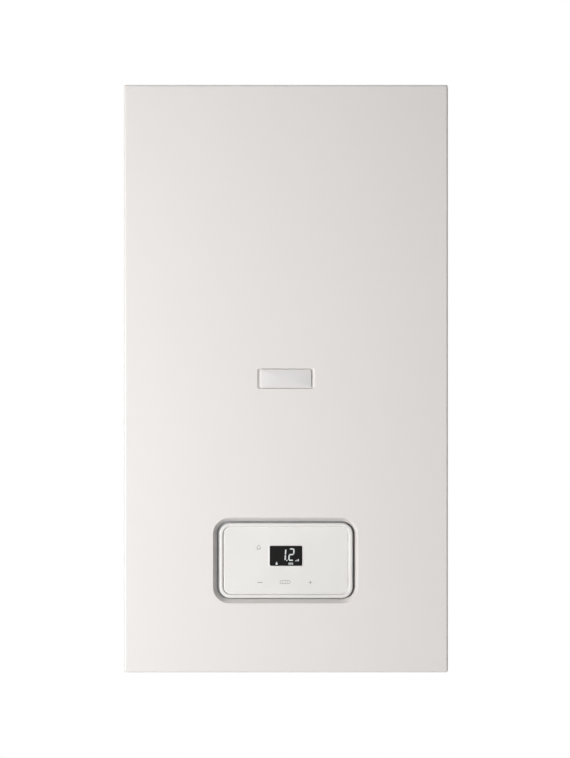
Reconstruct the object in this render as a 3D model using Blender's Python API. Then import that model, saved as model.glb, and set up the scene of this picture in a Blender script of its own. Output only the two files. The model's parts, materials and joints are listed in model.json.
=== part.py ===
"""Wall-hung condensing combination gas boiler, modelled as an assembly of separate pieces.

Metres. X runs to the viewer's right, Y back to the wall and Z up. The origin is the centre of the
boiler's rear face, on the wall plane, so the front of the casing lies at y = -CASE_DEPTH.
"""

import math

import bmesh
import bpy
from mathutils import Euler, Vector

# Casing
CASE_WIDTH = 0.408
CASE_HEIGHT = 0.740
CASE_DEPTH = 0.310
SHEET = 0.0010
FRAME_SHEET = 0.0012
SEAT = 0.0003
OVERLAP = 0.0004
COVER_RETURN = 0.038
COVER_FOLD = 0.0025
COVER_CORNER = 0.0030
COVER_HEM = 0.009
SEAM = 0.0025
SIDE_FLANGE = 0.010
TOP_FLANGE = 0.014
BOTTOM_RISE = 0.045
REAR_GAP = 0.0008

# Control panel window pressed into the cover
PANEL_RISE = 0.141
FASCIA_WIDTH = 0.168
FASCIA_HEIGHT = 0.0945
FASCIA_CORNER = 0.0140
FASCIA_DEPTH = 0.0097
FASCIA_WALL = 0.0020
FASCIA_BEAD = 0.0058
FASCIA_BEAD_RISE = 0.0014
WINDOW_GAP = 0.0018
WINDOW_SLOPE = 0.0053
WINDOW_DEPTH = 0.0058

# Name badge in the middle of the cover, left bare
BADGE_WIDTH = 0.0638
BADGE_HEIGHT = 0.0230
BADGE_CORNER = 0.0018
BADGE_GAP = 0.0005
BADGE_SLOPE_SIDE = 0.0042
BADGE_SLOPE_TOP = 0.0012
BADGE_DEPTH = 0.0026

# Display in the fascia
DISPLAY_WIDTH = 0.0408
DISPLAY_HEIGHT = 0.0252
DISPLAY_CORNER = 0.0014
DISPLAY_RAISE = 0.0058

# Electronics box behind the cover
BOX_SIDE_ROOM = 0.039
BOX_HEIGHT_SHARE = 0.25
BOX_DEPTH = 0.072
BOX_WALL = 0.0025
BOX_FOOT = 0.025
LID_THICK = 0.0025
BOARD_THICK = 0.0016
HINGE_FORWARD = 0.020
HINGE_UP = 0.006
HINGE_PIN_RADIUS = 0.0025
HINGE_PLAY = 0.0001
HINGE_PLATE = 0.0020
BOARD_MARGIN_SIDE = 0.020
BOARD_MARGIN_END = 0.0225
BOARD_STAND = 0.016
BOARD_BOSS_INSET = 0.010

# Tab of the lower crossbar that the cover is screwed to
TAB_WIDTH = 0.040
TAB_REACH = 0.022
COVER_SCREW_RADIUS = 0.0020
COVER_SCREW_HEAD = 0.0042
COVER_SCREW_HEAD_RISE = 0.0014

# Hanging rail on the wall and the recess in the back panel that takes it
RAIL_WIDTH = 0.260
RAIL_HEIGHT = 0.046
RAIL_THICK = 0.0020
RAIL_DROP = 0.078
RAIL_RECESS = 0.013
RAIL_RECESS_MARGIN = 0.012
RAIL_HOOK_WIDTH = 0.030
RAIL_HOOK_SPACING = 0.180
RAIL_HOOK_RISE = 0.016
RAIL_HOLE_RADIUS = 0.0045
RAIL_SLOT_HEIGHT = 0.009
BACK_FLANGE = 0.022
BACK_RIB_HEIGHT = 0.022
BACK_RIB_DEPTH = 0.004
BACK_RIB_TO_FOOT = 0.008
BACK_RIB_BELOW_BRACKET = 0.015

# Primary heat exchanger
CHAMBER_LEVEL = 0.135
CHAMBER_RADIUS = 0.106
CHAMBER_WALL = 0.0035
CHAMBER_REAR = 0.030
CHAMBER_ROOM_AHEAD = 0.115
CHAMBER_FLANGE = 0.007
CHAMBER_FLANGE_THICK = 0.006
COIL_RADIUS = 0.080
COIL_TUBE = 0.0085
COIL_TURNS = 4
COIL_END_ROOM = 0.069
BURNER_RADIUS = 0.034
BURNER_END_ROOM = 0.069
GASKET_THICK = 0.0018
DOOR_THICK = 0.007
DOOR_FIN_RISE = 0.008
DOOR_FIN_COUNT = 8
DOOR_PORT_RADIUS = 0.029
DOOR_PORT_RISE = 0.012
DOOR_NUT_COUNT = 6
FLUE_SPIGOT_RISE = 0.034
WATER_PORT_ACROSS = 0.070
WATER_PORT_BACK = 0.063
WATER_PORT_RADIUS = 0.012
WATER_PORT_LENGTH = 0.022
DRAIN_BACK = 0.053
DRAIN_LENGTH = 0.014
BRACKET_HALF = 0.055
BRACKET_FOOT = 0.015
BRACKET_SHEET = 0.0015
BRACKET_HEIGHT = 0.040

# Ignition
ELECTRODE_ACROSS = -0.052
ELECTRODE_RISE = 0.052
ELECTRODE_RADIUS = 0.0050
IGNITER_SIZE = (0.034, 0.060, 0.056)
IGNITER_BACK = 0.110
IGNITER_LEVEL = 0.050

# Flue
FLUE_SHARE = 0.57576
FLUE_RADIUS = 0.0315
FLUE_WALL = 0.0020
WELL_RADIUS = 0.076
WELL_DEPTH = 0.0115
COLLAR_OUTER = 0.0500
COLLAR_WALL = 0.0025
COLLAR_FLANGE = 0.070
TEST_CAP_RADIUS = 0.0075

# Premix fan
FAN_ACROSS = -0.078
FAN_ABOVE_BOX = 0.108
FAN_SETBACK = 0.048
FAN_DEPTH = 0.050
FAN_WALL = 0.0030
VOLUTE_START = 0.050
VOLUTE_END = 0.066
VOLUTE_FIRST_ANGLE = 115.0
OUTLET_RISE = 0.075
OUTLET_WIDTH = 0.044
IMPELLER_RADIUS = 0.042
IMPELLER_DEPTH = 0.022
IMPELLER_BLADES = 7
IMPELLER_EYE = 0.022
SHAFT_RADIUS = 0.0030
SHAFT_PLAY = 0.0004
FAN_MOTOR_RADIUS = 0.041
FAN_MOTOR_DEPTH = 0.034
MIXER_RADIUS = 0.026
MIXER_LENGTH = 0.060
MIXER_NOZZLE_BACK = 0.027
ELBOW_RADIUS = 0.0190
ELBOW_SETBACK = 0.0695
ELBOW_SWEEP = 0.048
ELBOW_BEND = 0.0210

# Gas valve
GAS_VALVE_ACROSS = 0.047
GAS_VALVE_ABOVE_FAN = 0.016
GAS_VALVE_SETBACK = 0.074
GAS_VALVE_WIDTH = 0.070
GAS_VALVE_HEIGHT = 0.076
GAS_VALVE_DEPTH = 0.052
GAS_BOSS = 0.014
GAS_OUTLET_ACROSS = 0.030
GAS_OUTLET_LENGTH = 0.010
GAS_PIPE_DROP = 0.0477
GAS_PIPE_BEND = 0.024
GAS_FEED_RADIUS = 0.0060
GAS_FEED_BEND = 0.012

# Expansion vessel
VESSEL_TO_CHAMBER = 0.007
VESSEL_TO_SIDE = 0.008
VESSEL_DEPTH = 0.200
VESSEL_REAR = 0.022
VESSEL_RISE = 0.230
VESSEL_TOP_ROOM = 0.050
VESSEL_FOOT_WIDTH = 0.004
VESSEL_FOOT_HEIGHT = 0.120
VESSEL_NECK = 0.012

# Connections under the boiler
STUB_SPACING = 0.065
STUB_BACK = 0.115
STUB_LENGTH = 0.040
STUB_RADIUS_LARGE = 0.0132
STUB_RADIUS_SMALL = 0.0105
STUB_BORE_LARGE = 0.0095
STUB_BORE_SMALL = 0.0070
STUB_FLANGE = 0.0045

# Hydraulics
PUMP_ACROSS = 0.115
PUMP_ABOVE_DECK = 0.090
PUMP_REAR = 0.050
PUMP_RADIUS = 0.038
PUMP_DEPTH = 0.050
PUMP_WALL = 0.004
PUMP_MOTOR_RADIUS = 0.036
PUMP_MOTOR_DEPTH = 0.070
PUMP_CAVITY = 0.030
PUMP_SHAFT = 0.0040
AIR_VENT_ACROSS = 0.134
AIR_VENT_ABOVE_DECK = 0.129
PLATE_LEFT = -0.098
PLATE_RIGHT = 0.062
PLATE_REAR = 0.038
PLATE_DEPTH = 0.050
PLATE_HEIGHT = 0.072
PLATE_ABOVE_DECK = 0.096
PLATE_COUNT = 5
RETURN_PORT_ACROSS = 0.101
RETURN_PORT_ABOVE_DECK = 0.139
RETURN_BLOCK_RISE = 0.044
RETURN_HOSE_ACROSS = 0.163
BLOCK_ABOVE_DECK = 0.028
COLD_BOSS_ACROSS = 0.040
FLOW_PORT_ABOVE_DECK = 0.123
FLOW_PIPE_RADIUS = 0.009
GAS_PIPE_RADIUS = 0.009
HOSE_RADIUS = 0.010
DIVERTER_BORE = 0.0110
DIVERTER_WALL = 0.006
DIVERTER_ABOVE_DECK = 0.111
DIVERTER_FLOOR_ABOVE_DECK = 0.029
DIVERTER_TRAVEL = 0.008
SIPHON_ACROSS = -0.035
SIPHON_SETBACK = 0.132
SIPHON_RADIUS = 0.022
SIPHON_ABOVE_DECK = 0.139
SIPHON_FOOT_RISE = 0.010
TAP_ACROSS = 0.0975

# Number of sides of round pieces
FINE = 20
ROUND = 14
SMALL = 9
TINY = 6

# Which way a piece's own +Z axis points once it is turned into place
FACES_FRONT = (math.pi / 2, 0.0, 0.0)
FACES_BACK = (-math.pi / 2, 0.0, 0.0)
FACES_RIGHT = (0.0, math.pi / 2, 0.0)
FACES_LEFT = (0.0, -math.pi / 2, 0.0)
FACES_DOWN = (math.pi, 0.0, 0.0)
FACES_UP = (0.0, 0.0, 0.0)
SHEET_ON_RIGHT = (math.pi / 2, 0.0, math.pi / 2)
SHEET_ON_LEFT = (math.pi / 2, 0.0, -math.pi / 2)
SHEET_ON_BACK = (math.pi / 2, 0.0, math.pi)

# Places worked out from the sizes above
FRONT = -CASE_DEPTH
TOP = CASE_HEIGHT / 2
BOTTOM = -CASE_HEIGHT / 2
SIDE = CASE_WIDTH / 2
SEAM_FRONT = FRONT + COVER_RETURN
FRAME_FRONT = SEAM_FRONT + SEAM
DECK = BOTTOM + BOTTOM_RISE
DECK_UNDER = DECK - SHEET
PLATE_BACK = -(REAR_GAP + SHEET + 2 * SEAT)
FRAME_HALF = SIDE - SHEET - SIDE_FLANGE - REAR_GAP
ROOF = TOP - SHEET - SEAT
PANEL_LEVEL = BOTTOM + PANEL_RISE
BOX_WIDTH = CASE_WIDTH - 2 * BOX_SIDE_ROOM
BOX_HEIGHT = CASE_HEIGHT * BOX_HEIGHT_SHARE
BOX_LOW = BOTTOM + BOX_FOOT
BOX_HIGH = BOX_LOW + BOX_HEIGHT
BOX_FRONT = FRONT + FASCIA_DEPTH + SEAT
BOX_REAR = BOX_FRONT + BOX_DEPTH
HINGE_Y = BOX_FRONT + HINGE_FORWARD
HINGE_Z = BOX_LOW + HINGE_UP
BOARD_WIDTH = BOX_WIDTH - 2 * BOARD_MARGIN_SIDE
BOARD_HEIGHT = BOX_HEIGHT - 2 * BOARD_MARGIN_END
BOARD_LEVEL = (BOX_LOW + BOX_HIGH) / 2
BOARD_BOSS_ACROSS = BOARD_WIDTH / 2 - BOARD_BOSS_INSET
BOARD_BOSS_UP = BOARD_HEIGHT / 2 - BOARD_BOSS_INSET
TAB_SCREW_Y = FRAME_FRONT - TAB_REACH + 0.009
RAIL_LEVEL = TOP - RAIL_DROP
RAIL_TOP = RAIL_LEVEL + RAIL_HEIGHT / 2
RAIL_SLOT_LEVEL = RAIL_TOP - RAIL_THICK - RAIL_SLOT_HEIGHT / 2 + 0.006
CHAMBER_LENGTH = CASE_DEPTH - CHAMBER_REAR - CHAMBER_ROOM_AHEAD
COIL_PITCH = (CHAMBER_LENGTH - COIL_END_ROOM) / COIL_TURNS
BURNER_LENGTH = CHAMBER_LENGTH - BURNER_END_ROOM
CHAMBER_FACE = -(CHAMBER_REAR + CHAMBER_LENGTH)
DOOR_REAR = CHAMBER_FACE - GASKET_THICK - 2 * SEAT
DOOR_FACE = DOOR_REAR - DOOR_THICK
PORT_FACE = DOOR_FACE - DOOR_PORT_RISE
BRACKET_LOW = CHAMBER_LEVEL - BRACKET_HEIGHT / 2
ELECTRODE_LEVEL = CHAMBER_LEVEL + ELECTRODE_RISE
FLUE_BACK = CHAMBER_REAR + CHAMBER_LENGTH * FLUE_SHARE
FLUE_SPIGOT_TOP = CHAMBER_LEVEL + CHAMBER_RADIUS + FLUE_SPIGOT_RISE
FAN_LEVEL = BOX_HIGH + FAN_ABOVE_BOX
FAN_FRONT = CASE_DEPTH - FAN_SETBACK
FAN_REAR = -FAN_FRONT + FAN_DEPTH
ELBOW_FORWARD = CASE_DEPTH - ELBOW_SETBACK
GAS_VALVE_LEVEL = FAN_LEVEL + GAS_VALVE_ABOVE_FAN
GAS_VALVE_FORWARD = CASE_DEPTH - GAS_VALVE_SETBACK
OUTLET_ACROSS = FAN_ACROSS - VOLUTE_END + OUTLET_WIDTH / 2
OUTLET_LEVEL = FAN_LEVEL + OUTLET_RISE
WELL_FLOOR = ROOF - WELL_DEPTH
STUB_Y = -STUB_BACK
STUB_TOP = DECK + STUB_FLANGE + SEAT
PUMP_FRONT = -(PUMP_REAR + PUMP_DEPTH)
PUMP_MIDDLE = -(PUMP_REAR + PUMP_DEPTH / 2)
PUMP_LEVEL = DECK + PUMP_ABOVE_DECK
AIR_VENT_LEVEL = DECK + AIR_VENT_ABOVE_DECK
PLATE_LEVEL = DECK + PLATE_ABOVE_DECK
RETURN_PORT_LEVEL = DECK + RETURN_PORT_ABOVE_DECK
RETURN_TOP = DECK + RETURN_BLOCK_RISE
BLOCK_LEVEL = DECK + BLOCK_ABOVE_DECK
FLOW_PORT_LEVEL = DECK + FLOW_PORT_ABOVE_DECK
DIVERTER_TOP = DECK + DIVERTER_ABOVE_DECK
DIVERTER_FLOOR = DECK + DIVERTER_FLOOR_ABOVE_DECK
SIPHON_BACK = CASE_DEPTH - SIPHON_SETBACK
SIPHON_TOP = DECK + SIPHON_ABOVE_DECK
SIPHON_FOOT = BOTTOM + SIPHON_FOOT_RISE
VESSEL_INNER_SIDE = CHAMBER_RADIUS + CHAMBER_FLANGE + VESSEL_TO_CHAMBER
VESSEL_THICK = SIDE - VESSEL_TO_SIDE - VESSEL_INNER_SIDE
VESSEL_FOOT = BOTTOM + VESSEL_RISE
VESSEL_HEIGHT = CASE_HEIGHT - VESSEL_RISE - VESSEL_TOP_ROOM


def clear_scene():
    """Empties the scene that Blender starts with."""
    for obj in list(bpy.data.objects):
        bpy.data.objects.remove(obj, do_unlink=True)


def finish(name, colour, roughness, metallic=0.0):
    """A Principled material; every piece of one finish shares it."""
    found = bpy.data.materials.get(name)
    if found:
        return found
    made = bpy.data.materials.new(name)
    made.use_nodes = True
    shader = made.node_tree.nodes["Principled BSDF"]
    shader.inputs["Base Color"].default_value = (*colour, 1.0)
    shader.inputs["Roughness"].default_value = roughness
    shader.inputs["Metallic"].default_value = metallic
    made.diffuse_color = (*colour, 1.0)
    return made


def casing_paint():
    return finish("casing_paint", (0.80, 0.78, 0.76), 0.38)


def frame_steel():
    return finish("frame_steel", (0.56, 0.57, 0.58), 0.42, 0.9)


def fascia_plastic():
    return finish("fascia_plastic", (0.81, 0.79, 0.77), 0.30)


def badge_plastic():
    return finish("badge_plastic", (0.74, 0.72, 0.71), 0.28)


def display_glass():
    return finish("display_glass", (0.018, 0.017, 0.016), 0.12)


def black_plastic():
    return finish("black_plastic", (0.030, 0.030, 0.032), 0.45)


def grey_plastic():
    return finish("grey_plastic", (0.33, 0.34, 0.35), 0.50)


def white_plastic():
    return finish("white_plastic", (0.78, 0.78, 0.76), 0.40)


def red_plastic():
    return finish("red_plastic", (0.52, 0.03, 0.025), 0.40)


def circuit_green():
    return finish("circuit_green", (0.02, 0.17, 0.07), 0.45)


def stainless():
    return finish("stainless", (0.62, 0.61, 0.59), 0.30, 1.0)


def cast_aluminium():
    return finish("cast_aluminium", (0.60, 0.61, 0.62), 0.48, 1.0)


def copper():
    return finish("copper", (0.72, 0.35, 0.20), 0.32, 1.0)


def brass():
    return finish("brass", (0.72, 0.55, 0.26), 0.33, 1.0)


def rubber():
    return finish("rubber", (0.022, 0.022, 0.022), 0.75)


def vessel_paint():
    return finish("vessel_paint", (0.42, 0.43, 0.45), 0.40)


def ceramic():
    return finish("ceramic", (0.82, 0.80, 0.75), 0.45)


def rounded_rectangle(width, height, radius, steps=2, centre=(0.0, 0.0)):
    """Points of a rectangle with round corners, anticlockwise from the right-hand side."""
    points = []
    for quarter, (right, up) in enumerate(((1, 1), (-1, 1), (-1, -1), (1, -1))):
        middle_x = centre[0] + right * (width / 2 - radius)
        middle_y = centre[1] + up * (height / 2 - radius)
        for step in range(steps + 1):
            angle = math.pi / 2 * (quarter + step / steps)
            points.append(
                (middle_x + radius * math.cos(angle), middle_y + radius * math.sin(angle))
            )
    return points


def circle(radius, sides, centre=(0.0, 0.0)):
    turns = [2 * math.pi * step / sides for step in range(sides)]
    return [(centre[0] + radius * math.cos(a), centre[1] + radius * math.sin(a)) for a in turns]


def at_height(outline, height):
    return [(x, y, height) for x, y in outline]


def skinned(loops, ring=False):
    """A closed solid through loops of equal count: capped at both ends, or joined end to end."""
    shape = bmesh.new()
    rows = [[shape.verts.new(point) for point in loop] for loop in loops]
    pairs = list(zip(rows, rows[1:]))
    if ring:
        pairs.append((rows[-1], rows[0]))
    for low, high in pairs:
        for here in range(len(low)):
            following = (here + 1) % len(low)
            shape.faces.new((low[here], low[following], high[following], high[here]))
    if not ring:
        shape.faces.new(rows[0])
        shape.faces.new(rows[-1])
    bmesh.ops.recalc_face_normals(shape, faces=shape.faces)
    return shape


def prism(outline, low, high):
    return skinned([at_height(outline, low), at_height(outline, high)])


def block(width, depth, height, centre=(0.0, 0.0, 0.0)):
    """A box by its sizes along X, Y and Z."""
    outline = [
        (centre[0] + sx * width / 2, centre[1] + sy * depth / 2)
        for sx, sy in ((1, 1), (-1, 1), (-1, -1), (1, -1))
    ]
    return prism(outline, centre[2] - height / 2, centre[2] + height / 2)


def turned(profile, sides):
    """A profile of (radius, height) points turned about Z. Off the axis, it closes on itself."""
    shape = bmesh.new()
    rows = []
    for radius, height in profile:
        if radius == 0:
            rows.append([shape.verts.new((0.0, 0.0, height))])
        else:
            rows.append([shape.verts.new(point) for point in at_height(circle(radius, sides), height)])
    pairs = list(zip(rows, rows[1:]))
    if profile[0][0] > 0:
        pairs.append((rows[-1], rows[0]))
    for low, high in pairs:
        for here in range(sides):
            following = (here + 1) % sides
            corners = (
                low[here % len(low)],
                low[following % len(low)],
                high[following % len(high)],
                high[here % len(high)],
            )
            shape.faces.new(tuple(dict.fromkeys(corners)))
    bmesh.ops.recalc_face_normals(shape, faces=shape.faces)
    return shape


def cylinder(radius, low, high, sides=ROUND):
    return turned([(0, low), (radius, low), (radius, high), (0, high)], sides)


def pipe_wall(outer, inner, low, high, sides=ROUND):
    return turned([(outer, low), (outer, high), (inner, high), (inner, low)], sides)


def together(*shapes):
    """Several shapes as one mesh of separate bodies."""
    whole = bmesh.new()
    for shape in shapes:
        scratch = bpy.data.meshes.new("scratch")
        shape.to_mesh(scratch)
        shape.free()
        whole.from_mesh(scratch)
        bpy.data.meshes.remove(scratch)
    return whole


def shifted(shape, across=0.0, back=0.0, up=0.0):
    bmesh.ops.translate(shape, verts=shape.verts, vec=(across, back, up))
    return shape


def turned_to(shape, rotation):
    """The shape with its +Z axis turned to one of the FACES directions."""
    matrix = Euler(rotation).to_matrix()
    bmesh.ops.rotate(shape, verts=shape.verts, cent=(0.0, 0.0, 0.0), matrix=matrix)
    return shape


def swung(shape, angle):
    """The shape turned about Z."""
    return turned_to(shape, (0.0, 0.0, angle))


def placed(name, shape, material, location=(0.0, 0.0, 0.0), rotation=(0.0, 0.0, 0.0)):
    """The shape as an object in the scene, shaded smooth where its faces meet gently."""
    mesh = bpy.data.meshes.new(name)
    shape.to_mesh(mesh)
    shape.free()
    obj = bpy.data.objects.new(name, mesh)
    bpy.context.scene.collection.objects.link(obj)
    obj.location = location
    obj.rotation_euler = rotation
    if material:
        mesh.materials.append(material)
    mesh.shade_smooth()
    mesh.set_sharp_from_angle(angle=math.radians(35))
    return obj


def hidden(name, shape, location=(0.0, 0.0, 0.0), rotation=(0.0, 0.0, 0.0)):
    """A helper for a cut or a join. It isn't part of the boiler."""
    helper = placed(name, shape, None, location, rotation)
    helper.hide_render = True
    helper.display_type = "WIRE"
    return helper


def combine(obj, operation, shape, location=(0.0, 0.0, 0.0), rotation=(0.0, 0.0, 0.0)):
    """Cuts the shape from the object, or joins it on, with a Boolean modifier."""
    number = len(obj.modifiers) + 1
    helper = hidden(f"{obj.name}_{operation.lower()}_{number}", shape, location, rotation)
    boolean = obj.modifiers.new(helper.name, "BOOLEAN")
    boolean.operation = operation
    boolean.solver = "EXACT"
    boolean.object = helper
    return obj


def cut(obj, shape, location=(0.0, 0.0, 0.0), rotation=(0.0, 0.0, 0.0)):
    return combine(obj, "DIFFERENCE", shape, location, rotation)


def join(obj, shape, location=(0.0, 0.0, 0.0), rotation=(0.0, 0.0, 0.0)):
    return combine(obj, "UNION", shape, location, rotation)


def pressed_sheet(name, rim, pressings, thickness, material, location, rotation):
    """A folded and pressed sheet. rim holds (outline, height) from the face's edge to the hem.

    Each pressing is (steps, floor): steps are (outline, height) from the face inwards, and floor says
    whether the last one is closed by a floor or left as an opening. The face looks along +Z.
    """
    shape = bmesh.new()
    borders = []
    for steps, floor in [(rim, False), *pressings]:
        rows = [[shape.verts.new(point) for point in at_height(*step)] for step in steps]
        for low, high in zip(rows, rows[1:]):
            for here in range(len(low)):
                following = (here + 1) % len(low)
                shape.faces.new((low[here], low[following], high[following], high[here]))
        if floor:
            shape.faces.new(rows[-1])
        first = rows[0]
        for here, point in enumerate(first):
            following = first[(here + 1) % len(first)]
            edge = shape.edges.get((point, following))
            borders.append(edge or shape.edges.new((point, following)))
    filled = bmesh.ops.triangle_fill(shape, edges=borders, use_beauty=True, normal=(0, 0, 1))
    face = [item for item in filled["geom"] if isinstance(item, bmesh.types.BMFace)]
    bmesh.ops.recalc_face_normals(shape, faces=shape.faces)
    if sum(part.normal.z * part.calc_area() for part in face) < 0:
        bmesh.ops.reverse_faces(shape, faces=shape.faces)
    panel = placed(name, shape, material, location, rotation)
    wall = panel.modifiers.new("wall", "SOLIDIFY")
    wall.thickness = thickness
    wall.offset = -1.0
    wall.use_even_offset = True
    wall.use_quality_normals = True
    return panel


def folded_rim(width, height, corner, fold, drop, hem=0.0):
    """Rim of a sheet whose edges fold away from its face by drop, then turn in again by hem."""
    turn = 0.3
    rim = [
        (rounded_rectangle(width - 2 * fold, height - 2 * fold, corner), 0.0),
        (
            rounded_rectangle(
                width - 2 * fold * turn, height - 2 * fold * turn, corner + fold * (1 - turn)
            ),
            -fold * turn,
        ),
        (rounded_rectangle(width, height, corner + fold), -fold),
        (rounded_rectangle(width, height, corner + fold), -drop),
    ]
    if hem:
        inner = max(corner + fold - hem, corner / 4)
        rim.append((rounded_rectangle(width - 2 * hem, height - 2 * hem, inner), -drop))
    return rim


def bent_path(corners, radius, steps=5):
    """A route of straight runs with its corners bent to a radius."""
    points = [Vector(corner) for corner in corners]
    path = [points[0]]
    for before, corner, after in zip(points, points[1:], points[2:]):
        incoming = (corner - before).normalized()
        outgoing = (after - corner).normalized()
        half = incoming.angle(outgoing) / 2
        reach = radius * math.tan(half)
        start = corner - incoming * reach
        end = corner + outgoing * reach
        middle = corner + (outgoing - incoming).normalized() * (radius / math.cos(half))
        for step in range(steps + 1):
            spoke = (start - middle).normalized().slerp((end - middle).normalized(), step / steps)
            path.append(middle + spoke * radius)
    path.append(points[-1])
    return path


def smooth_path(corners, steps=3):
    """A flexible lead's route: straight at both ends, and a smooth curve through the rest."""
    points = [Vector(corner) for corner in corners]
    leaving = (points[1] - points[0]).normalized()
    arriving = (points[-1] - points[-2]).normalized()
    before = points[2] - leaving * 2 * (points[2] - points[1]).length
    after = points[-3] + arriving * 2 * (points[-2] - points[-3]).length
    knots = [before, *points[1:-1], after]
    path = [points[0]]
    for a, b, c, d in zip(knots, knots[1:], knots[2:], knots[3:]):
        for step in range(steps):
            t = step / steps
            bend = 2 * b + (c - a) * t + (2 * a - 5 * b + 4 * c - d) * t**2
            path.append(0.5 * (bend + (3 * b - a - 3 * c + d) * t**3))
    path.append(points[-2])
    path.append(points[-1])
    return path


def tube(name, path, radius, material, resolution=2):
    """A pipe or lead along a path, as a curve with filled caps."""
    curve = bpy.data.curves.new(name, "CURVE")
    curve.dimensions = "3D"
    curve.bevel_depth = radius
    curve.bevel_resolution = resolution
    curve.use_fill_caps = True
    spline = curve.splines.new("POLY")
    spline.points.add(len(path) - 1)
    for point, place in zip(spline.points, path):
        point.co = (*place, 1.0)
    curve.materials.append(material)
    obj = bpy.data.objects.new(name, curve)
    bpy.context.scene.collection.objects.link(obj)
    return obj


def front_cover():
    """Front cover: one painted sheet, folded on four sides, with the window and the badge pressed in."""
    window_width = FASCIA_WIDTH + 2 * WINDOW_GAP
    window_height = FASCIA_HEIGHT + 2 * WINDOW_GAP
    window_corner = FASCIA_CORNER + WINDOW_GAP
    place = (0.0, PANEL_LEVEL)

    def window_step(outwards, depth):
        outline = rounded_rectangle(
            window_width + 2 * outwards,
            window_height + 2 * outwards,
            window_corner + outwards,
            3,
            place,
        )
        return (outline, -depth)

    window = [
        window_step(WINDOW_SLOPE, 0.0),
        window_step(WINDOW_SLOPE * 0.80, WINDOW_DEPTH * 0.10),
        window_step(WINDOW_SLOPE * 0.22, WINDOW_DEPTH * 0.82),
        window_step(0.0, WINDOW_DEPTH),
    ]
    pocket_width = BADGE_WIDTH + 2 * BADGE_GAP
    pocket_height = BADGE_HEIGHT + 2 * BADGE_GAP
    pocket = [
        (
            rounded_rectangle(
                pocket_width + 2 * BADGE_SLOPE_SIDE,
                pocket_height + 2 * BADGE_SLOPE_TOP,
                BADGE_CORNER + BADGE_SLOPE_TOP,
            ),
            0.0,
        ),
        (rounded_rectangle(pocket_width, pocket_height, BADGE_CORNER), -BADGE_DEPTH),
    ]
    cover = pressed_sheet(
        "front_cover",
        folded_rim(CASE_WIDTH, CASE_HEIGHT, COVER_CORNER, COVER_FOLD, COVER_RETURN, COVER_HEM),
        [(window, False), (pocket, True)],
        SHEET,
        casing_paint(),
        (0.0, FRONT, 0.0),
        FACES_FRONT,
    )
    notch = block(
        TAB_WIDTH + 0.006,
        4 * SHEET,
        COVER_HEM + 2 * SHEET,
        (0.0, SEAM_FRONT - SHEET / 2, BOTTOM + COVER_HEM / 2 + 2 * SHEET + SEAT),
    )
    cut(cover, notch)
    slot_width = 2 * (COVER_SCREW_RADIUS + 0.0006)
    slot_front = TAB_SCREW_Y - slot_width / 2
    slot_rear = SEAM_FRONT + SHEET
    slot = block(
        slot_width,
        slot_rear - slot_front,
        8 * SHEET,
        (0.0, (slot_rear + slot_front) / 2, BOTTOM),
    )
    return cut(cover, slot)


def badge():
    """Bare badge plate that sits in the cover's pocket, its edges eased."""
    rise = BADGE_DEPTH
    ease = 0.0005
    loops = [
        at_height(rounded_rectangle(BADGE_WIDTH, BADGE_HEIGHT, BADGE_CORNER), SEAT),
        at_height(rounded_rectangle(BADGE_WIDTH, BADGE_HEIGHT, BADGE_CORNER), rise - ease),
        at_height(
            rounded_rectangle(BADGE_WIDTH - 2 * ease, BADGE_HEIGHT - 2 * ease, BADGE_CORNER - ease),
            rise,
        ),
    ]
    return placed(
        "badge_plate", skinned(loops), badge_plastic(), (0.0, FRONT + BADGE_DEPTH, 0.0), FACES_FRONT
    )


def side_panels():
    """Left and right casing panels, with all four edges folded in."""
    depth = -FRAME_FRONT - REAR_GAP
    middle = (FRAME_FRONT - REAR_GAP) / 2
    for name, side, turn in (
        ("left_side_panel", -1, SHEET_ON_LEFT),
        ("right_side_panel", 1, SHEET_ON_RIGHT),
    ):
        pressed_sheet(
            name,
            folded_rim(depth, CASE_HEIGHT, 0.0008, 0.0012, SIDE_FLANGE),
            [],
            SHEET,
            casing_paint(),
            (side * SIDE, middle, 0.0),
            turn,
        )


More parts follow.
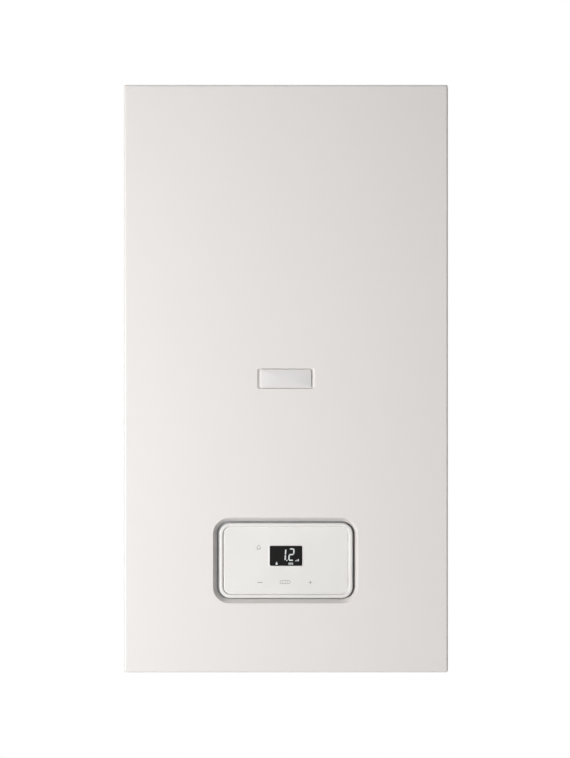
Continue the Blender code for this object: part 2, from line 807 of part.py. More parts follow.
def back_panel():
    """Rear frame panel: hangs on the wall rail, which fits in its pressed recess."""
    width = 2 * FRAME_HALF
    height = ROOF - SHEET - 2 * SEAT - (DECK + TOP_FLANGE) - TOP_FLANGE
    low = DECK + TOP_FLANGE + SEAT
    middle = low + height / 2
    recess_width = RAIL_WIDTH + 2 * RAIL_RECESS_MARGIN
    recess_height = RAIL_HEIGHT + 2 * RAIL_RECESS_MARGIN + RAIL_HOOK_RISE / 2
    slope = 0.008
    place = (0.0, RAIL_LEVEL - middle)
    recess = [
        (rounded_rectangle(recess_width + slope, recess_height + slope, 0.010, 2, place), 0.0),
        (rounded_rectangle(recess_width, recess_height, 0.006, 2, place), -RAIL_RECESS),
    ]
    rib_width = 2 * (VESSEL_INNER_SIDE + VESSEL_THICK / 2 - BACK_RIB_TO_FOOT)
    ribs = []
    for level in (BRACKET_LOW - BACK_RIB_BELOW_BRACKET, BOTTOM * 0.38):
        spot = (0.0, level - middle)
        inner_width = rib_width - BACK_RIB_HEIGHT * 0.45
        inner_height = BACK_RIB_HEIGHT * 0.55
        upper = rounded_rectangle(rib_width, BACK_RIB_HEIGHT, BACK_RIB_HEIGHT * 0.45, 2, spot)
        lower = rounded_rectangle(inner_width, inner_height, inner_height * 0.42, 2, spot)
        ribs.append(([(upper, 0.0), (lower, -BACK_RIB_DEPTH)], True))
    panel = pressed_sheet(
        "back_panel",
        folded_rim(width, height, 0.002, 0.002, BACK_FLANGE),
        [(recess, True), *ribs],
        FRAME_SHEET,
        frame_steel(),
        (0.0, 0.0, middle),
        SHEET_ON_BACK,
    )
    for side in (-1, 1):
        slot = block(
            RAIL_HOOK_WIDTH + 0.004,
            0.012,
            RAIL_SLOT_HEIGHT,
            (side * RAIL_HOOK_SPACING / 2, -RAIL_RECESS - FRAME_SHEET / 2, RAIL_SLOT_LEVEL),
        )
        cut(panel, slot)
    return panel


def hanging_rail():
    """Steel rail screwed to the wall, with two hooks that pass through the back panel's slots."""
    plate = block(RAIL_WIDTH, RAIL_THICK, RAIL_HEIGHT, (0.0, -RAIL_THICK / 2, RAIL_LEVEL))
    rail = placed("hanging_rail", plate, frame_steel())
    reach = RAIL_RECESS + FRAME_SHEET + RAIL_THICK + SEAT
    for side in (-1, 1):
        across = side * RAIL_HOOK_SPACING / 2
        shelf = block(
            RAIL_HOOK_WIDTH, reach, RAIL_THICK, (across, -reach / 2, RAIL_TOP - RAIL_THICK / 2)
        )
        join(rail, shelf)
        lip = block(
            RAIL_HOOK_WIDTH,
            RAIL_THICK,
            RAIL_HOOK_RISE,
            (across, -reach + RAIL_THICK / 2, RAIL_TOP - RAIL_THICK + RAIL_HOOK_RISE / 2),
        )
        join(rail, lip)
        for offset in (-0.030, 0.030):
            hole = cylinder(RAIL_HOLE_RADIUS, -0.010, 0.010, SMALL)
            cut(rail, hole, (side * 0.070 + offset, 0.0, RAIL_LEVEL - 0.006), FACES_FRONT)
    return rail


def top_plate():
    """Casing roof with the round well that takes the flue collar and its two test openings."""
    width = 2 * (SIDE - SHEET - REAR_GAP)
    front = FRAME_FRONT + SHEET + 2 * SEAT
    depth = PLATE_BACK - front
    middle = (front + PLATE_BACK) / 2
    spot = (0.0, -FLUE_BACK - middle)
    well = [
        (circle(WELL_RADIUS + 0.004, FINE, spot), 0.0),
        (circle(WELL_RADIUS, FINE, spot), -WELL_DEPTH),
        (circle(COLLAR_OUTER - COLLAR_WALL - 0.001, FINE, spot), -WELL_DEPTH),
    ]
    return pressed_sheet(
        "top_plate",
        folded_rim(width, depth, 0.001, 0.0015, TOP_FLANGE),
        [(well, False)],
        SHEET,
        casing_paint(),
        (0.0, middle, ROOF),
        FACES_UP,
    )


def bottom_plate():
    """Galvanised deck that carries the hydraulics, with a hole for each connection."""
    width = 2 * (SIDE - SHEET - REAR_GAP)
    front = BOX_REAR + LID_THICK + 0.006
    depth = PLATE_BACK - front
    middle = (front + PLATE_BACK) / 2
    holes = []
    for across, radius in stub_places():
        hole = circle(radius + 0.0015, SMALL, (across, -(STUB_Y - middle)))
        holes.append(([(hole, 0.0)], False))
    tap = circle(0.0055, SMALL, (TAP_ACROSS, -(STUB_Y - middle)))
    holes.append(([(tap, 0.0)], False))
    trap = circle(SIPHON_RADIUS + 0.002, FINE, (SIPHON_ACROSS, -(-SIPHON_BACK - middle)))
    holes.append(([(trap, 0.0)], False))
    return pressed_sheet(
        "bottom_plate",
        folded_rim(width, depth, 0.001, 0.0015, TOP_FLANGE),
        holes,
        SHEET,
        frame_steel(),
        (0.0, middle, DECK_UNDER),
        FACES_DOWN,
    )


def stub_places():
    """Across position and outer radius of the five connections, from the left."""
    return (
        (-2 * STUB_SPACING, STUB_RADIUS_LARGE),
        (-STUB_SPACING, STUB_RADIUS_SMALL),
        (0.0, STUB_RADIUS_LARGE),
        (STUB_SPACING, STUB_RADIUS_SMALL),
        (2 * STUB_SPACING, STUB_RADIUS_LARGE),
    )


def crossbar():
    """Lower front bar of the frame, with the cover's screw tab and the box's two hinge plates."""
    length = 2 * (SIDE - SHEET - SEAT) - 2 * SEAT
    low = BOTTOM + SHEET + SEAT + 0.0005
    high = BOX_LOW - 0.004
    flange = block(
        length,
        FRAME_SHEET,
        high - low,
        (0.0, FRAME_FRONT + SHEET + SEAT + FRAME_SHEET / 2, (low + high) / 2),
    )
    bar = placed("lower_crossbar", flange, frame_steel())
    web_depth = 0.020
    front = FRAME_FRONT + SHEET + SEAT
    web = block(
        length, web_depth, FRAME_SHEET, (0.0, front + web_depth / 2, high - FRAME_SHEET / 2)
    )
    join(bar, web)
    reach = TAB_REACH + SHEET + SEAT + FRAME_SHEET
    tab = block(
        TAB_WIDTH, reach, FRAME_SHEET, (0.0, front + FRAME_SHEET - reach / 2, low + FRAME_SHEET / 2)
    )
    join(bar, tab)
    cut(bar, cylinder(COVER_SCREW_RADIUS + 0.0002, -0.004, 0.004, SMALL), (0.0, TAB_SCREW_Y, low))
    for side in (-1, 1):
        plate = hinge_plate(side, high)
        join(bar, plate)
        bore = cylinder(HINGE_PIN_RADIUS + HINGE_PLAY, -0.010, 0.010, ROUND)
        cut(bar, bore, (side * hinge_plate_across(), HINGE_Y, HINGE_Z), FACES_RIGHT)
    return bar


def hinge_plate_across():
    return BOX_WIDTH / 2 + 0.0020 + HINGE_PLATE / 2


def hinge_plate(side, seat_level):
    """Upright plate on the crossbar that holds one hinge pin of the electronics box."""
    front = HINGE_Y - 0.007
    rear = FRAME_FRONT + SHEET + SEAT + 0.018
    top = HINGE_Z + 0.008
    low = seat_level - FRAME_SHEET
    return block(
        HINGE_PLATE,
        rear - front,
        top - low,
        (side * hinge_plate_across(), (front + rear) / 2, (top + low) / 2),
    )


def cover_screw():
    """The screw that holds the cover's lower edge to the crossbar's tab."""
    head_top = BOTTOM - SEAT
    low = head_top - COVER_SCREW_HEAD_RISE
    screw = turned(
        [
            (0, low),
            (COVER_SCREW_HEAD * 0.8, low),
            (COVER_SCREW_HEAD, low + COVER_SCREW_HEAD_RISE * 0.5),
            (COVER_SCREW_HEAD, head_top),
            (COVER_SCREW_RADIUS, head_top),
            (COVER_SCREW_RADIUS, head_top + 0.0062),
            (0, head_top + 0.0068),
        ],
        SMALL,
    )
    return placed("cover_screw", screw, stainless(), (0.0, TAB_SCREW_Y, 0.0))


def cover_seal():
    """Foam seal in the seam between the cover and the frame, open at the bottom."""
    width = CASE_WIDTH - 0.006
    band = 0.006
    thick = SEAM - 2 * SEAT
    low = BOTTOM + 0.012
    high = TOP - 0.003
    outline = [
        (-width / 2, low),
        (-width / 2 + band, low),
        (-width / 2 + band, high - band),
        (width / 2 - band, high - band),
        (width / 2 - band, low),
        (width / 2, low),
        (width / 2, high),
        (-width / 2, high),
    ]
    return placed(
        "cover_seal",
        prism(outline, SEAT, SEAT + thick),
        rubber(),
        (0.0, FRAME_FRONT, 0.0),
        FACES_FRONT,
    )


def control_box():
    """Moulded electronics box, open at the back, that tilts forward on its two lower pins."""
    outer = rounded_rectangle(BOX_WIDTH, BOX_HEIGHT, 0.006, 2)
    inner = rounded_rectangle(BOX_WIDTH - 2 * BOX_WALL, BOX_HEIGHT - 2 * BOX_WALL, 0.0035, 2)
    depth = BOX_DEPTH
    loops = [
        at_height(outer, depth),
        at_height(outer, 0.0),
        at_height(inner, 0.0),
        at_height(inner, depth - BOX_WALL),
    ]
    shape = bmesh.new()
    rows = [[shape.verts.new(point) for point in loop] for loop in loops]
    for low, high in zip(rows, rows[1:]):
        for here in range(len(low)):
            following = (here + 1) % len(low)
            shape.faces.new((low[here], low[following], high[following], high[here]))
    shape.faces.new(rows[0])
    shape.faces.new(rows[-1])
    bmesh.ops.recalc_face_normals(shape, faces=shape.faces)
    centre = (0.0, BOX_REAR, (BOX_LOW + BOX_HIGH) / 2)
    box = placed("control_box", shape, grey_plastic(), centre, FACES_FRONT)
    opening = prism(
        rounded_rectangle(FASCIA_WIDTH - 0.024, FASCIA_HEIGHT - 0.024, 0.006), -0.010, 0.010
    )
    cut(box, opening, (0.0, BOX_FRONT, PANEL_LEVEL), FACES_FRONT)
    bosses = []
    for across in (-BOARD_BOSS_ACROSS, BOARD_BOSS_ACROSS):
        for up in (-BOARD_BOSS_UP, BOARD_BOSS_UP):
            boss = cylinder(0.0045, 0.0, BOARD_STAND + BOX_WALL / 2, TINY)
            bosses.append(shifted(turned_to(boss, FACES_BACK), across, 0.0, up))
    join(box, together(*bosses), (0.0, BOX_FRONT + BOX_WALL / 2, BOARD_LEVEL))
    return join(box, hinge_pins(), (0.0, HINGE_Y, HINGE_Z))


def control_lid():
    """Rear lid of the electronics box, with a raised field and stiffening ribs."""
    centre = (0.0, BOX_REAR + SEAT, (BOX_LOW + BOX_HIGH) / 2)
    field = 0.004
    loops = [
        at_height(rounded_rectangle(BOX_WIDTH, BOX_HEIGHT, 0.006, 3), 0.0),
        at_height(rounded_rectangle(BOX_WIDTH, BOX_HEIGHT, 0.006, 3), LID_THICK * 0.7),
        at_height(
            rounded_rectangle(BOX_WIDTH - 2 * field, BOX_HEIGHT - 2 * field, 0.004, 3), LID_THICK
        ),
    ]
    lid = placed("control_box_lid", skinned(loops), grey_plastic(), centre, FACES_BACK)
    ribs = [
        block(0.0030, BOX_HEIGHT * 0.7, 0.0030, (across, 0.0, LID_THICK + 0.0006))
        for across in (-0.12, -0.06, 0.0, 0.06, 0.12)
    ]
    join(lid, together(*ribs), centre, FACES_BACK)
    return lid


def hinge_pins():
    """The two pins that the electronics box tilts on, moulded with it."""
    start = BOX_WIDTH / 2 - OVERLAP
    neck = hinge_plate_across() + HINGE_PLATE / 2 + 0.0008
    pins = []
    for turn in (FACES_RIGHT, FACES_LEFT):
        pin = turned(
            [
                (0, start),
                (HINGE_PIN_RADIUS + 0.002, start),
                (HINGE_PIN_RADIUS + 0.002, BOX_WIDTH / 2 + 0.0012),
                (HINGE_PIN_RADIUS, BOX_WIDTH / 2 + 0.0012),
                (HINGE_PIN_RADIUS, neck),
                (HINGE_PIN_RADIUS + 0.0012, neck),
                (HINGE_PIN_RADIUS + 0.0006, neck + 0.0020),
                (0, neck + 0.0020),
            ],
            SMALL,
        )
        pins.append(turned_to(pin, turn))
    return together(*pins)


def control_fascia():
    """Moulded fascia in the cover's window: a raised bead round a flat face with the display opening."""
    width, height, corner = FASCIA_WIDTH, FASCIA_HEIGHT, FASCIA_CORNER

    def step(inwards, depth):
        outline = rounded_rectangle(
            width - 2 * inwards, height - 2 * inwards, max(corner - inwards, 0.002), 3
        )
        return (outline, -depth)

    flat = FASCIA_BEAD_RISE
    rim = [
        step(FASCIA_BEAD, flat),
        step(FASCIA_BEAD * 0.72, flat * 0.35),
        step(FASCIA_BEAD * 0.50, 0.0),
        step(FASCIA_BEAD * 0.22, flat * 0.40),
        step(0.0, flat * 1.9),
        step(0.0, FASCIA_DEPTH),
    ]
    spot = (0.0, DISPLAY_RAISE)
    window = [
        (rounded_rectangle(DISPLAY_WIDTH, DISPLAY_HEIGHT, DISPLAY_CORNER, 3, spot), -flat),
    ]
    return pressed_sheet(
        "control_fascia",
        rim,
        [(window, False)],
        FASCIA_WALL,
        fascia_plastic(),
        (0.0, FRONT, PANEL_LEVEL),
        FACES_FRONT,
    )


def display():
    """Dark display window that fills the fascia's opening, and the module behind it."""
    gap = 0.00015
    face = FRONT + FASCIA_BEAD_RISE
    level = PANEL_LEVEL + DISPLAY_RAISE
    outline = rounded_rectangle(
        DISPLAY_WIDTH - 2 * gap, DISPLAY_HEIGHT - 2 * gap, DISPLAY_CORNER - gap, 3
    )
    placed(
        "display_window",
        prism(outline, -FASCIA_WALL, 0.0),
        display_glass(),
        (0.0, face, level),
        FACES_FRONT,
    )
    module_depth = 0.0045
    module = block(DISPLAY_WIDTH + 0.008, DISPLAY_HEIGHT + 0.008, module_depth)
    module = shifted(module, 0.0, DISPLAY_RAISE, -module_depth / 2)
    board_outline = rounded_rectangle(FASCIA_WIDTH - 0.012, FASCIA_HEIGHT - 0.012, 0.006)
    board = placed(
        "display_board",
        prism(board_outline, -module_depth - 0.0008, -module_depth + 0.0004),
        circuit_green(),
        (0.0, face + FASCIA_WALL + SEAT, PANEL_LEVEL),
        FACES_FRONT,
    )
    join(board, module, board.location, FACES_FRONT)


def main_board():
    """Main circuit board on its bosses, with its transformer, relays, capacitors and plugs."""
    face = BOX_FRONT + BOX_WALL + BOARD_STAND + SEAT
    board = block(
        BOARD_WIDTH, BOARD_THICK, BOARD_HEIGHT, (0.0, face + BOARD_THICK / 2, BOARD_LEVEL)
    )
    board = placed("main_board", board, circuit_green())
    rear = face + BOARD_THICK - OVERLAP
    w, h = BOARD_WIDTH, BOARD_HEIGHT
    boxes = [(-0.362 * w, 0.20 * h, 0.152 * w, 0.27 * h, 0.028)]
    boxes += [((-0.207 + 0.076 * n) * w, 0.32 * h, 0.062 * w, 0.186 * h, 0.015) for n in range(3)]
    boxes += [((-0.379 + 0.117 * n) * w, -0.40 * h, 0.097 * w, 0.10 * h, 0.012) for n in range(7)]
    boxes += [(0.259 * w, 0.143 * h, 0.138 * w, 0.214 * h, 0.003)]
    parts = []
    for across, up, width, height, rise in boxes:
        middle = (across, rear + rise / 2, BOARD_LEVEL + up)
        parts.append(block(width, rise, height, middle))
    for across, up, radius, rise in ((-0.030, 0.0, 0.009, 0.024), (0.0, -0.008, 0.006, 0.016)):
        can = turned_to(cylinder(radius, 0.0, rise, SMALL), FACES_BACK)
        parts.append(shifted(can, across, rear, BOARD_LEVEL + up))
    join(board, together(*parts))


def chamber_shell():
    """Ribbed body of the primary heat exchanger, open at the front, with its ports joined on."""
    r, wall, length = CHAMBER_RADIUS, CHAMBER_WALL, CHAMBER_LENGTH
    flange = CHAMBER_FLANGE_THICK
    profile = [(0, 0), (r - 0.010, 0), (r, 0.010)]
    middle = length * 0.485
    profile += [
        (r, middle - 0.005),
        (r + 0.004, middle - 0.003),
        (r + 0.004, middle + 0.003),
        (r, middle + 0.005),
        (r, length - flange),
        (r + CHAMBER_FLANGE, length - flange),
        (r + CHAMBER_FLANGE, length),
        (r - wall, length),
        (r - wall, 0.012),
        (r - wall - 0.008, wall),
        (0, wall),
    ]
    shell = placed(
        "heat_exchanger_shell",
        turned(profile, FINE),
        black_plastic(),
        (0.0, -CHAMBER_REAR, CHAMBER_LEVEL),
        FACES_FRONT,
    )
    base = CHAMBER_LEVEL + r - 0.0135
    spigot = pipe_wall(FLUE_RADIUS + 0.0050, FLUE_RADIUS + SEAT, base, FLUE_SPIGOT_TOP)
    join(shell, spigot, (0.0, -FLUE_BACK, 0.0))
    cut(
        shell,
        cylinder(FLUE_RADIUS + SEAT / 2, base - 0.002, base + 0.022),
        (0.0, -FLUE_BACK, 0.0),
    )
    for side in (-1, 1):
        level = water_port_level()
        stub = cylinder(WATER_PORT_RADIUS, level - WATER_PORT_LENGTH, level + 0.012, SMALL)
        join(shell, stub, (side * WATER_PORT_ACROSS, -WATER_PORT_BACK, 0.0))
    drain_level = CHAMBER_LEVEL - CHAMBER_RADIUS
    drain = cylinder(HOSE_RADIUS + 0.001, drain_level - DRAIN_LENGTH, drain_level + 0.003, SMALL)
    join(shell, drain, (0.0, -DRAIN_BACK, 0.0))
    return shell


def water_port_level():
    """Height of the shell's underside where the two water ports leave it."""
    return CHAMBER_LEVEL - math.sqrt(CHAMBER_RADIUS**2 - WATER_PORT_ACROSS**2)


def exchanger_coil():
    """Stainless flattened tube, wound round the burner in one unbroken coil."""
    per_turn = 10
    section = 6
    flat = COIL_PITCH / 2 - 0.0012
    total = COIL_TURNS * per_turn
    loops = []
    for step in range(total + 1):
        angle = 2 * math.pi * step / per_turn
        along = COIL_PITCH * step / per_turn
        loop = []
        for corner in range(section):
            turn = 2 * math.pi * corner / section
            radius = COIL_RADIUS + COIL_TUBE * math.cos(turn)
            height = along + flat * math.sin(turn)
            loop.append((radius * math.cos(angle), radius * math.sin(angle), height))
        loops.append(loop)
    length = COIL_TURNS * COIL_PITCH
    start = CHAMBER_REAR + (CHAMBER_LENGTH - length) / 2
    inner = COIL_RADIUS + COIL_TUBE - OVERLAP
    outer = CHAMBER_RADIUS - CHAMBER_WALL - SEAT - 0.0006
    combs = [
        block(outer - inner, 0.010, length * 0.96, (side * (inner + outer) / 2, 0.0, length / 2))
        for side in (-1, 1)
    ]
    place = (0.0, -start, CHAMBER_LEVEL)
    coil = placed("exchanger_coil", skinned(loops), stainless(), place, FACES_FRONT)
    return join(coil, together(*combs), place, FACES_FRONT)


def burner():
    """Cylindrical premix burner tube, closed at its far end, hung from the door."""
    wall = 0.0012
    lip = BURNER_RADIUS + 0.007
    reach = BURNER_LENGTH
    profile = [
        (0, -reach),
        (BURNER_RADIUS, -reach),
        (BURNER_RADIUS, -wall - 0.0002),
        (lip, -wall - 0.0002),
        (lip, 0),
        (BURNER_RADIUS - wall, 0),
        (BURNER_RADIUS - wall, -reach + wall),
        (0, -reach + wall),
    ]
    return placed(
        "burner_tube",
        turned(profile, ROUND),
        stainless(),
        (0.0, DOOR_REAR + SEAT, CHAMBER_LEVEL),
        FACES_FRONT,
    )


def door_gasket():
    """Flat gasket between the burner door and the shell's flange."""
    outer = CHAMBER_RADIUS + CHAMBER_FLANGE
    inner = CHAMBER_RADIUS - 0.008
    return placed(
        "door_gasket",
        pipe_wall(outer, inner, SEAT, SEAT + GASKET_THICK, FINE),
        rubber(),
        (0.0, CHAMBER_FACE, CHAMBER_LEVEL),
        FACES_FRONT,
    )


def burner_door():
    """Cast aluminium burner door with radial cooling fins and the mixture port in the middle."""
    radius = CHAMBER_RADIUS + CHAMBER_FLANGE
    port = DOOR_PORT_RADIUS
    bore = ELBOW_RADIUS - 0.001
    profile = [
        (radius, 0),
        (radius, DOOR_THICK),
        (radius - 0.010, DOOR_THICK),
        (radius - 0.012, DOOR_THICK - 0.001),
        (port + 0.004, DOOR_THICK - 0.001),
        (port, DOOR_THICK + 0.003),
        (port, DOOR_THICK + DOOR_PORT_RISE),
        (bore, DOOR_THICK + DOOR_PORT_RISE),
        (bore, 0),
    ]
    door = placed(
        "burner_door",
        turned(profile, FINE),
        cast_aluminium(),
        (0.0, DOOR_REAR, CHAMBER_LEVEL),
        FACES_FRONT,
    )
    fins = []
    inner = port + 0.006
    outer = radius - 0.016
    for number in range(DOOR_FIN_COUNT):
        fin = block(
            outer - inner,
            0.0028,
            DOOR_FIN_RISE + 0.002,
            ((inner + outer) / 2, 0.0, DOOR_THICK - 0.002 + DOOR_FIN_RISE / 2),
        )
        angle = 2 * math.pi * (number + 0.5) / DOOR_FIN_COUNT
        fins.append(swung(fin, angle))
    join(door, together(*fins), (0.0, DOOR_REAR, CHAMBER_LEVEL), FACES_FRONT)
    join(door, door_nuts(), (0.0, DOOR_REAR, CHAMBER_LEVEL), FACES_FRONT)
    electrode = cylinder(ELECTRODE_RADIUS + SEAT, -0.004, 0.030, TINY)
    cut(door, electrode, (ELECTRODE_ACROSS, DOOR_REAR, ELECTRODE_LEVEL), FACES_FRONT)
    return door


def door_nuts():
    """Hexagon nuts and stud ends round the burner door's rim."""
    ring = CHAMBER_RADIUS + 0.0005
    nuts = []
    for number in range(DOOR_NUT_COUNT):
        angle = 2 * math.pi * (number + 0.5) / DOOR_NUT_COUNT
        base = DOOR_THICK - OVERLAP
        nut = turned(
            [
                (0, base),
                (0.0050, base),
                (0.0050, base + 0.0050),
                (0, base + 0.0050),
            ],
            6,
        )
        nuts.append(shifted(nut, ring * math.cos(angle), ring * math.sin(angle)))
    return together(*nuts)


def ignition():
    """Ignition electrode through the door, its transformer on the side wall and the lead between."""
    electrode = turned(
        [
            (0, -0.030),
            (0.0012, -0.030),
            (0.0012, -0.004),
            (ELECTRODE_RADIUS, -0.004),
            (ELECTRODE_RADIUS, DOOR_THICK + DOOR_FIN_RISE),
            (ELECTRODE_RADIUS + 0.003, DOOR_THICK + DOOR_FIN_RISE),
            (ELECTRODE_RADIUS + 0.003, DOOR_THICK + DOOR_FIN_RISE + 0.003),
            (0.0035, DOOR_THICK + DOOR_FIN_RISE + 0.003),
            (0.0035, DOOR_THICK + DOOR_FIN_RISE + 0.014),
            (0, DOOR_THICK + DOOR_FIN_RISE + 0.014),
        ],
        TINY,
    )
    placed(
        "ignition_electrode",
        electrode,
        ceramic(),
        (ELECTRODE_ACROSS, DOOR_REAR, ELECTRODE_LEVEL),
        FACES_FRONT,
    )
    left = -SIDE + SHEET + SEAT
    width, depth, height = IGNITER_SIZE
    centre = (left + width / 2, -IGNITER_BACK, IGNITER_LEVEL)
    body = placed("ignition_transformer", block(width, depth, height), black_plastic(), centre)
    tower = cylinder(0.0070, depth / 2 - 0.002, depth / 2 + 0.012, SMALL)
    join(body, tower, (centre[0], centre[1], centre[2] + height / 4), FACES_FRONT)


def ignition_lead_route():
    """From the transformer's tower, over the door, to the electrode."""
    width, depth, height = IGNITER_SIZE
    start = (
        -SIDE + SHEET + SEAT + width / 2,
        -IGNITER_BACK - depth / 2 - 0.0123,
        IGNITER_LEVEL + height / 4,
    )
    tip = DOOR_REAR - DOOR_THICK - DOOR_FIN_RISE - 0.0143
    return [
        start,
        (start[0], start[1] - 0.020, start[2]),
        (start[0] + 0.006, tip - 0.004, start[2] + 0.030),
        (start[0] + 0.045, tip - 0.024, ELECTRODE_LEVEL + 0.010),
        (ELECTRODE_ACROSS - 0.020, tip - 0.026, ELECTRODE_LEVEL + 0.006),
        (ELECTRODE_ACROSS, tip - 0.010, ELECTRODE_LEVEL),
        (ELECTRODE_ACROSS, tip, ELECTRODE_LEVEL),
    ]


def fan_outline(inset):
    """The volute seen from the front: a scroll that opens clockwise into an upward outlet."""
    steps = 20
    first = math.radians(VOLUTE_FIRST_ANGLE)
    last = -math.pi
    points = []
    for step in range(steps + 1):
        share = step / steps
        angle = first + (last - first) * share
        radius = VOLUTE_START + (VOLUTE_END - VOLUTE_START) * share - inset
        points.append((radius * math.cos(angle), radius * math.sin(angle)))
    top = OUTLET_RISE + (0.010 if inset else -0.001)
    left = -VOLUTE_END + inset
    points.append((left, top))
    points.append((left + OUTLET_WIDTH - 2 * inset, top))
    return points


def fan_housing():
    """Die-cast volute, hollow, with the inlet behind and the outlet upwards."""
    place = (FAN_ACROSS, -FAN_FRONT, FAN_LEVEL)
    housing = placed(
        "fan_housing", prism(fan_outline(0.0), -FAN_DEPTH, 0.0), cast_aluminium(), place, FACES_FRONT
    )
    flange = 0.006
    outlet = block(
        OUTLET_WIDTH + 2 * flange,
        FAN_DEPTH + 0.002,
        0.005,
        (OUTLET_ACROSS, -FAN_FRONT + FAN_DEPTH / 2, OUTLET_LEVEL - 0.0025),
    )
    join(housing, outlet)
    cut(
        housing,
        prism(fan_outline(FAN_WALL), -FAN_DEPTH + FAN_WALL, -FAN_WALL),
        place,
        FACES_FRONT,
    )
    cut(housing, cylinder(IMPELLER_EYE, -FAN_DEPTH - 0.004, -FAN_DEPTH + 0.006), place, FACES_FRONT)
    cut(housing, cylinder(0.009, -FAN_WALL - 0.002, 0.004, SMALL), place, FACES_FRONT)
    return housing


def fan_impeller():
    """Closed radial impeller: back disc, backward-curved blades, shroud ring, hub and shaft."""
    half = IMPELLER_DEPTH / 2
    disc = turned(
        [
            (0, half + 0.030),
            (SHAFT_RADIUS, half + 0.030),
            (SHAFT_RADIUS, half + 0.003),
            (0.008, half + 0.002),
            (0.010, half),
            (IMPELLER_RADIUS, half),
            (IMPELLER_RADIUS, half - 0.0016),
            (0.012, half - 0.0016),
            (0.007, half - 0.008),
            (0, half - 0.009),
        ],
        ROUND,
    )
    place = (FAN_ACROSS, -FAN_FRONT + FAN_DEPTH / 2, FAN_LEVEL)
    impeller = placed("fan_impeller", disc, grey_plastic(), place, FACES_FRONT)
    blades = []
    for number in range(IMPELLER_BLADES):
        start = 2 * math.pi * number / IMPELLER_BLADES
        outer_side = []
        inner_side = []
        for step in range(4):
            share = step / 3
            radius = IMPELLER_EYE - 0.002 + (IMPELLER_RADIUS - 0.0012 - IMPELLER_EYE + 0.002) * share
            angle = start - 0.75 * share
            half_wall = 0.0009 / radius
            for side, turn in ((outer_side, half_wall), (inner_side, -half_wall)):
                side.append((radius * math.cos(angle + turn), radius * math.sin(angle + turn)))
        blades.append(prism(outer_side + inner_side[::-1], -half + 0.0006, half - 0.0008))
    join(impeller, together(*blades), place, FACES_FRONT)
    shroud = pipe_wall(IMPELLER_RADIUS, IMPELLER_EYE - 0.001, -half, -half + 0.0016)
    join(impeller, shroud, place, FACES_FRONT)
    return impeller


def fan_motor():
    """Motor can on the fan's front, with its mounting ring and plug block."""
    r = FAN_MOTOR_RADIUS
    bore = SHAFT_RADIUS + SHAFT_PLAY
    depth = FAN_MOTOR_DEPTH
    profile = [
        (0, depth),
        (r - 0.006, depth),
        (r, depth - 0.006),
        (r, 0.006),
        (r + 0.006, 0.004),
        (r + 0.006, SEAT),
        (bore, SEAT),
        (bore, 0.018),
        (0, 0.018),
    ]
    shape = turned(profile, ROUND)
    place = (FAN_ACROSS, -FAN_FRONT, FAN_LEVEL)
    motor = placed("fan_motor", shape, black_plastic(), place, FACES_FRONT)
    plug = block(0.022, 0.016, 0.014, (-r + 0.004, 0.0, depth - 0.012))
    join(motor, plug, place, FACES_FRONT)
    return motor


def mixing_tube():
    """Venturi behind the fan where gas joins the intake air."""
    r = MIXER_RADIUS
    wall = 0.003
    profile = [
        (r + 0.008, SEAT),
        (r + 0.008, 0.005),
        (r, 0.006),
        (r - 0.005, 0.022),
        (r - 0.005, 0.032),
        (r, MIXER_LENGTH - 0.006),
        (r + 0.005, MIXER_LENGTH),
        (r + 0.005 - wall, MIXER_LENGTH),
        (r - wall, MIXER_LENGTH - 0.008),
        (r - 0.005 - wall, 0.030),
        (r - 0.005 - wall, 0.024),
        (IMPELLER_EYE, SEAT),
    ]
    tube_body = placed(
        "mixing_tube",
        turned(profile, ROUND),
        black_plastic(),
        (FAN_ACROSS, FAN_REAR, FAN_LEVEL),
        FACES_BACK,
    )
    nozzle = cylinder(0.0085, r - 0.0065, r + 0.010, SMALL)
    place = (FAN_ACROSS, FAN_REAR + MIXER_NOZZLE_BACK, FAN_LEVEL)
    join(tube_body, nozzle, place, FACES_RIGHT)
    return tube_body


def mixture_elbow():
    """Cast duct from the fan's outlet, over the door, into its middle port."""
    low = OUTLET_LEVEL + SEAT
    y = -ELBOW_FORWARD
    corners = [
        (OUTLET_ACROSS, y, low + 0.001),
        (OUTLET_ACROSS, y, CHAMBER_LEVEL),
        (0.0, y, CHAMBER_LEVEL),
        (0.0, PORT_FACE - SEAT - 0.001, CHAMBER_LEVEL),
    ]
    first, second, third, fourth = [Vector(corner) for corner in corners]
    wide = bent_path([first, second, third], ELBOW_SWEEP, 4)
    tight = bent_path([wide[-2], third, fourth], ELBOW_BEND, 4)
    path = wide[:-1] + tight[1:]
    sides = 13
    loops = []
    normal = Vector((0.0, 1.0, 0.0))
    for number, point in enumerate(path):
        ahead = path[min(number + 1, len(path) - 1)]
        behind = path[max(number - 1, 0)]
        forward = (ahead - behind).normalized()
        if number == 0:
            forward = Vector((0.0, 0.0, 1.0))
        if number == len(path) - 1:
            forward = Vector((0.0, 1.0, 0.0))
        normal = (normal - forward * normal.dot(forward)).normalized()
        side = forward.cross(normal)
        loops.append(
            [
                point
                + normal * (ELBOW_RADIUS * math.cos(2 * math.pi * k / sides))
                + side * (ELBOW_RADIUS * math.sin(2 * math.pi * k / sides))
                for k in range(sides)
            ]
        )
    elbow = placed("mixture_elbow", skinned(loops), cast_aluminium())
    foot = block(
        OUTLET_WIDTH + 0.010,
        FAN_DEPTH - 0.002,
        0.005,
        (OUTLET_ACROSS, -FAN_FRONT + FAN_DEPTH / 2, low + 0.0025),
    )
    join(elbow, foot)
    head = cylinder(DOOR_PORT_RADIUS, 0.0, 0.006, ROUND + 2)
    join(elbow, head, (0.0, PORT_FACE - SEAT, CHAMBER_LEVEL), FACES_FRONT)
    return elbow


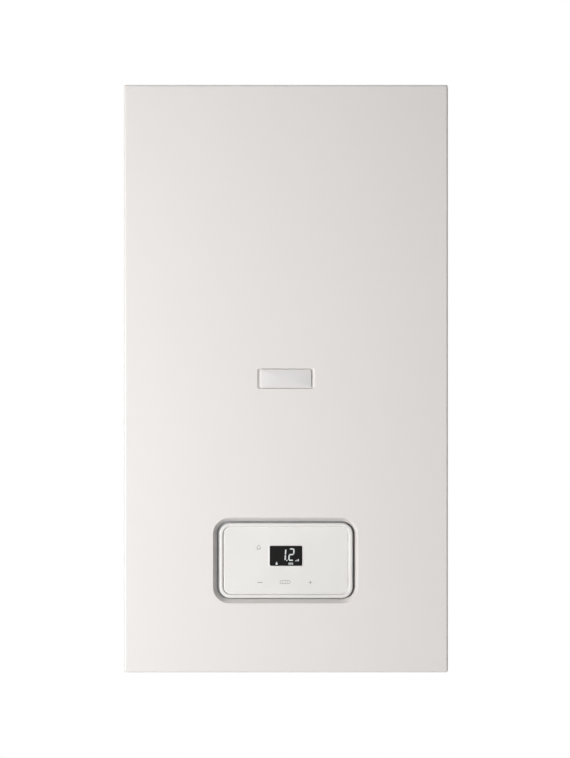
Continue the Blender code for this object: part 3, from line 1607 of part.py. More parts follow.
def gas_valve():
    """Gas valve: die-cast body, two coils, pressure regulator and its inlet and outlet bosses."""
    centre = (GAS_VALVE_ACROSS, -GAS_VALVE_FORWARD, GAS_VALVE_LEVEL)
    w, d, h = GAS_VALVE_WIDTH, GAS_VALVE_DEPTH, GAS_VALVE_HEIGHT
    body = prism(rounded_rectangle(w, h, 0.006, 3), -d / 2, d / 2)
    valve = placed("gas_valve_body", body, cast_aluminium(), centre, FACES_FRONT)
    inlet = cylinder(0.014, -GAS_BOSS, 0.004, SMALL)
    join(valve, inlet, (centre[0], centre[1], centre[2] - h / 2))
    outlet = cylinder(0.010, -0.002, GAS_OUTLET_LENGTH, SMALL)
    join(valve, outlet, (GAS_OUTLET_ACROSS, centre[1] + d / 2, FAN_LEVEL), FACES_BACK)
    start = -2 * OVERLAP
    regulator = turned(
        [(0, start), (0.010, start), (0.010, 0.010), (0.007, 0.012), (0.007, 0.016), (0, 0.016)],
        SMALL,
    )
    regulator_place = (centre[0] + w / 4, centre[1] - d / 2, centre[2] - h / 4)
    join(valve, regulator, regulator_place, FACES_FRONT)
    coils = []
    for across in (-w / 4 - 0.001, w / 4 - 0.003):
        coil = block(0.026, 0.016, 0.034, (across, -d / 2 - 0.008 + OVERLAP, h / 6))
        coils.append(coil)
    return join(valve, together(*coils), centre)


def gas_pipes():
    """Gas inlet pipe from below, and the feed from the valve to the mixing tube."""
    bottom = GAS_VALVE_LEVEL - GAS_VALVE_HEIGHT / 2 - GAS_BOSS - SEAT
    shelf = bottom - GAS_PIPE_DROP
    inlet = [
        (GAS_VALVE_ACROSS, -GAS_VALVE_FORWARD, bottom),
        (GAS_VALVE_ACROSS, -GAS_VALVE_FORWARD, shelf),
        (0.0, STUB_Y, shelf),
        (0.0, STUB_Y, STUB_TOP + SEAT),
    ]
    tube("gas_pipe", bent_path(inlet, GAS_PIPE_BEND), GAS_PIPE_RADIUS, copper())
    rear = -GAS_VALVE_FORWARD + GAS_VALVE_DEPTH / 2 + GAS_OUTLET_LENGTH + SEAT
    meet = FAN_REAR + MIXER_NOZZLE_BACK
    feed = [
        (GAS_OUTLET_ACROSS, rear, FAN_LEVEL),
        (GAS_OUTLET_ACROSS, meet, FAN_LEVEL),
        (FAN_ACROSS + MIXER_RADIUS + 0.010 + SEAT, meet, FAN_LEVEL),
    ]
    tube("gas_feed_pipe", bent_path(feed, GAS_FEED_BEND, 4), GAS_FEED_RADIUS, stainless(), 1)


def flue_duct():
    """Plastic flue from the heat exchanger's spigot up into the collar."""
    low = CHAMBER_LEVEL + CHAMBER_RADIUS + 0.006
    high = ROOF - 0.006
    body = pipe_wall(FLUE_RADIUS, FLUE_RADIUS - FLUE_WALL, low, high)
    duct = placed("flue_duct", body, white_plastic(), (0.0, -FLUE_BACK, 0.0))
    bead_low = FLUE_SPIGOT_TOP + SEAT
    bead = pipe_wall(FLUE_RADIUS + 0.004, FLUE_RADIUS - 0.0005, bead_low, FLUE_SPIGOT_TOP + 0.005)
    join(duct, bead, (0.0, -FLUE_BACK, 0.0))
    return duct


def flue_collar():
    """Concentric flue and air collar, screwed in the roof's well."""
    floor = WELL_FLOOR + SEAT
    top = ROOF
    outer, wall = COLLAR_OUTER, COLLAR_WALL
    ring = turned(
        [
            (COLLAR_FLANGE, floor),
            (COLLAR_FLANGE, floor + 0.003),
            (outer, floor + 0.003),
            (outer, top - 0.001),
            (outer - 0.001, top),
            (outer - wall, top),
            (outer - wall, floor),
        ],
        FINE,
    )
    collar = placed("flue_collar", ring, black_plastic(), (0.0, -FLUE_BACK, 0.0))
    inner = pipe_wall(FLUE_RADIUS + SEAT + 0.0025, FLUE_RADIUS + SEAT, floor - 0.014, top - 0.002)
    join(collar, inner, (0.0, -FLUE_BACK, 0.0))
    spokes = []
    for number in range(3):
        angle = 2 * math.pi * number / 3 + math.pi / 2
        first = FLUE_RADIUS + SEAT + 0.001
        last = outer - wall / 2
        spoke = block(last - first, 0.0030, 0.006, ((first + last) / 2, 0.0, floor + 0.004))
        spokes.append(swung(spoke, angle))
    join(collar, together(*spokes), (0.0, -FLUE_BACK, 0.0))
    return join(collar, collar_fittings(), (0.0, -FLUE_BACK, 0.0))


def collar_fittings():
    """Four screw heads in the collar's flange, and the caps of the two test openings."""
    ring = (COLLAR_FLANGE + COLLAR_OUTER) / 2
    floor = WELL_FLOOR + SEAT + 0.0026
    heads = []
    for number in range(4):
        angle = math.pi / 4 + math.pi / 2 * number
        head = cylinder(0.0042, 0.0, 0.0030, TINY)
        heads.append(shifted(head, ring * math.cos(angle), ring * math.sin(angle), floor))
    for angle in (math.radians(-15), math.radians(195)):
        cap = cylinder(TEST_CAP_RADIUS, 0.0, 0.0060, SMALL)
        heads.append(shifted(cap, ring * math.cos(angle), ring * math.sin(angle), floor))
    return together(*heads)


def exchanger_bracket():
    """Steel channel that holds the heat exchanger off the back panel."""
    rear = -FRAME_SHEET - SEAT
    front = -CHAMBER_REAR + SEAT
    depth = rear - front
    half, wall, foot = BRACKET_HALF, BRACKET_SHEET, BRACKET_HALF + BRACKET_FOOT
    channel = [
        (-half, 0.0),
        (half, 0.0),
        (half, depth - wall),
        (foot, depth - wall),
        (foot, depth),
        (half - wall, depth),
        (half - wall, wall),
        (-half + wall, wall),
        (-half + wall, depth),
        (-foot, depth),
        (-foot, depth - wall),
        (-half, depth - wall),
    ]
    outline = [(x, y + front) for x, y in channel]
    shape = prism(outline, BRACKET_LOW, BRACKET_LOW + BRACKET_HEIGHT)
    placed("exchanger_bracket", shape, frame_steel())


def expansion_vessel():
    """Flat steel expansion vessel: two pressed shells crimped at the seam, with a filling valve."""
    middle = VESSEL_FOOT + VESSEL_HEIGHT / 2
    half = VESSEL_THICK / 2

    def step(inwards, height):
        corner = max(0.052 - inwards, 0.012)
        width, tall = VESSEL_DEPTH - 2 * inwards, VESSEL_HEIGHT - 2 * inwards
        return at_height(rounded_rectangle(width, tall, corner, 3), height)

    loops = [
        step(0.030, -half),
        step(0.010, -half + 0.010),
        step(0.005, -0.004),
        step(0.0, -0.0025),
        step(0.0, 0.0025),
        step(0.005, 0.004),
        step(0.010, half - 0.010),
        step(0.030, half),
    ]
    across = VESSEL_INNER_SIDE + half
    back = -(VESSEL_REAR + VESSEL_DEPTH / 2)
    vessel = placed(
        "expansion_vessel", skinned(loops), vessel_paint(), (across, back, middle), SHEET_ON_RIGHT
    )
    neck = cylinder(0.008, -VESSEL_NECK, 0.010, SMALL)
    join(vessel, neck, (across, back, VESSEL_FOOT))
    top = VESSEL_FOOT + VESSEL_HEIGHT
    stem = turned([(0, -0.010), (0.006, -0.010), (0.006, 0.010), (0.0045, 0.012), (0, 0.012)], SMALL)
    join(vessel, stem, (across, back - 0.030, top))
    reach = VESSEL_REAR - FRAME_SHEET - 2 * SEAT
    foot = block(
        VESSEL_FOOT_WIDTH,
        reach + 0.004,
        VESSEL_FOOT_HEIGHT,
        (across, -VESSEL_REAR + reach / 2 - 0.002, middle),
    )
    return join(vessel, foot)


def vessel_hose():
    """Flexible hose from the vessel to the return block."""
    across = VESSEL_INNER_SIDE + VESSEL_THICK / 2
    back = -(VESSEL_REAR + VESSEL_DEPTH / 2)
    top = VESSEL_FOOT - VESSEL_NECK - SEAT
    route = [
        (across, back, top),
        (across, back, top - 0.012),
        (across + 0.016, back - 0.002, top - 0.045),
        (across + 0.020, back, top - 0.090),
        (across + 0.014, STUB_Y, RETURN_TOP + 0.040),
        (RETURN_HOSE_ACROSS, STUB_Y, RETURN_TOP + 0.014),
        (RETURN_HOSE_ACROSS, STUB_Y, RETURN_TOP + SEAT),
    ]
    tube("vessel_hose", smooth_path(route), 0.0060, rubber(), 1)


def return_block():
    """Moulded block on the right: heating return, cold inlet, tap seat and pump riser."""
    low = STUB_TOP + SEAT
    across_return = 2 * STUB_SPACING
    across_cold = STUB_SPACING
    body = cylinder(0.0165, low, RETURN_TOP - 0.004, ROUND)
    block_part = placed("return_block", body, black_plastic(), (across_return, STUB_Y, 0.0))
    cold = cylinder(0.0145, low, RETURN_TOP - 0.006, ROUND)
    join(block_part, cold, (across_cold, STUB_Y, 0.0))
    left = COLD_BOSS_ACROSS - 0.006
    right = RETURN_HOSE_ACROSS + 0.004
    main = cylinder(0.0118, left, right, SMALL + 1)
    join(block_part, main, (0.0, STUB_Y, BLOCK_LEVEL), FACES_RIGHT)
    boss = cylinder(0.0095, BLOCK_LEVEL - 0.002, RETURN_TOP, SMALL)
    join(block_part, boss, (COLD_BOSS_ACROSS, STUB_Y, 0.0))
    hose_boss = cylinder(0.0085, BLOCK_LEVEL - 0.001, RETURN_TOP, SMALL)
    join(block_part, hose_boss, (RETURN_HOSE_ACROSS, STUB_Y, 0.0))
    riser = cylinder(0.0140, BLOCK_LEVEL - 0.006, PUMP_LEVEL - PUMP_RADIUS - 0.006 - SEAT, SMALL)
    join(block_part, riser, (PUMP_ACROSS, PUMP_MIDDLE, 0.0))
    bridge = cylinder(0.0105, 0.0, PUMP_MIDDLE - STUB_Y, SMALL - 1)
    join(block_part, bridge, (PUMP_ACROSS, PUMP_MIDDLE, BLOCK_LEVEL), FACES_FRONT)
    tap = cylinder(0.0100, low + 0.0012, BLOCK_LEVEL + 0.003, SMALL)
    join(block_part, tap, (TAP_ACROSS, STUB_Y, 0.0))
    bore = cylinder(0.0046, low - 0.010, BLOCK_LEVEL - 0.006, SMALL)
    cut(block_part, bore, (TAP_ACROSS, STUB_Y, 0.0))
    return block_part


def flow_block():
    """Moulded block on the left with the diverter valve's bore and the plate exchanger's port."""
    across = -2 * STUB_SPACING
    low = STUB_TOP + SEAT
    outer = DIVERTER_BORE + DIVERTER_WALL
    body = turned(
        [
            (0, low),
            (outer, low),
            (outer, DIVERTER_TOP),
            (DIVERTER_BORE, DIVERTER_TOP),
            (DIVERTER_BORE, DIVERTER_FLOOR),
            (0, DIVERTER_FLOOR),
        ],
        ROUND,
    )
    part = placed("flow_block", body, black_plastic(), (across, STUB_Y, 0.0))
    chamber = cylinder(0.0150, FLOW_PORT_LEVEL - 0.034, FLOW_PORT_LEVEL, SMALL)
    join(part, chamber, (across, -WATER_PORT_BACK, 0.0))
    reach = -WATER_PORT_BACK - STUB_Y
    link = cylinder(0.0105, DIVERTER_BORE + 0.002, reach, SMALL)
    join(part, link, (across, STUB_Y, FLOW_PORT_LEVEL - 0.027), FACES_BACK)
    branch = cylinder(0.0100, 0.004, PLATE_LEFT - SEAT - across, SMALL)
    join(part, branch, (across, -WATER_PORT_BACK, PLATE_LEVEL + 0.014), FACES_RIGHT)
    return part


def diverter():
    """Stepper motor on the flow block, and the valve stem that it lifts and lowers."""
    across = -2 * STUB_SPACING
    base = DIVERTER_TOP + SEAT
    body = prism(rounded_rectangle(0.042, 0.038, 0.005, 3), base + 0.006, base + 0.044)
    motor = placed("diverter_motor", body, grey_plastic(), (across, STUB_Y, 0.0))
    collar = cylinder(DIVERTER_BORE + DIVERTER_WALL, base, base + 0.008)
    join(motor, collar, (across, STUB_Y, 0.0))
    cut(motor, cylinder(0.0036, base - 0.010, base + 0.024, SMALL), (across, STUB_Y, 0.0))
    seat_low = DIVERTER_FLOOR + 0.012
    disc = DIVERTER_BORE - 0.0012
    stem = turned(
        [
            (0, seat_low),
            (disc, seat_low),
            (disc, seat_low + 0.006),
            (0.0030, seat_low + 0.008),
            (0.0030, seat_low + 0.036),
            (disc, seat_low + 0.038),
            (disc, seat_low + 0.044),
            (0.0030, seat_low + 0.046),
            (0.0030, base + 0.014),
            (0, base + 0.014),
        ],
        SMALL,
    )
    placed("diverter_stem", stem, brass(), (across, STUB_Y, 0.0))


def pump():
    """Circulation pump: moulded volute, canned motor with its terminal box, and the rotor."""
    r, wall, depth = PUMP_RADIUS, PUMP_WALL, PUMP_DEPTH
    profile = [
        (0, 0),
        (r - 0.004, 0),
        (r, 0.004),
        (r, depth - 0.006),
        (r + 0.004, depth - 0.006),
        (r + 0.004, depth),
        (r - wall, depth),
        (r - wall, depth - PUMP_CAVITY),
        (0, depth - PUMP_CAVITY),
    ]
    body = placed(
        "pump_volute",
        turned(profile, ROUND),
        black_plastic(),
        (PUMP_ACROSS, -PUMP_REAR, PUMP_LEVEL),
        FACES_FRONT,
    )
    foot = cylinder(0.0150, -r - 0.006, -r + 0.010, SMALL)
    join(body, foot, (PUMP_ACROSS, PUMP_MIDDLE, PUMP_LEVEL))
    outlet = cylinder(0.0130, 0.0, RETURN_PORT_LEVEL - PUMP_LEVEL, SMALL)
    join(body, outlet, (RETURN_PORT_ACROSS, -WATER_PORT_BACK, PUMP_LEVEL))
    link = cylinder(0.0100, r - 0.014, PUMP_ACROSS - PLATE_RIGHT - SEAT, SMALL)
    join(body, link, (PUMP_ACROSS, -WATER_PORT_BACK, PLATE_LEVEL), FACES_LEFT)
    vent_neck = cylinder(0.0080, 0.0, AIR_VENT_LEVEL - PUMP_LEVEL, SMALL)
    join(body, vent_neck, (AIR_VENT_ACROSS, -WATER_PORT_BACK, PUMP_LEVEL))
    join(body, air_vent(), (AIR_VENT_ACROSS, -WATER_PORT_BACK, AIR_VENT_LEVEL))
    cut(
        body,
        cylinder(r - wall - 0.0006, depth - PUMP_CAVITY + 0.0006, depth + 0.002, ROUND),
        (PUMP_ACROSS, -PUMP_REAR, PUMP_LEVEL),
        FACES_FRONT,
    )
    front = PUMP_FRONT - SEAT
    motor_r = PUMP_MOTOR_RADIUS
    length = PUMP_MOTOR_DEPTH
    bore = PUMP_SHAFT + SHAFT_PLAY
    shape = turned(
        [
            (0, length),
            (motor_r - 0.010, length),
            (motor_r - 0.004, length - 0.004),
            (motor_r - 0.004, 0.012),
            (motor_r, 0.010),
            (motor_r + 0.006, 0.006),
            (motor_r + 0.006, 0),
            (bore, 0),
            (bore, length - 0.012),
            (0, length - 0.012),
        ],
        ROUND,
    )
    place = (PUMP_ACROSS, front, PUMP_LEVEL)
    motor = placed("pump_motor", shape, grey_plastic(), place, FACES_FRONT)
    terminal_outline = rounded_rectangle(0.050, 0.040, 0.006, 3, (0.0, 0.004))
    terminal = prism(terminal_outline, length - 0.026, length + 0.004)
    join(motor, terminal, place, FACES_FRONT)
    cut(motor, cylinder(bore, -0.004, length - 0.030, SMALL), place, FACES_FRONT)
    rotor = turned(
        [
            (0, -PUMP_CAVITY + 0.004),
            (0.010, -PUMP_CAVITY + 0.004),
            (0.012, -PUMP_CAVITY + 0.010),
            (r - wall - 0.003, -0.010),
            (r - wall - 0.003, -0.005),
            (PUMP_SHAFT, -0.003),
            (PUMP_SHAFT, length - 0.034),
            (0, length - 0.034),
        ],
        ROUND,
    )
    placed("pump_rotor", rotor, stainless(), place, FACES_FRONT)


def air_vent():
    """Automatic air vent, screwed into the neck on the pump."""
    return turned(
        [
            (0, -OVERLAP),
            (0.0120, -OVERLAP),
            (0.0120, 0.022),
            (0.0070, 0.026),
            (0.0070, 0.034),
            (0, 0.034),
        ],
        SMALL,
    )


def plate_exchanger():
    """Brazed plate exchanger: end plates and a stack of waisted plates between them."""
    width = PLATE_RIGHT - PLATE_LEFT
    loops = []
    pitch = PLATE_DEPTH / PLATE_COUNT
    for number in range(PLATE_COUNT):
        for inset, share in ((0.0, 0.05), (0.0, 0.45), (0.0022, 0.55), (0.0022, 0.95)):
            outline = rounded_rectangle(width - 2 * inset, PLATE_HEIGHT - 2 * inset, 0.016, 2)
            loops.append(at_height(outline, pitch * (number + share)))
    loops.append(at_height(rounded_rectangle(width, PLATE_HEIGHT, 0.016, 2), PLATE_DEPTH))
    return placed(
        "plate_exchanger",
        skinned(loops),
        stainless(),
        ((PLATE_LEFT + PLATE_RIGHT) / 2, -PLATE_REAR, PLATE_LEVEL),
        FACES_FRONT,
    )


def water_pipes():
    """Copper flow, return, hot-water and cold-water pipes."""
    port = water_port_level() - WATER_PORT_LENGTH - SEAT
    flow_low = FLOW_PORT_LEVEL + 0.097
    flow = [
        (-WATER_PORT_ACROSS, -WATER_PORT_BACK, port),
        (-WATER_PORT_ACROSS, -WATER_PORT_BACK, flow_low + (port - flow_low) * 0.543),
        (-2 * STUB_SPACING, -WATER_PORT_BACK, flow_low),
        (-2 * STUB_SPACING, -WATER_PORT_BACK, FLOW_PORT_LEVEL + SEAT),
    ]
    tube("flow_pipe", bent_path(flow, 0.030, 3), FLOW_PIPE_RADIUS, copper())
    back_low = RETURN_PORT_LEVEL + 0.086
    back = [
        (WATER_PORT_ACROSS, -WATER_PORT_BACK, port),
        (WATER_PORT_ACROSS, -WATER_PORT_BACK, back_low + (port - back_low) * 0.376),
        (RETURN_PORT_ACROSS, -WATER_PORT_BACK, back_low),
        (RETURN_PORT_ACROSS, -WATER_PORT_BACK, RETURN_PORT_LEVEL + SEAT),
    ]
    tube("return_pipe", bent_path(back, 0.030, 3), FLOW_PIPE_RADIUS, copper())
    plate_front = -(PLATE_REAR + PLATE_DEPTH) - SEAT
    level = PLATE_LEVEL - PLATE_HEIGHT / 4
    hot = [
        (-STUB_SPACING, STUB_Y, STUB_TOP + SEAT),
        (-STUB_SPACING, STUB_Y, level),
        (-STUB_SPACING, plate_front, level),
    ]
    tube("hot_water_pipe", bent_path(hot, 0.014, 4), 0.0075, copper())
    cold = [
        (COLD_BOSS_ACROSS, STUB_Y, RETURN_TOP + SEAT),
        (COLD_BOSS_ACROSS, STUB_Y, level),
        (COLD_BOSS_ACROSS, plate_front, level),
    ]
    tube("cold_water_pipe", bent_path(cold, 0.014, 4), 0.0075, copper())


def connection_stubs():
    """The five threaded connections through the deck, each its own piece."""
    names = (
        "heating_flow_stub",
        "hot_water_stub",
        "gas_stub",
        "cold_water_stub",
        "heating_return_stub",
    )
    for name, (across, radius) in zip(names, stub_places()):
        bore = STUB_BORE_LARGE if radius == STUB_RADIUS_LARGE else STUB_BORE_SMALL
        low = DECK_UNDER - STUB_LENGTH
        profile = [
            (bore, low),
            (radius - 0.001, low),
            (radius, low + 0.001),
            (radius, DECK + SEAT),
            (radius + 0.004, DECK + SEAT),
            (radius + 0.004, STUB_TOP),
            (bore, STUB_TOP),
        ]
        placed(name, turned(profile, SMALL + 2), brass(), (across, STUB_Y, 0.0))


def siphon():
    """Condensate trap hung through the deck, with its ribbed cup, and the hose that feeds it."""
    r = SIPHON_RADIUS
    neck = SIPHON_TOP
    cup = DECK_UNDER - 0.004
    profile = [(0, neck), (0.0085, neck), (0.0085, neck - 0.012), (r - 0.006, neck - 0.016)]
    profile += [(r - 0.001, neck - 0.022), (r - 0.001, DECK + 0.008), (r + 0.005, DECK + 0.006)]
    profile += [(r + 0.005, DECK + SEAT), (r, DECK + SEAT), (r, cup)]
    profile += [(r - 0.002, cup - 0.002), (r - 0.002, SIPHON_FOOT + 0.008)]
    profile += [(r - 0.008, SIPHON_FOOT), (0, SIPHON_FOOT)]
    placed(
        "condensate_trap",
        turned(profile[::-1], ROUND),
        grey_plastic(),
        (SIPHON_ACROSS, -SIPHON_BACK, 0.0),
    )
    start = CHAMBER_LEVEL - CHAMBER_RADIUS - DRAIN_LENGTH - SEAT
    forward = SIPHON_BACK - DRAIN_BACK
    route = [
        (0.0, -DRAIN_BACK, start),
        (0.0, -DRAIN_BACK, start - 0.025),
        (SIPHON_ACROSS * 0.17, -DRAIN_BACK - forward * 0.20, SIPHON_TOP + 0.116),
        (SIPHON_ACROSS * 0.74, -DRAIN_BACK - forward * 0.656, SIPHON_TOP + 0.071),
        (SIPHON_ACROSS, -SIPHON_BACK, SIPHON_TOP + 0.036),
        (SIPHON_ACROSS, -SIPHON_BACK, SIPHON_TOP + SEAT),
    ]
    tube("condensate_hose", smooth_path(route), HOSE_RADIUS, rubber(), 1)


def relief_valve(flow_part):
    """Safety valve on the front of the flow block, with its red turning cap."""
    across = -2 * STUB_SPACING
    face = STUB_Y - DIVERTER_BORE - DIVERTER_WALL
    level = DIVERTER_FLOOR - 0.006
    body = turned(
        [
            (0, -0.004),
            (0.0080, -0.004),
            (0.0080, 0.010),
            (0.0110, 0.011),
            (0.0110, 0.024),
            (0.0045, 0.025),
            (0.0045, 0.034),
            (0, 0.034),
        ],
        SMALL,
    )
    join(flow_part, body, (across, face, level), FACES_FRONT)
    cap = knob(0.0048, 0.0130, 0.0256, 0.0345, 0.046)
    obj = placed("relief_cap", cap, red_plastic(), (across, face, level), FACES_FRONT)
    grip = block(0.0050, 0.0240, 0.010, (0.0, 0.0, 0.049))
    join(obj, grip, (across, face, level), FACES_FRONT)


def knob(bore, radius, low, floor, high):
    """A round cap with a blind bore from below."""
    return turned(
        [
            (0, high),
            (radius * 0.86, high),
            (radius, high - 0.003),
            (radius, low),
            (bore, low),
            (bore, floor),
            (0, floor),
        ],
        SMALL,
    )


def filling_tap():
    """Filling tap under the deck: its spindle runs up into the return block."""
    top = DECK + 0.014
    low = DECK_UNDER - 0.030
    handle = turned(
        [
            (0, low),
            (0.0110, low),
            (0.0125, low + 0.002),
            (0.0125, low + 0.014),
            (0.0100, low + 0.016),
            (0.0040, low + 0.017),
            (0.0040, top),
            (0, top),
        ],
        SMALL,
    )
    tap = placed("filling_tap", handle, black_plastic(), (TAP_ACROSS, STUB_Y, 0.0))
    wing = block(0.0060, 0.0340, 0.012, (0.0, 0.0, low + 0.008))
    join(tap, wing, (TAP_ACROSS, STUB_Y, 0.0))
    return tap


def wiring():
    """Wiring loom up the left side to the ignition transformer, and the ignition lead."""
    x = -SIDE + SHEET + 0.012
    front = FRAME_FRONT + SHEET + 0.026
    rise = BOX_LOW - 0.004 + SEAT
    bottom = IGNITER_LEVEL - IGNITER_SIZE[2] / 2 - SEAT
    igniter_x = -SIDE + SHEET + SEAT + IGNITER_SIZE[0] / 2
    route = [
        (x, FRAME_FRONT + SHEET + 0.012, rise),
        (x, FRAME_FRONT + SHEET + 0.012, rise + 0.030),
        (x - 0.001, front, BOX_LOW + 0.145),
        (x - 0.001, front + 0.010, BOX_LOW + 0.245),
        (x, -IGNITER_BACK - 0.050, -0.030),
        (igniter_x, -IGNITER_BACK, bottom - 0.020),
        (igniter_x, -IGNITER_BACK, bottom),
    ]
    tube("wiring_loom", smooth_path(route), 0.0050, rubber(), 1)
    tube("ignition_lead", smooth_path(ignition_lead_route()), 0.0034, red_plastic(), 1)


def build():
    clear_scene()
    front_cover()
    badge()
    side_panels()
    back_panel()
    hanging_rail()
    top_plate()
    bottom_plate()
    crossbar()
    cover_screw()
    cover_seal()
    control_box()
    control_lid()
    control_fascia()
    display()
    main_board()
    chamber_shell()
    exchanger_coil()
    burner()
    door_gasket()
    burner_door()
    ignition()
    fan_housing()
    fan_impeller()
    fan_motor()
    mixing_tube()
    mixture_elbow()
    gas_valve()
    gas_pipes()
    flue_duct()
    flue_collar()
    exchanger_bracket()
    expansion_vessel()
    vessel_hose()
    return_block()
    flow_part = flow_block()
    diverter()
    pump()
    plate_exchanger()
    water_pipes()
    connection_stubs()
    siphon()
    relief_valve(flow_part)
    filling_tap()
    wiring()


build()
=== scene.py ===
"""Wall-hung gas boiler: the visual model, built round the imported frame.

Metres, in the frame's own axes: X to the viewer's right, Y back to the wall, Z up. Every new
surface is worked out with numpy as whole arrays and put into a mesh at its place.
"""

import json
import sys

import bpy
import numpy as np
from bpy.props import FloatProperty, FloatVectorProperty, IntProperty, PointerProperty
from bpy.types import Operator, Panel, PropertyGroup
from mathutils import Vector
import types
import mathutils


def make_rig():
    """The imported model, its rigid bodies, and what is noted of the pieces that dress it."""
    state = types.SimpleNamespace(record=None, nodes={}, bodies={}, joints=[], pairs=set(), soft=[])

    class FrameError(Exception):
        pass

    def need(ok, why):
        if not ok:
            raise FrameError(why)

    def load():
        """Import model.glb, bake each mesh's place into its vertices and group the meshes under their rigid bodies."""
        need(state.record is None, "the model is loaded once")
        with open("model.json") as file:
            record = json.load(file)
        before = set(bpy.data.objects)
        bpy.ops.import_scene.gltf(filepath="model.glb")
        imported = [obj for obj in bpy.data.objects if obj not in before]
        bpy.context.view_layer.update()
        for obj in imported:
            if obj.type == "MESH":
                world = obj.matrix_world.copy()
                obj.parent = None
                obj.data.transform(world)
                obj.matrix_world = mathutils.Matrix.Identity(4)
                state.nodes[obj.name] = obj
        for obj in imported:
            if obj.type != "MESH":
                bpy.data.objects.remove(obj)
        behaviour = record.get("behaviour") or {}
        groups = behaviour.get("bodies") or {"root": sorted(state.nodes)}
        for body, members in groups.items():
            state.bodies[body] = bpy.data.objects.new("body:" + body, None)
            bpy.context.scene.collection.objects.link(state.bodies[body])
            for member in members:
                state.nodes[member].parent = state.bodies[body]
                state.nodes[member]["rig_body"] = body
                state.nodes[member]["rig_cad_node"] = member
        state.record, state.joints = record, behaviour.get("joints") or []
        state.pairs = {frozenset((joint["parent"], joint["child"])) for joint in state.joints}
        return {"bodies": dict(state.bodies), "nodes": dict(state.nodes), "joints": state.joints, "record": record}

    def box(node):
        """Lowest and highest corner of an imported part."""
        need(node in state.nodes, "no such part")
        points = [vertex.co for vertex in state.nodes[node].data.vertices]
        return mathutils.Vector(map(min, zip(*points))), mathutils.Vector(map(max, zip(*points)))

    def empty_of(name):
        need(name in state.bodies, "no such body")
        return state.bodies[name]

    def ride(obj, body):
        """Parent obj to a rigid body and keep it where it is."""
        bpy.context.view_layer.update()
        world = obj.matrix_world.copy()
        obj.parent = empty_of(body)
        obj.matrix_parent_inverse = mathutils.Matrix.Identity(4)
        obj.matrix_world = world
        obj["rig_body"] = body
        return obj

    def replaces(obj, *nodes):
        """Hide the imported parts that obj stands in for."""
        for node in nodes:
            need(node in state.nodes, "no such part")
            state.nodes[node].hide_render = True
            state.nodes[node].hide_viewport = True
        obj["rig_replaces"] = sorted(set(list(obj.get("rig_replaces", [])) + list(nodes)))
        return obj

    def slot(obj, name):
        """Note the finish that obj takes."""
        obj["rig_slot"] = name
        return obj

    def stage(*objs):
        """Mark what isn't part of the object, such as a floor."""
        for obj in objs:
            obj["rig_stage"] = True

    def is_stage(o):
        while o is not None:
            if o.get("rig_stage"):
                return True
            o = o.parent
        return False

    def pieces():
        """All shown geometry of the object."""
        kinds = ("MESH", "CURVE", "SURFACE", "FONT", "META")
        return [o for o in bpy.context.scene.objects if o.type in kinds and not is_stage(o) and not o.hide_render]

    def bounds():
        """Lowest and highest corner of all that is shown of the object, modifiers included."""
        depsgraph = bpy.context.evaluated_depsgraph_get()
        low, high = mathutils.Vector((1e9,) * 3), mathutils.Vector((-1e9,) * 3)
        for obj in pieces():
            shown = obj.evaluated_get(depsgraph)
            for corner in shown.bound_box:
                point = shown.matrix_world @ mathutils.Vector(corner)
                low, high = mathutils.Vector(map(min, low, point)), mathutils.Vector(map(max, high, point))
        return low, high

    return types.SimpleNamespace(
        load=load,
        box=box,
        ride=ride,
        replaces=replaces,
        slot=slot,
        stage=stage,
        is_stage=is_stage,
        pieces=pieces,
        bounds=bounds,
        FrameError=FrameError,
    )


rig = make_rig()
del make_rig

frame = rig.load()
CAD_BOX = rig.bounds()

bl_info = {
    "name": "Wall-hung gas boiler",
    "version": (1, 0, 0),
    "blender": (4, 5, 0),
    "location": "View3D > Sidebar > Boiler",
    "description": "Builds the boiler's casing, control panel, inner unit and studio",
    "category": "Object",
}

# Rows: where a piece's own X, Y and Z point once it is turned into place
AXES = {
    "up": ((1, 0, 0), (0, 1, 0), (0, 0, 1)),
    "down": ((1, 0, 0), (0, -1, 0), (0, 0, -1)),
    "front": ((1, 0, 0), (0, 0, 1), (0, -1, 0)),
    "back": ((1, 0, 0), (0, 0, -1), (0, 1, 0)),
    "right": ((0, 0, -1), (0, 1, 0), (1, 0, 0)),
    "left": ((0, 0, 1), (0, 1, 0), (-1, 0, 0)),
}


# Arrays and meshes


def corners_of(node):
    """A frame node's lowest and highest corners, as arrays."""
    low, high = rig.box(node)
    return np.array(low), np.array(high)


def middle_of(node):
    """The middle of a frame node's box."""
    low, high = corners_of(node)
    return (low + high) / 2


def grid_quads(rows, columns, closed):
    """Faces between neighbouring rows of a grid whose points are numbered row by row."""
    row = np.arange(rows - 1)[:, None] * columns
    here = np.arange(columns if closed else columns - 1)
    after = (here + 1) % columns
    return np.stack(
        [row + here, row + after, row + after + columns, row + here + columns], axis=-1
    ).reshape(-1, 4)


def sheet(grid, closed=True):
    """A grid of points (rows, columns, 3) with the faces between them."""
    rows, columns = grid.shape[:2]
    return grid.reshape(-1, 3), grid_quads(rows, columns, closed)


def shut(grid):
    """A closed skin: the grid's first and last rows are drawn in to their own middles."""
    first = np.broadcast_to(grid[0].mean(axis=0), grid[0].shape)
    last = np.broadcast_to(grid[-1].mean(axis=0), grid[-1].shape)
    return sheet(np.concatenate([first[None], grid, last[None]]))


def together(*parts):
    """Several (points, faces) pairs as one pair."""
    points, faces, start = [], [], 0
    for part_points, part_faces in parts:
        points.append(part_points)
        faces.append(part_faces + start)
        start += len(part_points)
    return np.concatenate(points), np.concatenate(faces)


def moved(part, centre=(0, 0, 0), axes="up"):
    """A part turned so that its own axes lie along the named ones, then moved to its centre."""
    return part[0] @ np.array(AXES[axes], float) + np.array(centre, float), part[1]


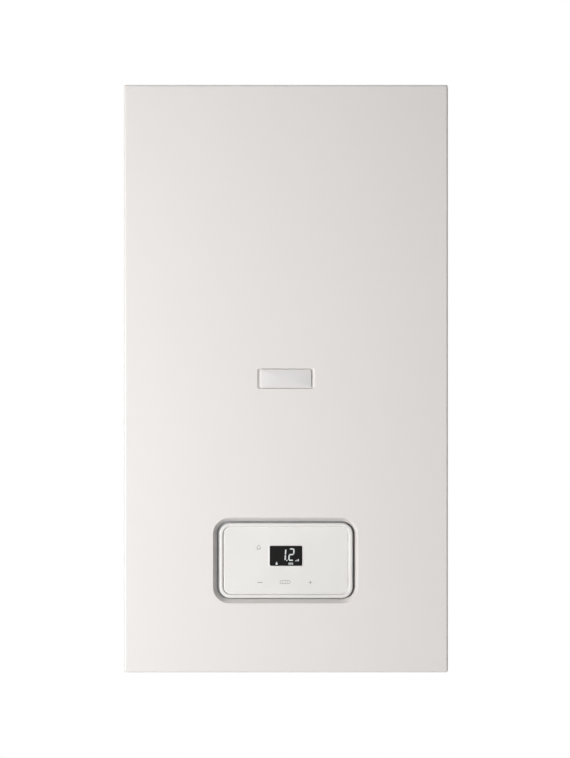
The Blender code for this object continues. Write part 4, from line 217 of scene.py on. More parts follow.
def swung(part, angle):
    """A part swung about its own Z axis."""
    c, s = np.cos(angle), np.sin(angle)
    return part[0] @ np.array([[c, s, 0], [-s, c, 0], [0, 0, 1.0]]), part[1]


def welded(points, quads):
    """Points that fall together become one, and faces that lose a corner become triangles."""
    _, first, index = np.unique(
        np.round(points, 7), axis=0, return_index=True, return_inverse=True
    )
    points, quads = points[first], index.reshape(-1)[quads]
    same = quads == np.roll(quads, -1, axis=1)
    whole = quads[~same.any(axis=1)]
    short = quads[same.sum(axis=1) == 1]
    lost = np.argmax(short == np.roll(short, -1, axis=1), axis=1)
    keep = (lost[:, None] + np.arange(1, 4)) % 4
    triangles = np.take_along_axis(short, keep, axis=1)
    sound = triangles[(triangles != np.roll(triangles, -1, axis=1)).all(axis=1)]
    whole = whole[(whole[:, 0] != whole[:, 2]) & (whole[:, 1] != whole[:, 3])]
    return points, whole.tolist() + sound.tolist()


def piece(name, parts, slot, replaces=(), body="frame", finish=None, crease=35.0, wall=0.0):
    """A finished piece: its mesh, its material, the body it rides on and what it stands for.

    Its finish is the one with the slot's name, unless another is named.
    """
    points, faces = welded(*together(*parts))
    mesh = bpy.data.meshes.new(name)
    mesh.from_pydata(points.tolist(), [], faces)
    mesh.validate()
    mesh.shade_smooth()
    mesh.set_sharp_from_angle(angle=np.radians(crease))
    mesh.materials.append(FINISH[finish or slot])
    obj = bpy.data.objects.new(name, mesh)
    bpy.context.scene.collection.objects.link(obj)
    if wall:
        solid = obj.modifiers.new("wall", "SOLIDIFY")
        solid.thickness = wall
        solid.offset = -1
        solid.use_even_offset = True
    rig.ride(obj, body)
    if replaces:
        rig.replaces(obj, *replaces)
    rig.slot(obj, slot)
    return obj


# Profiles, outlines and paths


def softened(profile, radius, steps=3):
    """A line of points with every inner corner rounded.

    Each corner gives way to the quadratic curve that starts one radius before it, ends one radius
    after it and is drawn towards it, where a radius is at most 0.45 of the shorter side.
    """
    line = np.array(profile, float)
    before, corner, after = line[:-2], line[1:-1], line[2:]
    back, ahead = before - corner, after - corner
    back_length = np.linalg.norm(back, axis=1, keepdims=True)
    ahead_length = np.linalg.norm(ahead, axis=1, keepdims=True)
    reach = np.minimum(radius, 0.45 * np.minimum(back_length, ahead_length))
    start = corner + back / back_length * reach
    end = corner + ahead / ahead_length * reach
    t = np.linspace(0, 1, steps + 1)[None, :, None]
    curve = (1 - t) ** 2 * start[:, None] + 2 * t * (1 - t) * corner[:, None] + t**2 * end[:, None]
    return np.concatenate([line[:1], curve.reshape(-1, line.shape[1]), line[-1:]])


def ring(sides):
    """Unit circle, as (cos, sin) columns."""
    turn = np.arange(sides) * 2 * np.pi / sides
    return np.stack([np.cos(turn), np.sin(turn)], axis=-1)


def lathe(profile, sides=64, soft=0.0006, steps=3):
    """A surface of revolution: each (radius, height) of the profile is carried round Z."""
    line = softened(profile, soft, steps) if soft else np.array(profile, float)
    circle = ring(sides)
    flat = line[:, None, :1] * circle[None]
    heights = np.broadcast_to(line[:, None, 1:], (len(line), sides, 1))
    return sheet(np.concatenate([flat, heights], axis=-1))


def outline(width, height, radius, centre=(0.0, 0.0), corner_steps=8, across=(), up=()):
    """A rectangle with round corners, anticlockwise from the lower right corner.

    Each corner is a quarter circle; the sides between them carry points at the given shares.
    """
    return border(
        (centre[0] - width / 2, centre[0] + width / 2),
        (centre[1] - height / 2, centre[1] + height / 2),
        (radius,) * 4,
        corner_steps,
        across,
        up,
    )


def border(x_span, z_span, radii, corner_steps, across=(), up=()):
    """Outline of a rectangle whose four corners each have a radius of their own.

    The corners run lower right, upper right, upper left, lower left. A point of a corner is its
    centre plus the radius times (cos, sin) of an angle that grows by a quarter turn.
    """
    (left, right), (foot, top) = x_span, z_span
    a, b, c, d = radii
    centres = np.array(
        [(right - a, foot + a), (right - b, top - b), (left + c, top - c), (left + d, foot + d)]
    )
    r = np.array(radii, float)[:, None, None]
    turn = (np.arange(4)[:, None] - 1 + np.linspace(0, 1, corner_steps + 1)) * np.pi / 2
    arcs = centres[:, None] + r * np.stack([np.cos(turn), np.sin(turn)], axis=-1)
    line = []
    shares = (np.array(up, float), np.array(across, float))
    for corner in range(4):
        share = shares[corner % 2]
        share = share if corner < 2 else 1 - share[::-1]
        start, end = arcs[corner, -1], arcs[(corner + 1) % 4, 0]
        line.append(arcs[corner])
        line.append(start + (end - start) * share[:, None])
    return np.concatenate(line)


def stacked(lines, heights):
    """Outlines of equal count, each at its own height, as one grid."""
    return np.stack(
        [
            np.concatenate([line, np.full((len(line), 1), height)], axis=1)
            for line, height in zip(lines, heights)
        ]
    )


def cushion_block(width, depth, height, radius, edge, corner_steps=6):
    """A box standing on Z = 0 with upright corners of one radius and eased rims.

    Its rows are outlines drawn in by edge * (1 - sin a) at a height of edge * (1 - cos a) from
    each end, with a from 0 to a quarter turn.
    """
    a = np.linspace(0, np.pi / 2, 4)
    inset = edge * (1 - np.sin(a))
    rise = edge * (1 - np.cos(a))
    insets = np.concatenate([inset, inset[::-1]])
    heights = np.concatenate([rise, height - rise[::-1]])
    lines = [
        outline(width - 2 * i, depth - 2 * i, max(radius - i, 1e-4), (0, 0), corner_steps)
        for i in insets
    ]
    return shut(stacked(lines, heights))


def bent(points, radius, steps=10):
    """A path through corners, each turned into an arc of the bend's radius."""
    line = np.array(points, float)
    before, corner, after = line[:-2], line[1:-1], line[2:]
    u = (corner - before) / np.linalg.norm(corner - before, axis=1, keepdims=True)
    v = (after - corner) / np.linalg.norm(after - corner, axis=1, keepdims=True)
    whole = np.arccos(np.clip((u * v).sum(axis=1), -1, 1))[:, None]
    reach = radius * np.tan(whole / 2)
    inwards = (v - u) / np.linalg.norm(v - u, axis=1, keepdims=True)
    centre = corner + inwards * radius / np.cos(whole / 2)
    first, last = corner - u * reach - centre, corner + v * reach - centre
    t = np.linspace(0, 1, steps + 1)[None, :, None]
    angle = whole[:, None]
    spokes = np.sin((1 - t) * angle) * first[:, None] + np.sin(t * angle) * last[:, None]
    arcs = centre[:, None] + spokes / np.sin(angle)
    return np.concatenate([line[:1], arcs.reshape(-1, 3), line[-1:]])


def flowing(points, steps=10):
    """A soft path: straight end runs and a Catmull-Rom curve through the points between."""
    line = np.array(points, float)
    leave = (line[1] - line[0]) / np.linalg.norm(line[1] - line[0])
    arrive = (line[-1] - line[-2]) / np.linalg.norm(line[-1] - line[-2])
    before = line[2] - leave * 2 * np.linalg.norm(line[2] - line[1])
    after = line[-3] + arrive * 2 * np.linalg.norm(line[-2] - line[-3])
    knots = np.concatenate([before[None], line[1:-1], after[None]])
    a, b, c, d = (knots[i : len(knots) - 3 + i, None] for i in range(4))
    t = (np.arange(steps) / steps)[None, :, None]
    curve = 0.5 * (2 * b + (c - a) * t + (2 * a - 5 * b + 4 * c - d) * t**2)
    curve = curve + 0.5 * (3 * b - a - 3 * c + d) * t**3
    return np.concatenate([line[:1], curve.reshape(-1, 3), line[-2:]])


def pipe(path, radius, sides=20):
    """A tube along a path: a circle square to the path at every point, its ends shut.

    The circle is laid out from the direction in which the path spreads least, so that it never
    twists. The radius may be one number or one for each point.
    """
    path = np.array(path, float)
    forward = np.gradient(path, axis=0)
    forward /= np.linalg.norm(forward, axis=1, keepdims=True)
    steady = np.linalg.svd(path - path.mean(axis=0))[2][2]
    normal = steady - forward * (forward @ steady)[:, None]
    normal /= np.linalg.norm(normal, axis=1, keepdims=True)
    side = np.cross(forward, normal)
    circle = ring(sides)
    radius = np.broadcast_to(np.asarray(radius, float), len(path))[:, None, None]
    spoke = normal[:, None] * circle[None, :, :1] + side[:, None] * circle[None, :, 1:]
    return shut(path[:, None] + radius * spoke)


# Materials


class Signal:
    """A number that changes over a surface. Sums with it add Math nodes to its material."""

    def __init__(self, finish, socket):
        self.finish = finish
        self.socket = socket

    def _math(self, operation, *values):
        node = self.finish.node("ShaderNodeMath", {"operation": operation}, *values)
        return Signal(self.finish, node.outputs[0])

    def __add__(self, other):
        return self._math("ADD", self, other)

    def __radd__(self, other):
        return self._math("ADD", other, self)

    def __sub__(self, other):
        return self._math("SUBTRACT", self, other)

    def __rsub__(self, other):
        return self._math("SUBTRACT", other, self)

    def __mul__(self, other):
        return self._math("MULTIPLY", self, other)

    def __rmul__(self, other):
        return self._math("MULTIPLY", other, self)

    def __pow__(self, other):
        return self._math("POWER", self, other)

    def between(self, low, high):
        """0 below low, 1 above high and a straight rise between them."""
        node = self.finish.node("ShaderNodeMapRange", {"clamp": True}, self, low, high, 0.0, 1.0)
        return Signal(self.finish, node.outputs[0])


class Nodes:
    """The nodes of one material or of the world."""

    def __init__(self, owner):
        owner.use_nodes = True
        self.tree = owner.node_tree

    def feed(self, socket, value):
        """Sets a socket to a value, or links a signal or a node's output to it."""
        if isinstance(value, Signal):
            value = value.socket
        if isinstance(value, bpy.types.NodeSocket):
            self.tree.links.new(value, socket)
        elif isinstance(value, (tuple, list)) and len(value) == 3 and socket.type == "RGBA":
            socket.default_value = (*value, 1.0)
        else:
            socket.default_value = value

    def node(self, kind, settings=None, *values, **named):
        """A node of one type, with its settings and then its sockets' values or links."""
        made = self.tree.nodes.new(kind)
        for setting, value in (settings or {}).items():
            setattr(made, setting, value)
        for number, value in enumerate(values):
            if value is not None:
                self.feed(made.inputs[number], value)
        for socket, value in named.items():
            self.feed(made.inputs[socket.replace("_", " ")], value)
        return made


class Finish(Nodes):
    """A material under construction: a Principled shader and the nodes that feed it."""

    def __init__(self, name, roughness, metallic=0.0, **fixed):
        self.material = bpy.data.materials.new(name)
        super().__init__(self.material)
        self.shader = self.tree.nodes["Principled BSDF"]
        self.put("Roughness", roughness)
        self.put("Metallic", metallic)
        for socket, value in fixed.items():
            self.put(socket.replace("_", " "), value)
        self.coordinates = self.node("ShaderNodeTexCoord").outputs["Object"]

    def put(self, socket, value):
        """Sets one of the shader's own sockets, or links a signal or a node's output to it."""
        self.feed(self.shader.inputs[socket], value)

    def stretched(self, scale):
        """Object coordinates, scaled along each axis."""
        node = self.node("ShaderNodeMapping", None, self.coordinates, Scale=scale)
        return node.outputs[0]

    def noise(self, scale, detail=2.0, coordinates=None, rough=0.5):
        """Smooth noise from 0 to 1."""
        place = coordinates or self.coordinates
        given = {"Vector": place, "Scale": scale, "Detail": detail, "Roughness": rough}
        node = self.node("ShaderNodeTexNoise", None, **given)
        return Signal(self, node.outputs[0])

    def cells(self, scale, output="Distance", coordinates=None):
        """Random cells: the distance to the nearest middle, or a colour for each cell."""
        place = coordinates or self.coordinates
        node = self.node("ShaderNodeTexVoronoi", None, Vector=place, Scale=scale)
        return node.outputs[output] if output == "Color" else Signal(self, node.outputs[output])

    def axis(self, name):
        """One of the object's own coordinates, in metres."""
        node = self.node("ShaderNodeSeparateXYZ", None, self.coordinates)
        return Signal(self, node.outputs[name])

    def blend(self, factor, first, second):
        """The first colour where the factor is 0, and the second where it is 1."""
        unused = [None] * 5
        node = self.node("ShaderNodeMix", {"data_type": "RGBA"}, factor, *unused, first, second)
        return node.outputs[2]

    def tint(self, factor, colour, low, high):
        """Base colour: a colour times low where the factor is 0, and times high where it is 1."""
        self.put("Base Color", self.blend(factor, shade(colour, low), shade(colour, high)))

    def bump(self, height, depth):
        """Relief from a height of 0 to 1, so many metres deep."""
        node = self.node("ShaderNodeBump", None, Strength=1.0, Distance=depth, Height=height)
        self.put("Normal", node.outputs[0])


def shade(colour, factor):
    """A colour times a factor, at most 1 in each channel."""
    return tuple(min(1.0, channel * factor) for channel in colour)


def powder_coat(name, colour, roughness=0.36, peel=0.000012):
    """Powder paint: an even colour, cloudy by one or two parts in a hundred, with orange peel."""
    finish = Finish(name, roughness, Coat_Weight=0.06, Coat_Roughness=0.25)
    clouds = finish.noise(5.0, 3.0)
    finish.tint(clouds, colour, 0.985, 1.012)
    waves = finish.noise(520.0, 1.0)
    finish.put("Roughness", waves * 0.05 + (roughness - 0.025))
    finish.bump(waves * 0.75 + finish.noise(1900.0, 1.0) * 0.25, peel)
    return finish.material


def galvanised(name, colour):
    """Zinc-coated sheet: crystals of slightly different greys, with a fine rolled grain."""
    finish = Finish(name, 0.42, 0.92)
    crystals = finish.cells(85.0, "Color")
    grey = finish.node("ShaderNodeRGBToBW", None, crystals).outputs[0]
    spangle = Signal(finish, grey)
    grain = finish.noise(300.0, 3.0, finish.stretched((1.0, 1.0, 0.08)))
    tone = spangle * 0.6 + grain * 0.4
    finish.tint(tone, colour, 0.64, 1.00)
    finish.put("Roughness", spangle * 0.16 + grain * 0.1 + 0.3)
    finish.bump(grain, 0.00002)
    return finish.material


def die_cast(name, colour):
    """Die-cast aluminium: a blasted skin with a fine grain and dull patches."""
    finish = Finish(name, 0.48, 0.95)
    patches = finish.noise(28.0, 4.0)
    grain = finish.noise(1400.0, 2.0)
    finish.tint(patches, colour, 0.56, 0.78)
    finish.put("Roughness", patches * 0.14 + grain * 0.12 + 0.36)
    finish.bump(grain * 0.8 + patches * 0.2, 0.00006)
    return finish.material


def drawn_metal(name, colour, tarnish, roughness=0.24):
    """Drawn tube or turned stock: bright, with soft tarnish and faint lines round it."""
    finish = Finish(name, roughness, 1.0)
    stain = finish.noise(36.0, 5.0, rough=0.6).between(0.4, 0.72)
    lines = finish.noise(900.0, 1.0, finish.stretched((0.25, 0.25, 1.0)))
    finish.put("Base Color", finish.blend(stain * 0.75, colour, tarnish))
    finish.put("Roughness", stain * 0.2 + lines * 0.1 + (roughness - 0.05))
    finish.bump(lines, 0.000012)
    return finish.material


def brushed(name, colour, roughness=0.28):
    """Stainless sheet and bar: brushed along one way, so its shine is drawn out."""
    finish = Finish(name, roughness, 1.0)
    lines = finish.noise(420.0, 2.0, finish.stretched((1.0, 1.0, 0.06)))
    haze = finish.noise(20.0, 2.0)
    finish.tint(lines, colour, 0.88, 1.08)
    finish.put("Roughness", lines * 0.16 + haze * 0.08 + (roughness - 0.1))
    finish.bump(lines, 0.000015)
    return finish.material


def moulded(name, colour, roughness=0.46, texture=0.00005, scale=900.0):
    """Moulded plastic: an even colour under a fine spark-eroded texture."""
    finish = Finish(name, roughness)
    grain = finish.noise(scale, 2.0)
    flow = finish.noise(11.0, 3.0)
    finish.tint(flow, colour, 0.93, 1.07)
    finish.put("Roughness", grain * 0.1 + flow * 0.06 + (roughness - 0.08))
    finish.bump(grain, texture)
    return finish.material


def soft_rubber(name, colour):
    """Extruded rubber: matt, with a little bloom and a fine skin."""
    finish = Finish(name, 0.74, Specular_IOR_Level=0.35)
    bloom = finish.noise(60.0, 4.0).between(0.35, 0.8)
    skin = finish.noise(1600.0, 2.0)
    finish.put("Base Color", finish.blend(bloom, colour, tuple(c + 0.018 for c in colour)))
    finish.put("Roughness", bloom * 0.14 + 0.66)
    finish.bump(skin, 0.00004)
    return finish.material


def lacquered_board(name, colour):
    """Circuit board: copper tracks run on a grid under green lacquer."""
    finish = Finish(name, 0.38, Coat_Weight=0.3, Coat_Roughness=0.2)
    along = finish.stretched((1.0, 1.0, 0.3))
    across = finish.stretched((0.3, 1.0, 1.0))
    upright = finish.cells(260.0, "Distance", along).between(0.28, 0.34)
    level = finish.cells(240.0, "Distance", across).between(0.28, 0.34)
    tracks = upright * level
    finish.tint(tracks, colour, 1.9, 1.0)
    finish.put("Roughness", finish.noise(40.0) * 0.12 + 0.3)
    finish.bump(1.0 - tracks, 0.00004)
    return finish.material


def dark_glass(name, colour):
    """Smoked display glass: near black, polished, with the faintest haze."""
    finish = Finish(name, 0.1, Specular_IOR_Level=0.15)
    haze = finish.noise(90.0, 3.0)
    finish.tint(haze, colour, 0.3, 0.45)
    finish.put("Roughness", haze * 0.05 + 0.07)
    return finish.material


def printed_ink(name, colour):
    """Screen-printed ink: matt and slightly uneven."""
    finish = Finish(name, 0.6)
    dots = finish.noise(2600.0, 1.0)
    finish.tint(dots, colour, 0.9, 1.1)
    finish.put("Roughness", dots * 0.1 + 0.52)
    return finish.material


def lit_figures(name, colour, strength):
    """Figures of the display, lit from behind through the glass."""
    finish = Finish(name, 0.5, Emission_Strength=strength)
    spread = finish.noise(700.0, 1.0)
    tone = finish.blend(spread, shade(colour, 0.9), colour)
    finish.put("Base Color", tone)
    finish.put("Emission Color", tone)
    return finish.material


def glazed(name, colour):
    """Glazed ceramic: smooth and glossy, with small brown specks."""
    finish = Finish(name, 0.22, Coat_Weight=0.6, Coat_Roughness=0.08)
    specks = finish.cells(520.0).between(0.0, 0.16)
    finish.tint(specks, colour, 0.72, 1.0)
    finish.put("Roughness", finish.noise(120.0) * 0.1 + 0.18)
    return finish.material


def perforated(name, colour):
    """Burner mesh: stainless with rows of small holes, sunk by a bump and painted near black as painted shade."""
    finish = Finish(name, 0.35, 1.0)
    holes = finish.cells(340.0).between(0.26, 0.34)
    # Painted shade: each hole is painted near black for the shadow inside it.
    finish.put("Base Color", finish.blend(holes, (0.02, 0.02, 0.02), colour))
    finish.put("Roughness", finish.noise(80.0) * 0.2 + 0.3)
    finish.bump(holes, 0.0002)
    return finish.material


# What a user would change


def length(name, description, default, **more):
    return FloatProperty(
        name=name, description=description, default=default, unit="LENGTH", precision=5, **more
    )


def amount(name, description, default):
    return FloatProperty(name=name, description=description, default=default)


def colour(name, description, default):
    return FloatVectorProperty(
        name=name, description=description, default=default, subtype="COLOR", min=0.0, max=1.0
    )


class BOILER_PG_casing(PropertyGroup):
    sheet: length("Sheet", "Thickness of the painted sheet", 0.001)
    fold: length("Fold", "Outer radius of the cover's folds", 0.0025)
    hem: length("Hem", "Width of the edge turned inwards behind the cover", 0.009)
    slope: length("Window slope", "Width of the sloped wall round the control panel", 0.0053)
    window_depth: length("Window depth", "How far the panel window is pressed in", 0.0078)
    window_gap: length("Window gap", "Dark gap between the cover and the fascia", 0.0018)
    paint: colour("Paint", "Powder coat of the casing", (0.8, 0.768, 0.746))
    seam_level: length("Face seam", "Height at which the face's two fields meet", -0.11)


class BOILER_PG_controls(PropertyGroup):
    corner: length("Fascia corner", "Corner radius of the fascia", 0.014)
    bead: length("Bead", "Width of the raised bead round the fascia", 0.0058)
    bead_rise: length("Bead rise", "Height of the bead over the flat face", 0.0021)
    ink: colour("Key ink", "Printed key marks", (0.3, 0.29, 0.28))
    lit: colour("Figures", "Lit figures of the display", (0.62, 0.66, 0.66))
    figure_height: length("Figure height", "Height of the display's figures", 0.0158)


class BOILER_PG_unit(PropertyGroup):
    round_sides: IntProperty(
        name="Round sides", description="Sides of large round pieces", default=72, min=12
    )
    pipe_sides: IntProperty(
        name="Pipe sides", description="Sides of pipes and hoses", default=28, min=8
    )


class BOILER_PG_studio(PropertyGroup):
    lens: amount("Lens", "Focal length in mm", 113.2)
    distance: length("Camera distance", "From the lens to the casing's front", 3.0)
    floor_drop: length("Floor drop", "How far the floor lies under the boiler", 1.0)
    key: amount("Key light", "Strength of the left softbox, W", 38.5)
    front: amount("Front light", "Strength of the front lamp, W", 7.2)
    sides: amount("Side lights", "Right and top softbox, W; the left one has 0.15 of it", 22)
    sky: amount("Surroundings", "Light from all round", 0.13)


def settings():
    return bpy.context.scene.boiler


# The finishes of this boiler

FINISH = {}


def make_finishes(paint, ink, lit):
    """Every finish, by the name of the record's slot, and those of small extras."""
    slots = {entry["slot"]: tuple(entry["base_color"]) for entry in frame["record"]["materials"]}
    FINISH["casing_paint"] = powder_coat("coat_casing", paint)
    for slot, maker, name, *more in (
        ("vessel_paint", powder_coat, "coat_vessel", 0.42, 0.00002),
        ("frame_steel", galvanised, "zinc_sheet"),
        ("stainless", brushed, "stainless_sheet"),
        ("cast_aluminium", die_cast, "cast_aluminium_skin"),
        ("copper", drawn_metal, "copper_tube", (0.36, 0.16, 0.09)),
        ("brass", drawn_metal, "brass_stock", (0.44, 0.3, 0.12), 0.27),
        ("rubber", soft_rubber, "rubber_black"),
        ("fascia_plastic", moulded, "fascia_shell", 0.34, 0.00001, 1400.0),
        ("badge_plastic", moulded, "badge_blank", 0.3, 0.000008, 1400.0),
        ("black_plastic", moulded, "plastic_black", 0.5),
        ("grey_plastic", moulded, "plastic_grey", 0.48),
        ("white_plastic", moulded, "plastic_white", 0.42),
        ("red_plastic", moulded, "plastic_red", 0.4),
        ("circuit_green", lacquered_board, "board_green"),
        ("display_glass", dark_glass, "glass_smoked"),
        ("ceramic", glazed, "ceramic_glazed"),
    ):
        FINISH[slot] = maker(name, slots[slot], *more)
    FINISH.update(
        ink=printed_ink("ink_grey", ink),
        lit=lit_figures("figures_lit", lit, 0.22),
        blue=moulded("plastic_blue", (0.03, 0.1, 0.32), 0.44),
        burner_mesh=perforated("burner_mesh", (0.55, 0.54, 0.52)),
        steel=drawn_metal("steel_turned", (0.6, 0.6, 0.59), (0.42, 0.42, 0.42), 0.3),
        felt=soft_rubber("sealing_grey", (0.1, 0.1, 0.1)),
    )


# Flat pieces and their outlines


def at_depth(lines, depth):
    """Outlines in X and Z as points in space, with their depth as Y."""
    depth = np.broadcast_to(depth, lines.shape[:-1])
    return np.stack([lines[..., 0], depth, lines[..., 1]], axis=-1)


def on_face(line, front, thickness):
    """A flat piece facing the front: its outline in X and Z, its front level and thickness."""
    return shut(np.stack([at_depth(line, front + thickness), at_depth(line, front)]))


def loop_on_face(outer, inner, front, thickness):
    """A flat closed band between two outlines of equal count, facing the front."""
    back = front + thickness
    rows = ((inner, back), (outer, back), (outer, front), (inner, front), (inner, back))
    return sheet(np.stack([at_depth(line, depth) for line, depth in rows]))


def disc(centre, radius, sides=24):
    """A circle of a radius round a centre."""
    return ring(sides) * radius + np.array(centre)


def bar(centre, width, height, radius=0.0002):
    """A small rectangle with rounded corners."""
    return outline(width, height, radius, centre, 3)


def flame(centre, width, height, steps=28):
    """A drop with a drawn-out tip: its half width is sin of the angle times (1 - cos) / 1.3.

    Its upper half leans to the right by 0.1 * cos^2 of the angle.
    """
    turn = np.arange(steps) * 2 * np.pi / steps
    half = np.sin(turn) * (1 - np.cos(turn)) / 1.3
    lean = 0.1 * np.maximum(0, np.cos(turn)) ** 2
    x = (-half + lean) * width / 2
    z = np.cos(turn) * height / 2
    return np.stack([x, z], axis=-1) + np.array(centre)


def segment(start, end, thick):
    """A bar of a figure: a long hexagon between two points, with pointed ends."""
    start, end = np.array(start, float), np.array(end, float)
    along = (end - start) / np.linalg.norm(end - start)
    side = np.array([-along[1], along[0]])
    half = thick / 2
    a, b = start + along * half * 0.12, end - along * half * 0.12
    right, left = (along - side) * half, (along + side) * half
    return np.array([a, a + right, b - left, b, b + (side - along) * half, a + left])


def figure(left, foot, height, width, segments, slant, thick):
    """The bars of one seven-bar figure. Its bars run a to g, and it leans by the slant."""
    half = thick / 2
    x0, x1 = left + half, left + width - half
    z0, z1, z2 = foot + half, foot + height / 2, foot + height - half
    ends = {
        "a": ((x0, z2), (x1, z2)),
        "b": ((x1, z2), (x1, z1)),
        "c": ((x1, z1), (x1, z0)),
        "d": ((x0, z0), (x1, z0)),
        "e": ((x0, z0), (x0, z1)),
        "f": ((x0, z1), (x0, z2)),
        "g": ((x0, z1), (x1, z1)),
    }
    lines = []
    for name in segments:
        line = segment(*ends[name], thick)
        line[:, 0] += (line[:, 1] - foot) * np.tan(slant)
        lines.append(line)
    return lines


# Casing


def cover_face(size, hole, hole_rows, span, radii, across, up, seam_at_top):
    """One field of the front cover, from its hem over the fold and the face down to its hole.

    Its rows are outlines of equal count. Behind the face they are the outer border, which goes
    over the fold as r * sin a outwards and r * (1 - cos a) back, then back along the return, and
    in along the hem. On the face they run straight from the border to the hole, and then follow
    the hole's own profile. The rim is left out along the seam with the other field.
    """
    steps, margin = 12, 0.001
    r, front, back = size.fold, span["front"], span["return"]
    turn = np.linspace(np.pi / 2, 0, 5)
    out = [r - size.hem, r - size.hem * 0.5, r - 0.0012, r - 0.0004, r, r, r]
    depth = [back, back, back, back - 0.0004, back - 0.0012, back * 0.5, r + 0.0006]
    out += [*(r * np.sin(turn)), -margin]
    depth += [*(r * (1 - np.cos(turn))), 0.0]

    def border_at(offset):
        low, high = span["z"]
        low, high = (low - offset, high) if seam_at_top else (low, high + offset)
        x_span = (-span["x"] - offset, span["x"] + offset)
        corner = [max(value + offset, 0.0002) if value else 0.0 for value in radii]
        return border(x_span, (low, high), corner, steps, across, up)

    rim = np.stack([border_at(offset) for offset in out])
    rim = at_depth(rim, front + np.array(depth)[:, None])
    if seam_at_top:
        rim = np.roll(rim, -rim.shape[1] // 2, axis=1)
    open_run = 3 * (steps + 1) + 2 * len(up) + len(across) + 1
    rim = rim[:, steps:open_run]

    guard = border_at(-margin)
    wide, tall = hole["size"] + 2 * margin
    lip = outline(wide, tall, hole["radius"] + margin, hole["centre"], steps, across, up)
    between = np.linspace(0, 1, 7)[1:-1, None, None]
    face = np.concatenate([[guard], guard * (1 - between) + lip * between, [lip]])
    return rim, np.concatenate([at_depth(face, front), hole_rows])


def face_of(node, more, radius):
    """The rounded rectangle that a node fills in front view, made larger by so much."""
    low, high = corners_of(node)
    size, centre = (high - low)[[0, 2]] + more, middle_of(node)[[0, 2]]
    return {"size": size, "radius": radius, "centre": centre}


def pressed_rows(face, line, front, across, up):
    """Outlines of a rounded rectangle, drawn in by each (side, top, depth) of a line in turn.

    Its corner radius shrinks by the smaller of side and top, and stays at least 0.8 mm.
    """
    rows = []
    for side, top, depth in line:
        wide, tall = face["size"][0] - 2 * side, face["size"][1] - 2 * top
        radius = max(face["radius"] - min(side, top), 0.0008)
        around = outline(wide, tall, radius, face["centre"], 12, across, up)
        rows.append(at_depth(around, front + depth))
    return np.stack(rows)


def front_cover(size, controls):
    """The pressed front cover: two fields with a seam that can't be seen between them."""
    low, high = corners_of("front_cover")
    front, back = low[1], high[1] - low[1]
    half = high[0] - size.fold
    notch, slot = 0.023, 0.0026  # half widths of the hem's gap and of the screw's slot
    share = np.array([-0.15, -0.1, -0.06, -notch, -slot, slot, notch, 0.06, 0.1, 0.15])
    across = (share / (half - 0.0005) + 1) / 2
    up = np.linspace(0, 1, 8)[1:-1]

    left_play = 0.0012  # how much wider the window's gap is on its left
    s, d = size.slope, size.window_depth
    corner = controls.corner + size.window_gap + s
    window = face_of("control_fascia", 2 * (size.window_gap + s), corner)
    window["size"] += (left_play, 0.0)
    window["centre"] -= (left_play / 2, 0.0)
    slope = [(0, 0, 0), (0.0004, 0.0004, 0), (s, s, d), (s, s, d + 0.0014)]
    window_rows = pressed_rows(window, softened(slope, 0.0011, 5), front, across, up)

    badge_play = (0.0094, 0.0034)  # how much larger the pocket is than the badge plate
    pocket = face_of("badge_plate", badge_play, 0.0032)
    s, d = 0.0033, 0.0026
    slope = [(0, 0, 0), (0.0003, 0.0003, 0), (s, 0.0012, d), (0.0075, 0.0045, d)]
    pocket_rows = pressed_rows(pocket, softened(slope, 0.0005, 5), front, across, up)
    middle = pocket_rows[-1].mean(axis=0)
    pocket_rows = np.concatenate([pocket_rows, np.broadcast_to(middle, pocket_rows[:1].shape)])

    z_low, z_high = low[2] + size.fold, high[2] - size.fold
    lower = {"front": front, "return": back, "x": half, "z": (z_low, size.seam_level)}
    upper = {"front": front, "return": back, "x": half, "z": (size.seam_level, z_high)}
    c = 0.0005
    lower_rim, lower_face = cover_face(
        size, window, window_rows, lower, (c, 0.0, 0.0, c), across, up, True
    )
    upper_rim, upper_face = cover_face(
        size, pocket, pocket_rows, upper, (0.0, c, c, 0.0), across, up, False
    )
    rim_points, rim_quads = sheet(lower_rim, closed=False)
    centre = rim_points[rim_quads].mean(axis=1)
    under = centre[:, 2] < z_low - 0.0003
    cut = under & (np.abs(centre[:, 0]) < slot) & (centre[:, 1] > front + 0.02)
    cut |= under & (np.abs(centre[:, 0]) < notch) & (centre[:, 1] > high[1] - 0.0003)
    return together(
        (rim_points, rim_quads[~cut]),
        sheet(lower_face),
        sheet(upper_rim, closed=False),
        sheet(upper_face),
    )


def pan_head(radius, rise, shank, length):
    """A screw: shank, domed head and the cross recess as a sunk four-lobed rosette.

    The rosette's rim is at radius * (0.26 + 0.13 * cos 4a), and it sinks evenly to its middle.
    """
    sides = 48
    circle = ring(sides)
    dome = np.linspace(0.02, np.pi / 2 * 0.72, 5)
    rows = [(shank, -length), (shank, 0.0), (radius, 0.0)]
    rows += [(radius * np.cos(t), rise * np.sin(t) / np.sin(dome[-1])) for t in dome]
    a = np.arange(sides) * 2 * np.pi / sides
    lobes = circle * (radius * (0.26 + 0.13 * np.cos(4 * a)))[:, None]
    sink = ((1.0, rise), (0.92, rise * 0.9), (0.7, rise * 0.15), (0.3, 0.0))
    lines = [circle * reach for reach, _ in rows] + [lobes * share for share, _ in sink]
    return shut(stacked(lines, [height for _, height in (*rows, *sink)]))


# Shapes shared by the inner pieces

GAP = 0.0003  # between two pieces that meet
PUMP_RADIUS = 0.038  # of the volute's round body
LARGE_PIPE = 0.009  # outer radius of the heating and gas pipes
SMALL_PIPE = 0.0075  # outer radius of the hot and the cold water pipe
PORT_X = 0.07  # the exchanger's water ports, to each side of its middle
DRAIN_INSET = 0.0087  # from the drain hose's rear side to its axis
DIAGONALS = np.pi / 4 + np.pi / 2 * np.arange(4)


def lathed(profile, centre, axes="up", sides=64, soft=0.0006):
    """A surface of revolution, turned and moved into its place."""
    return moved(lathe(profile, sides, soft), centre, axes)


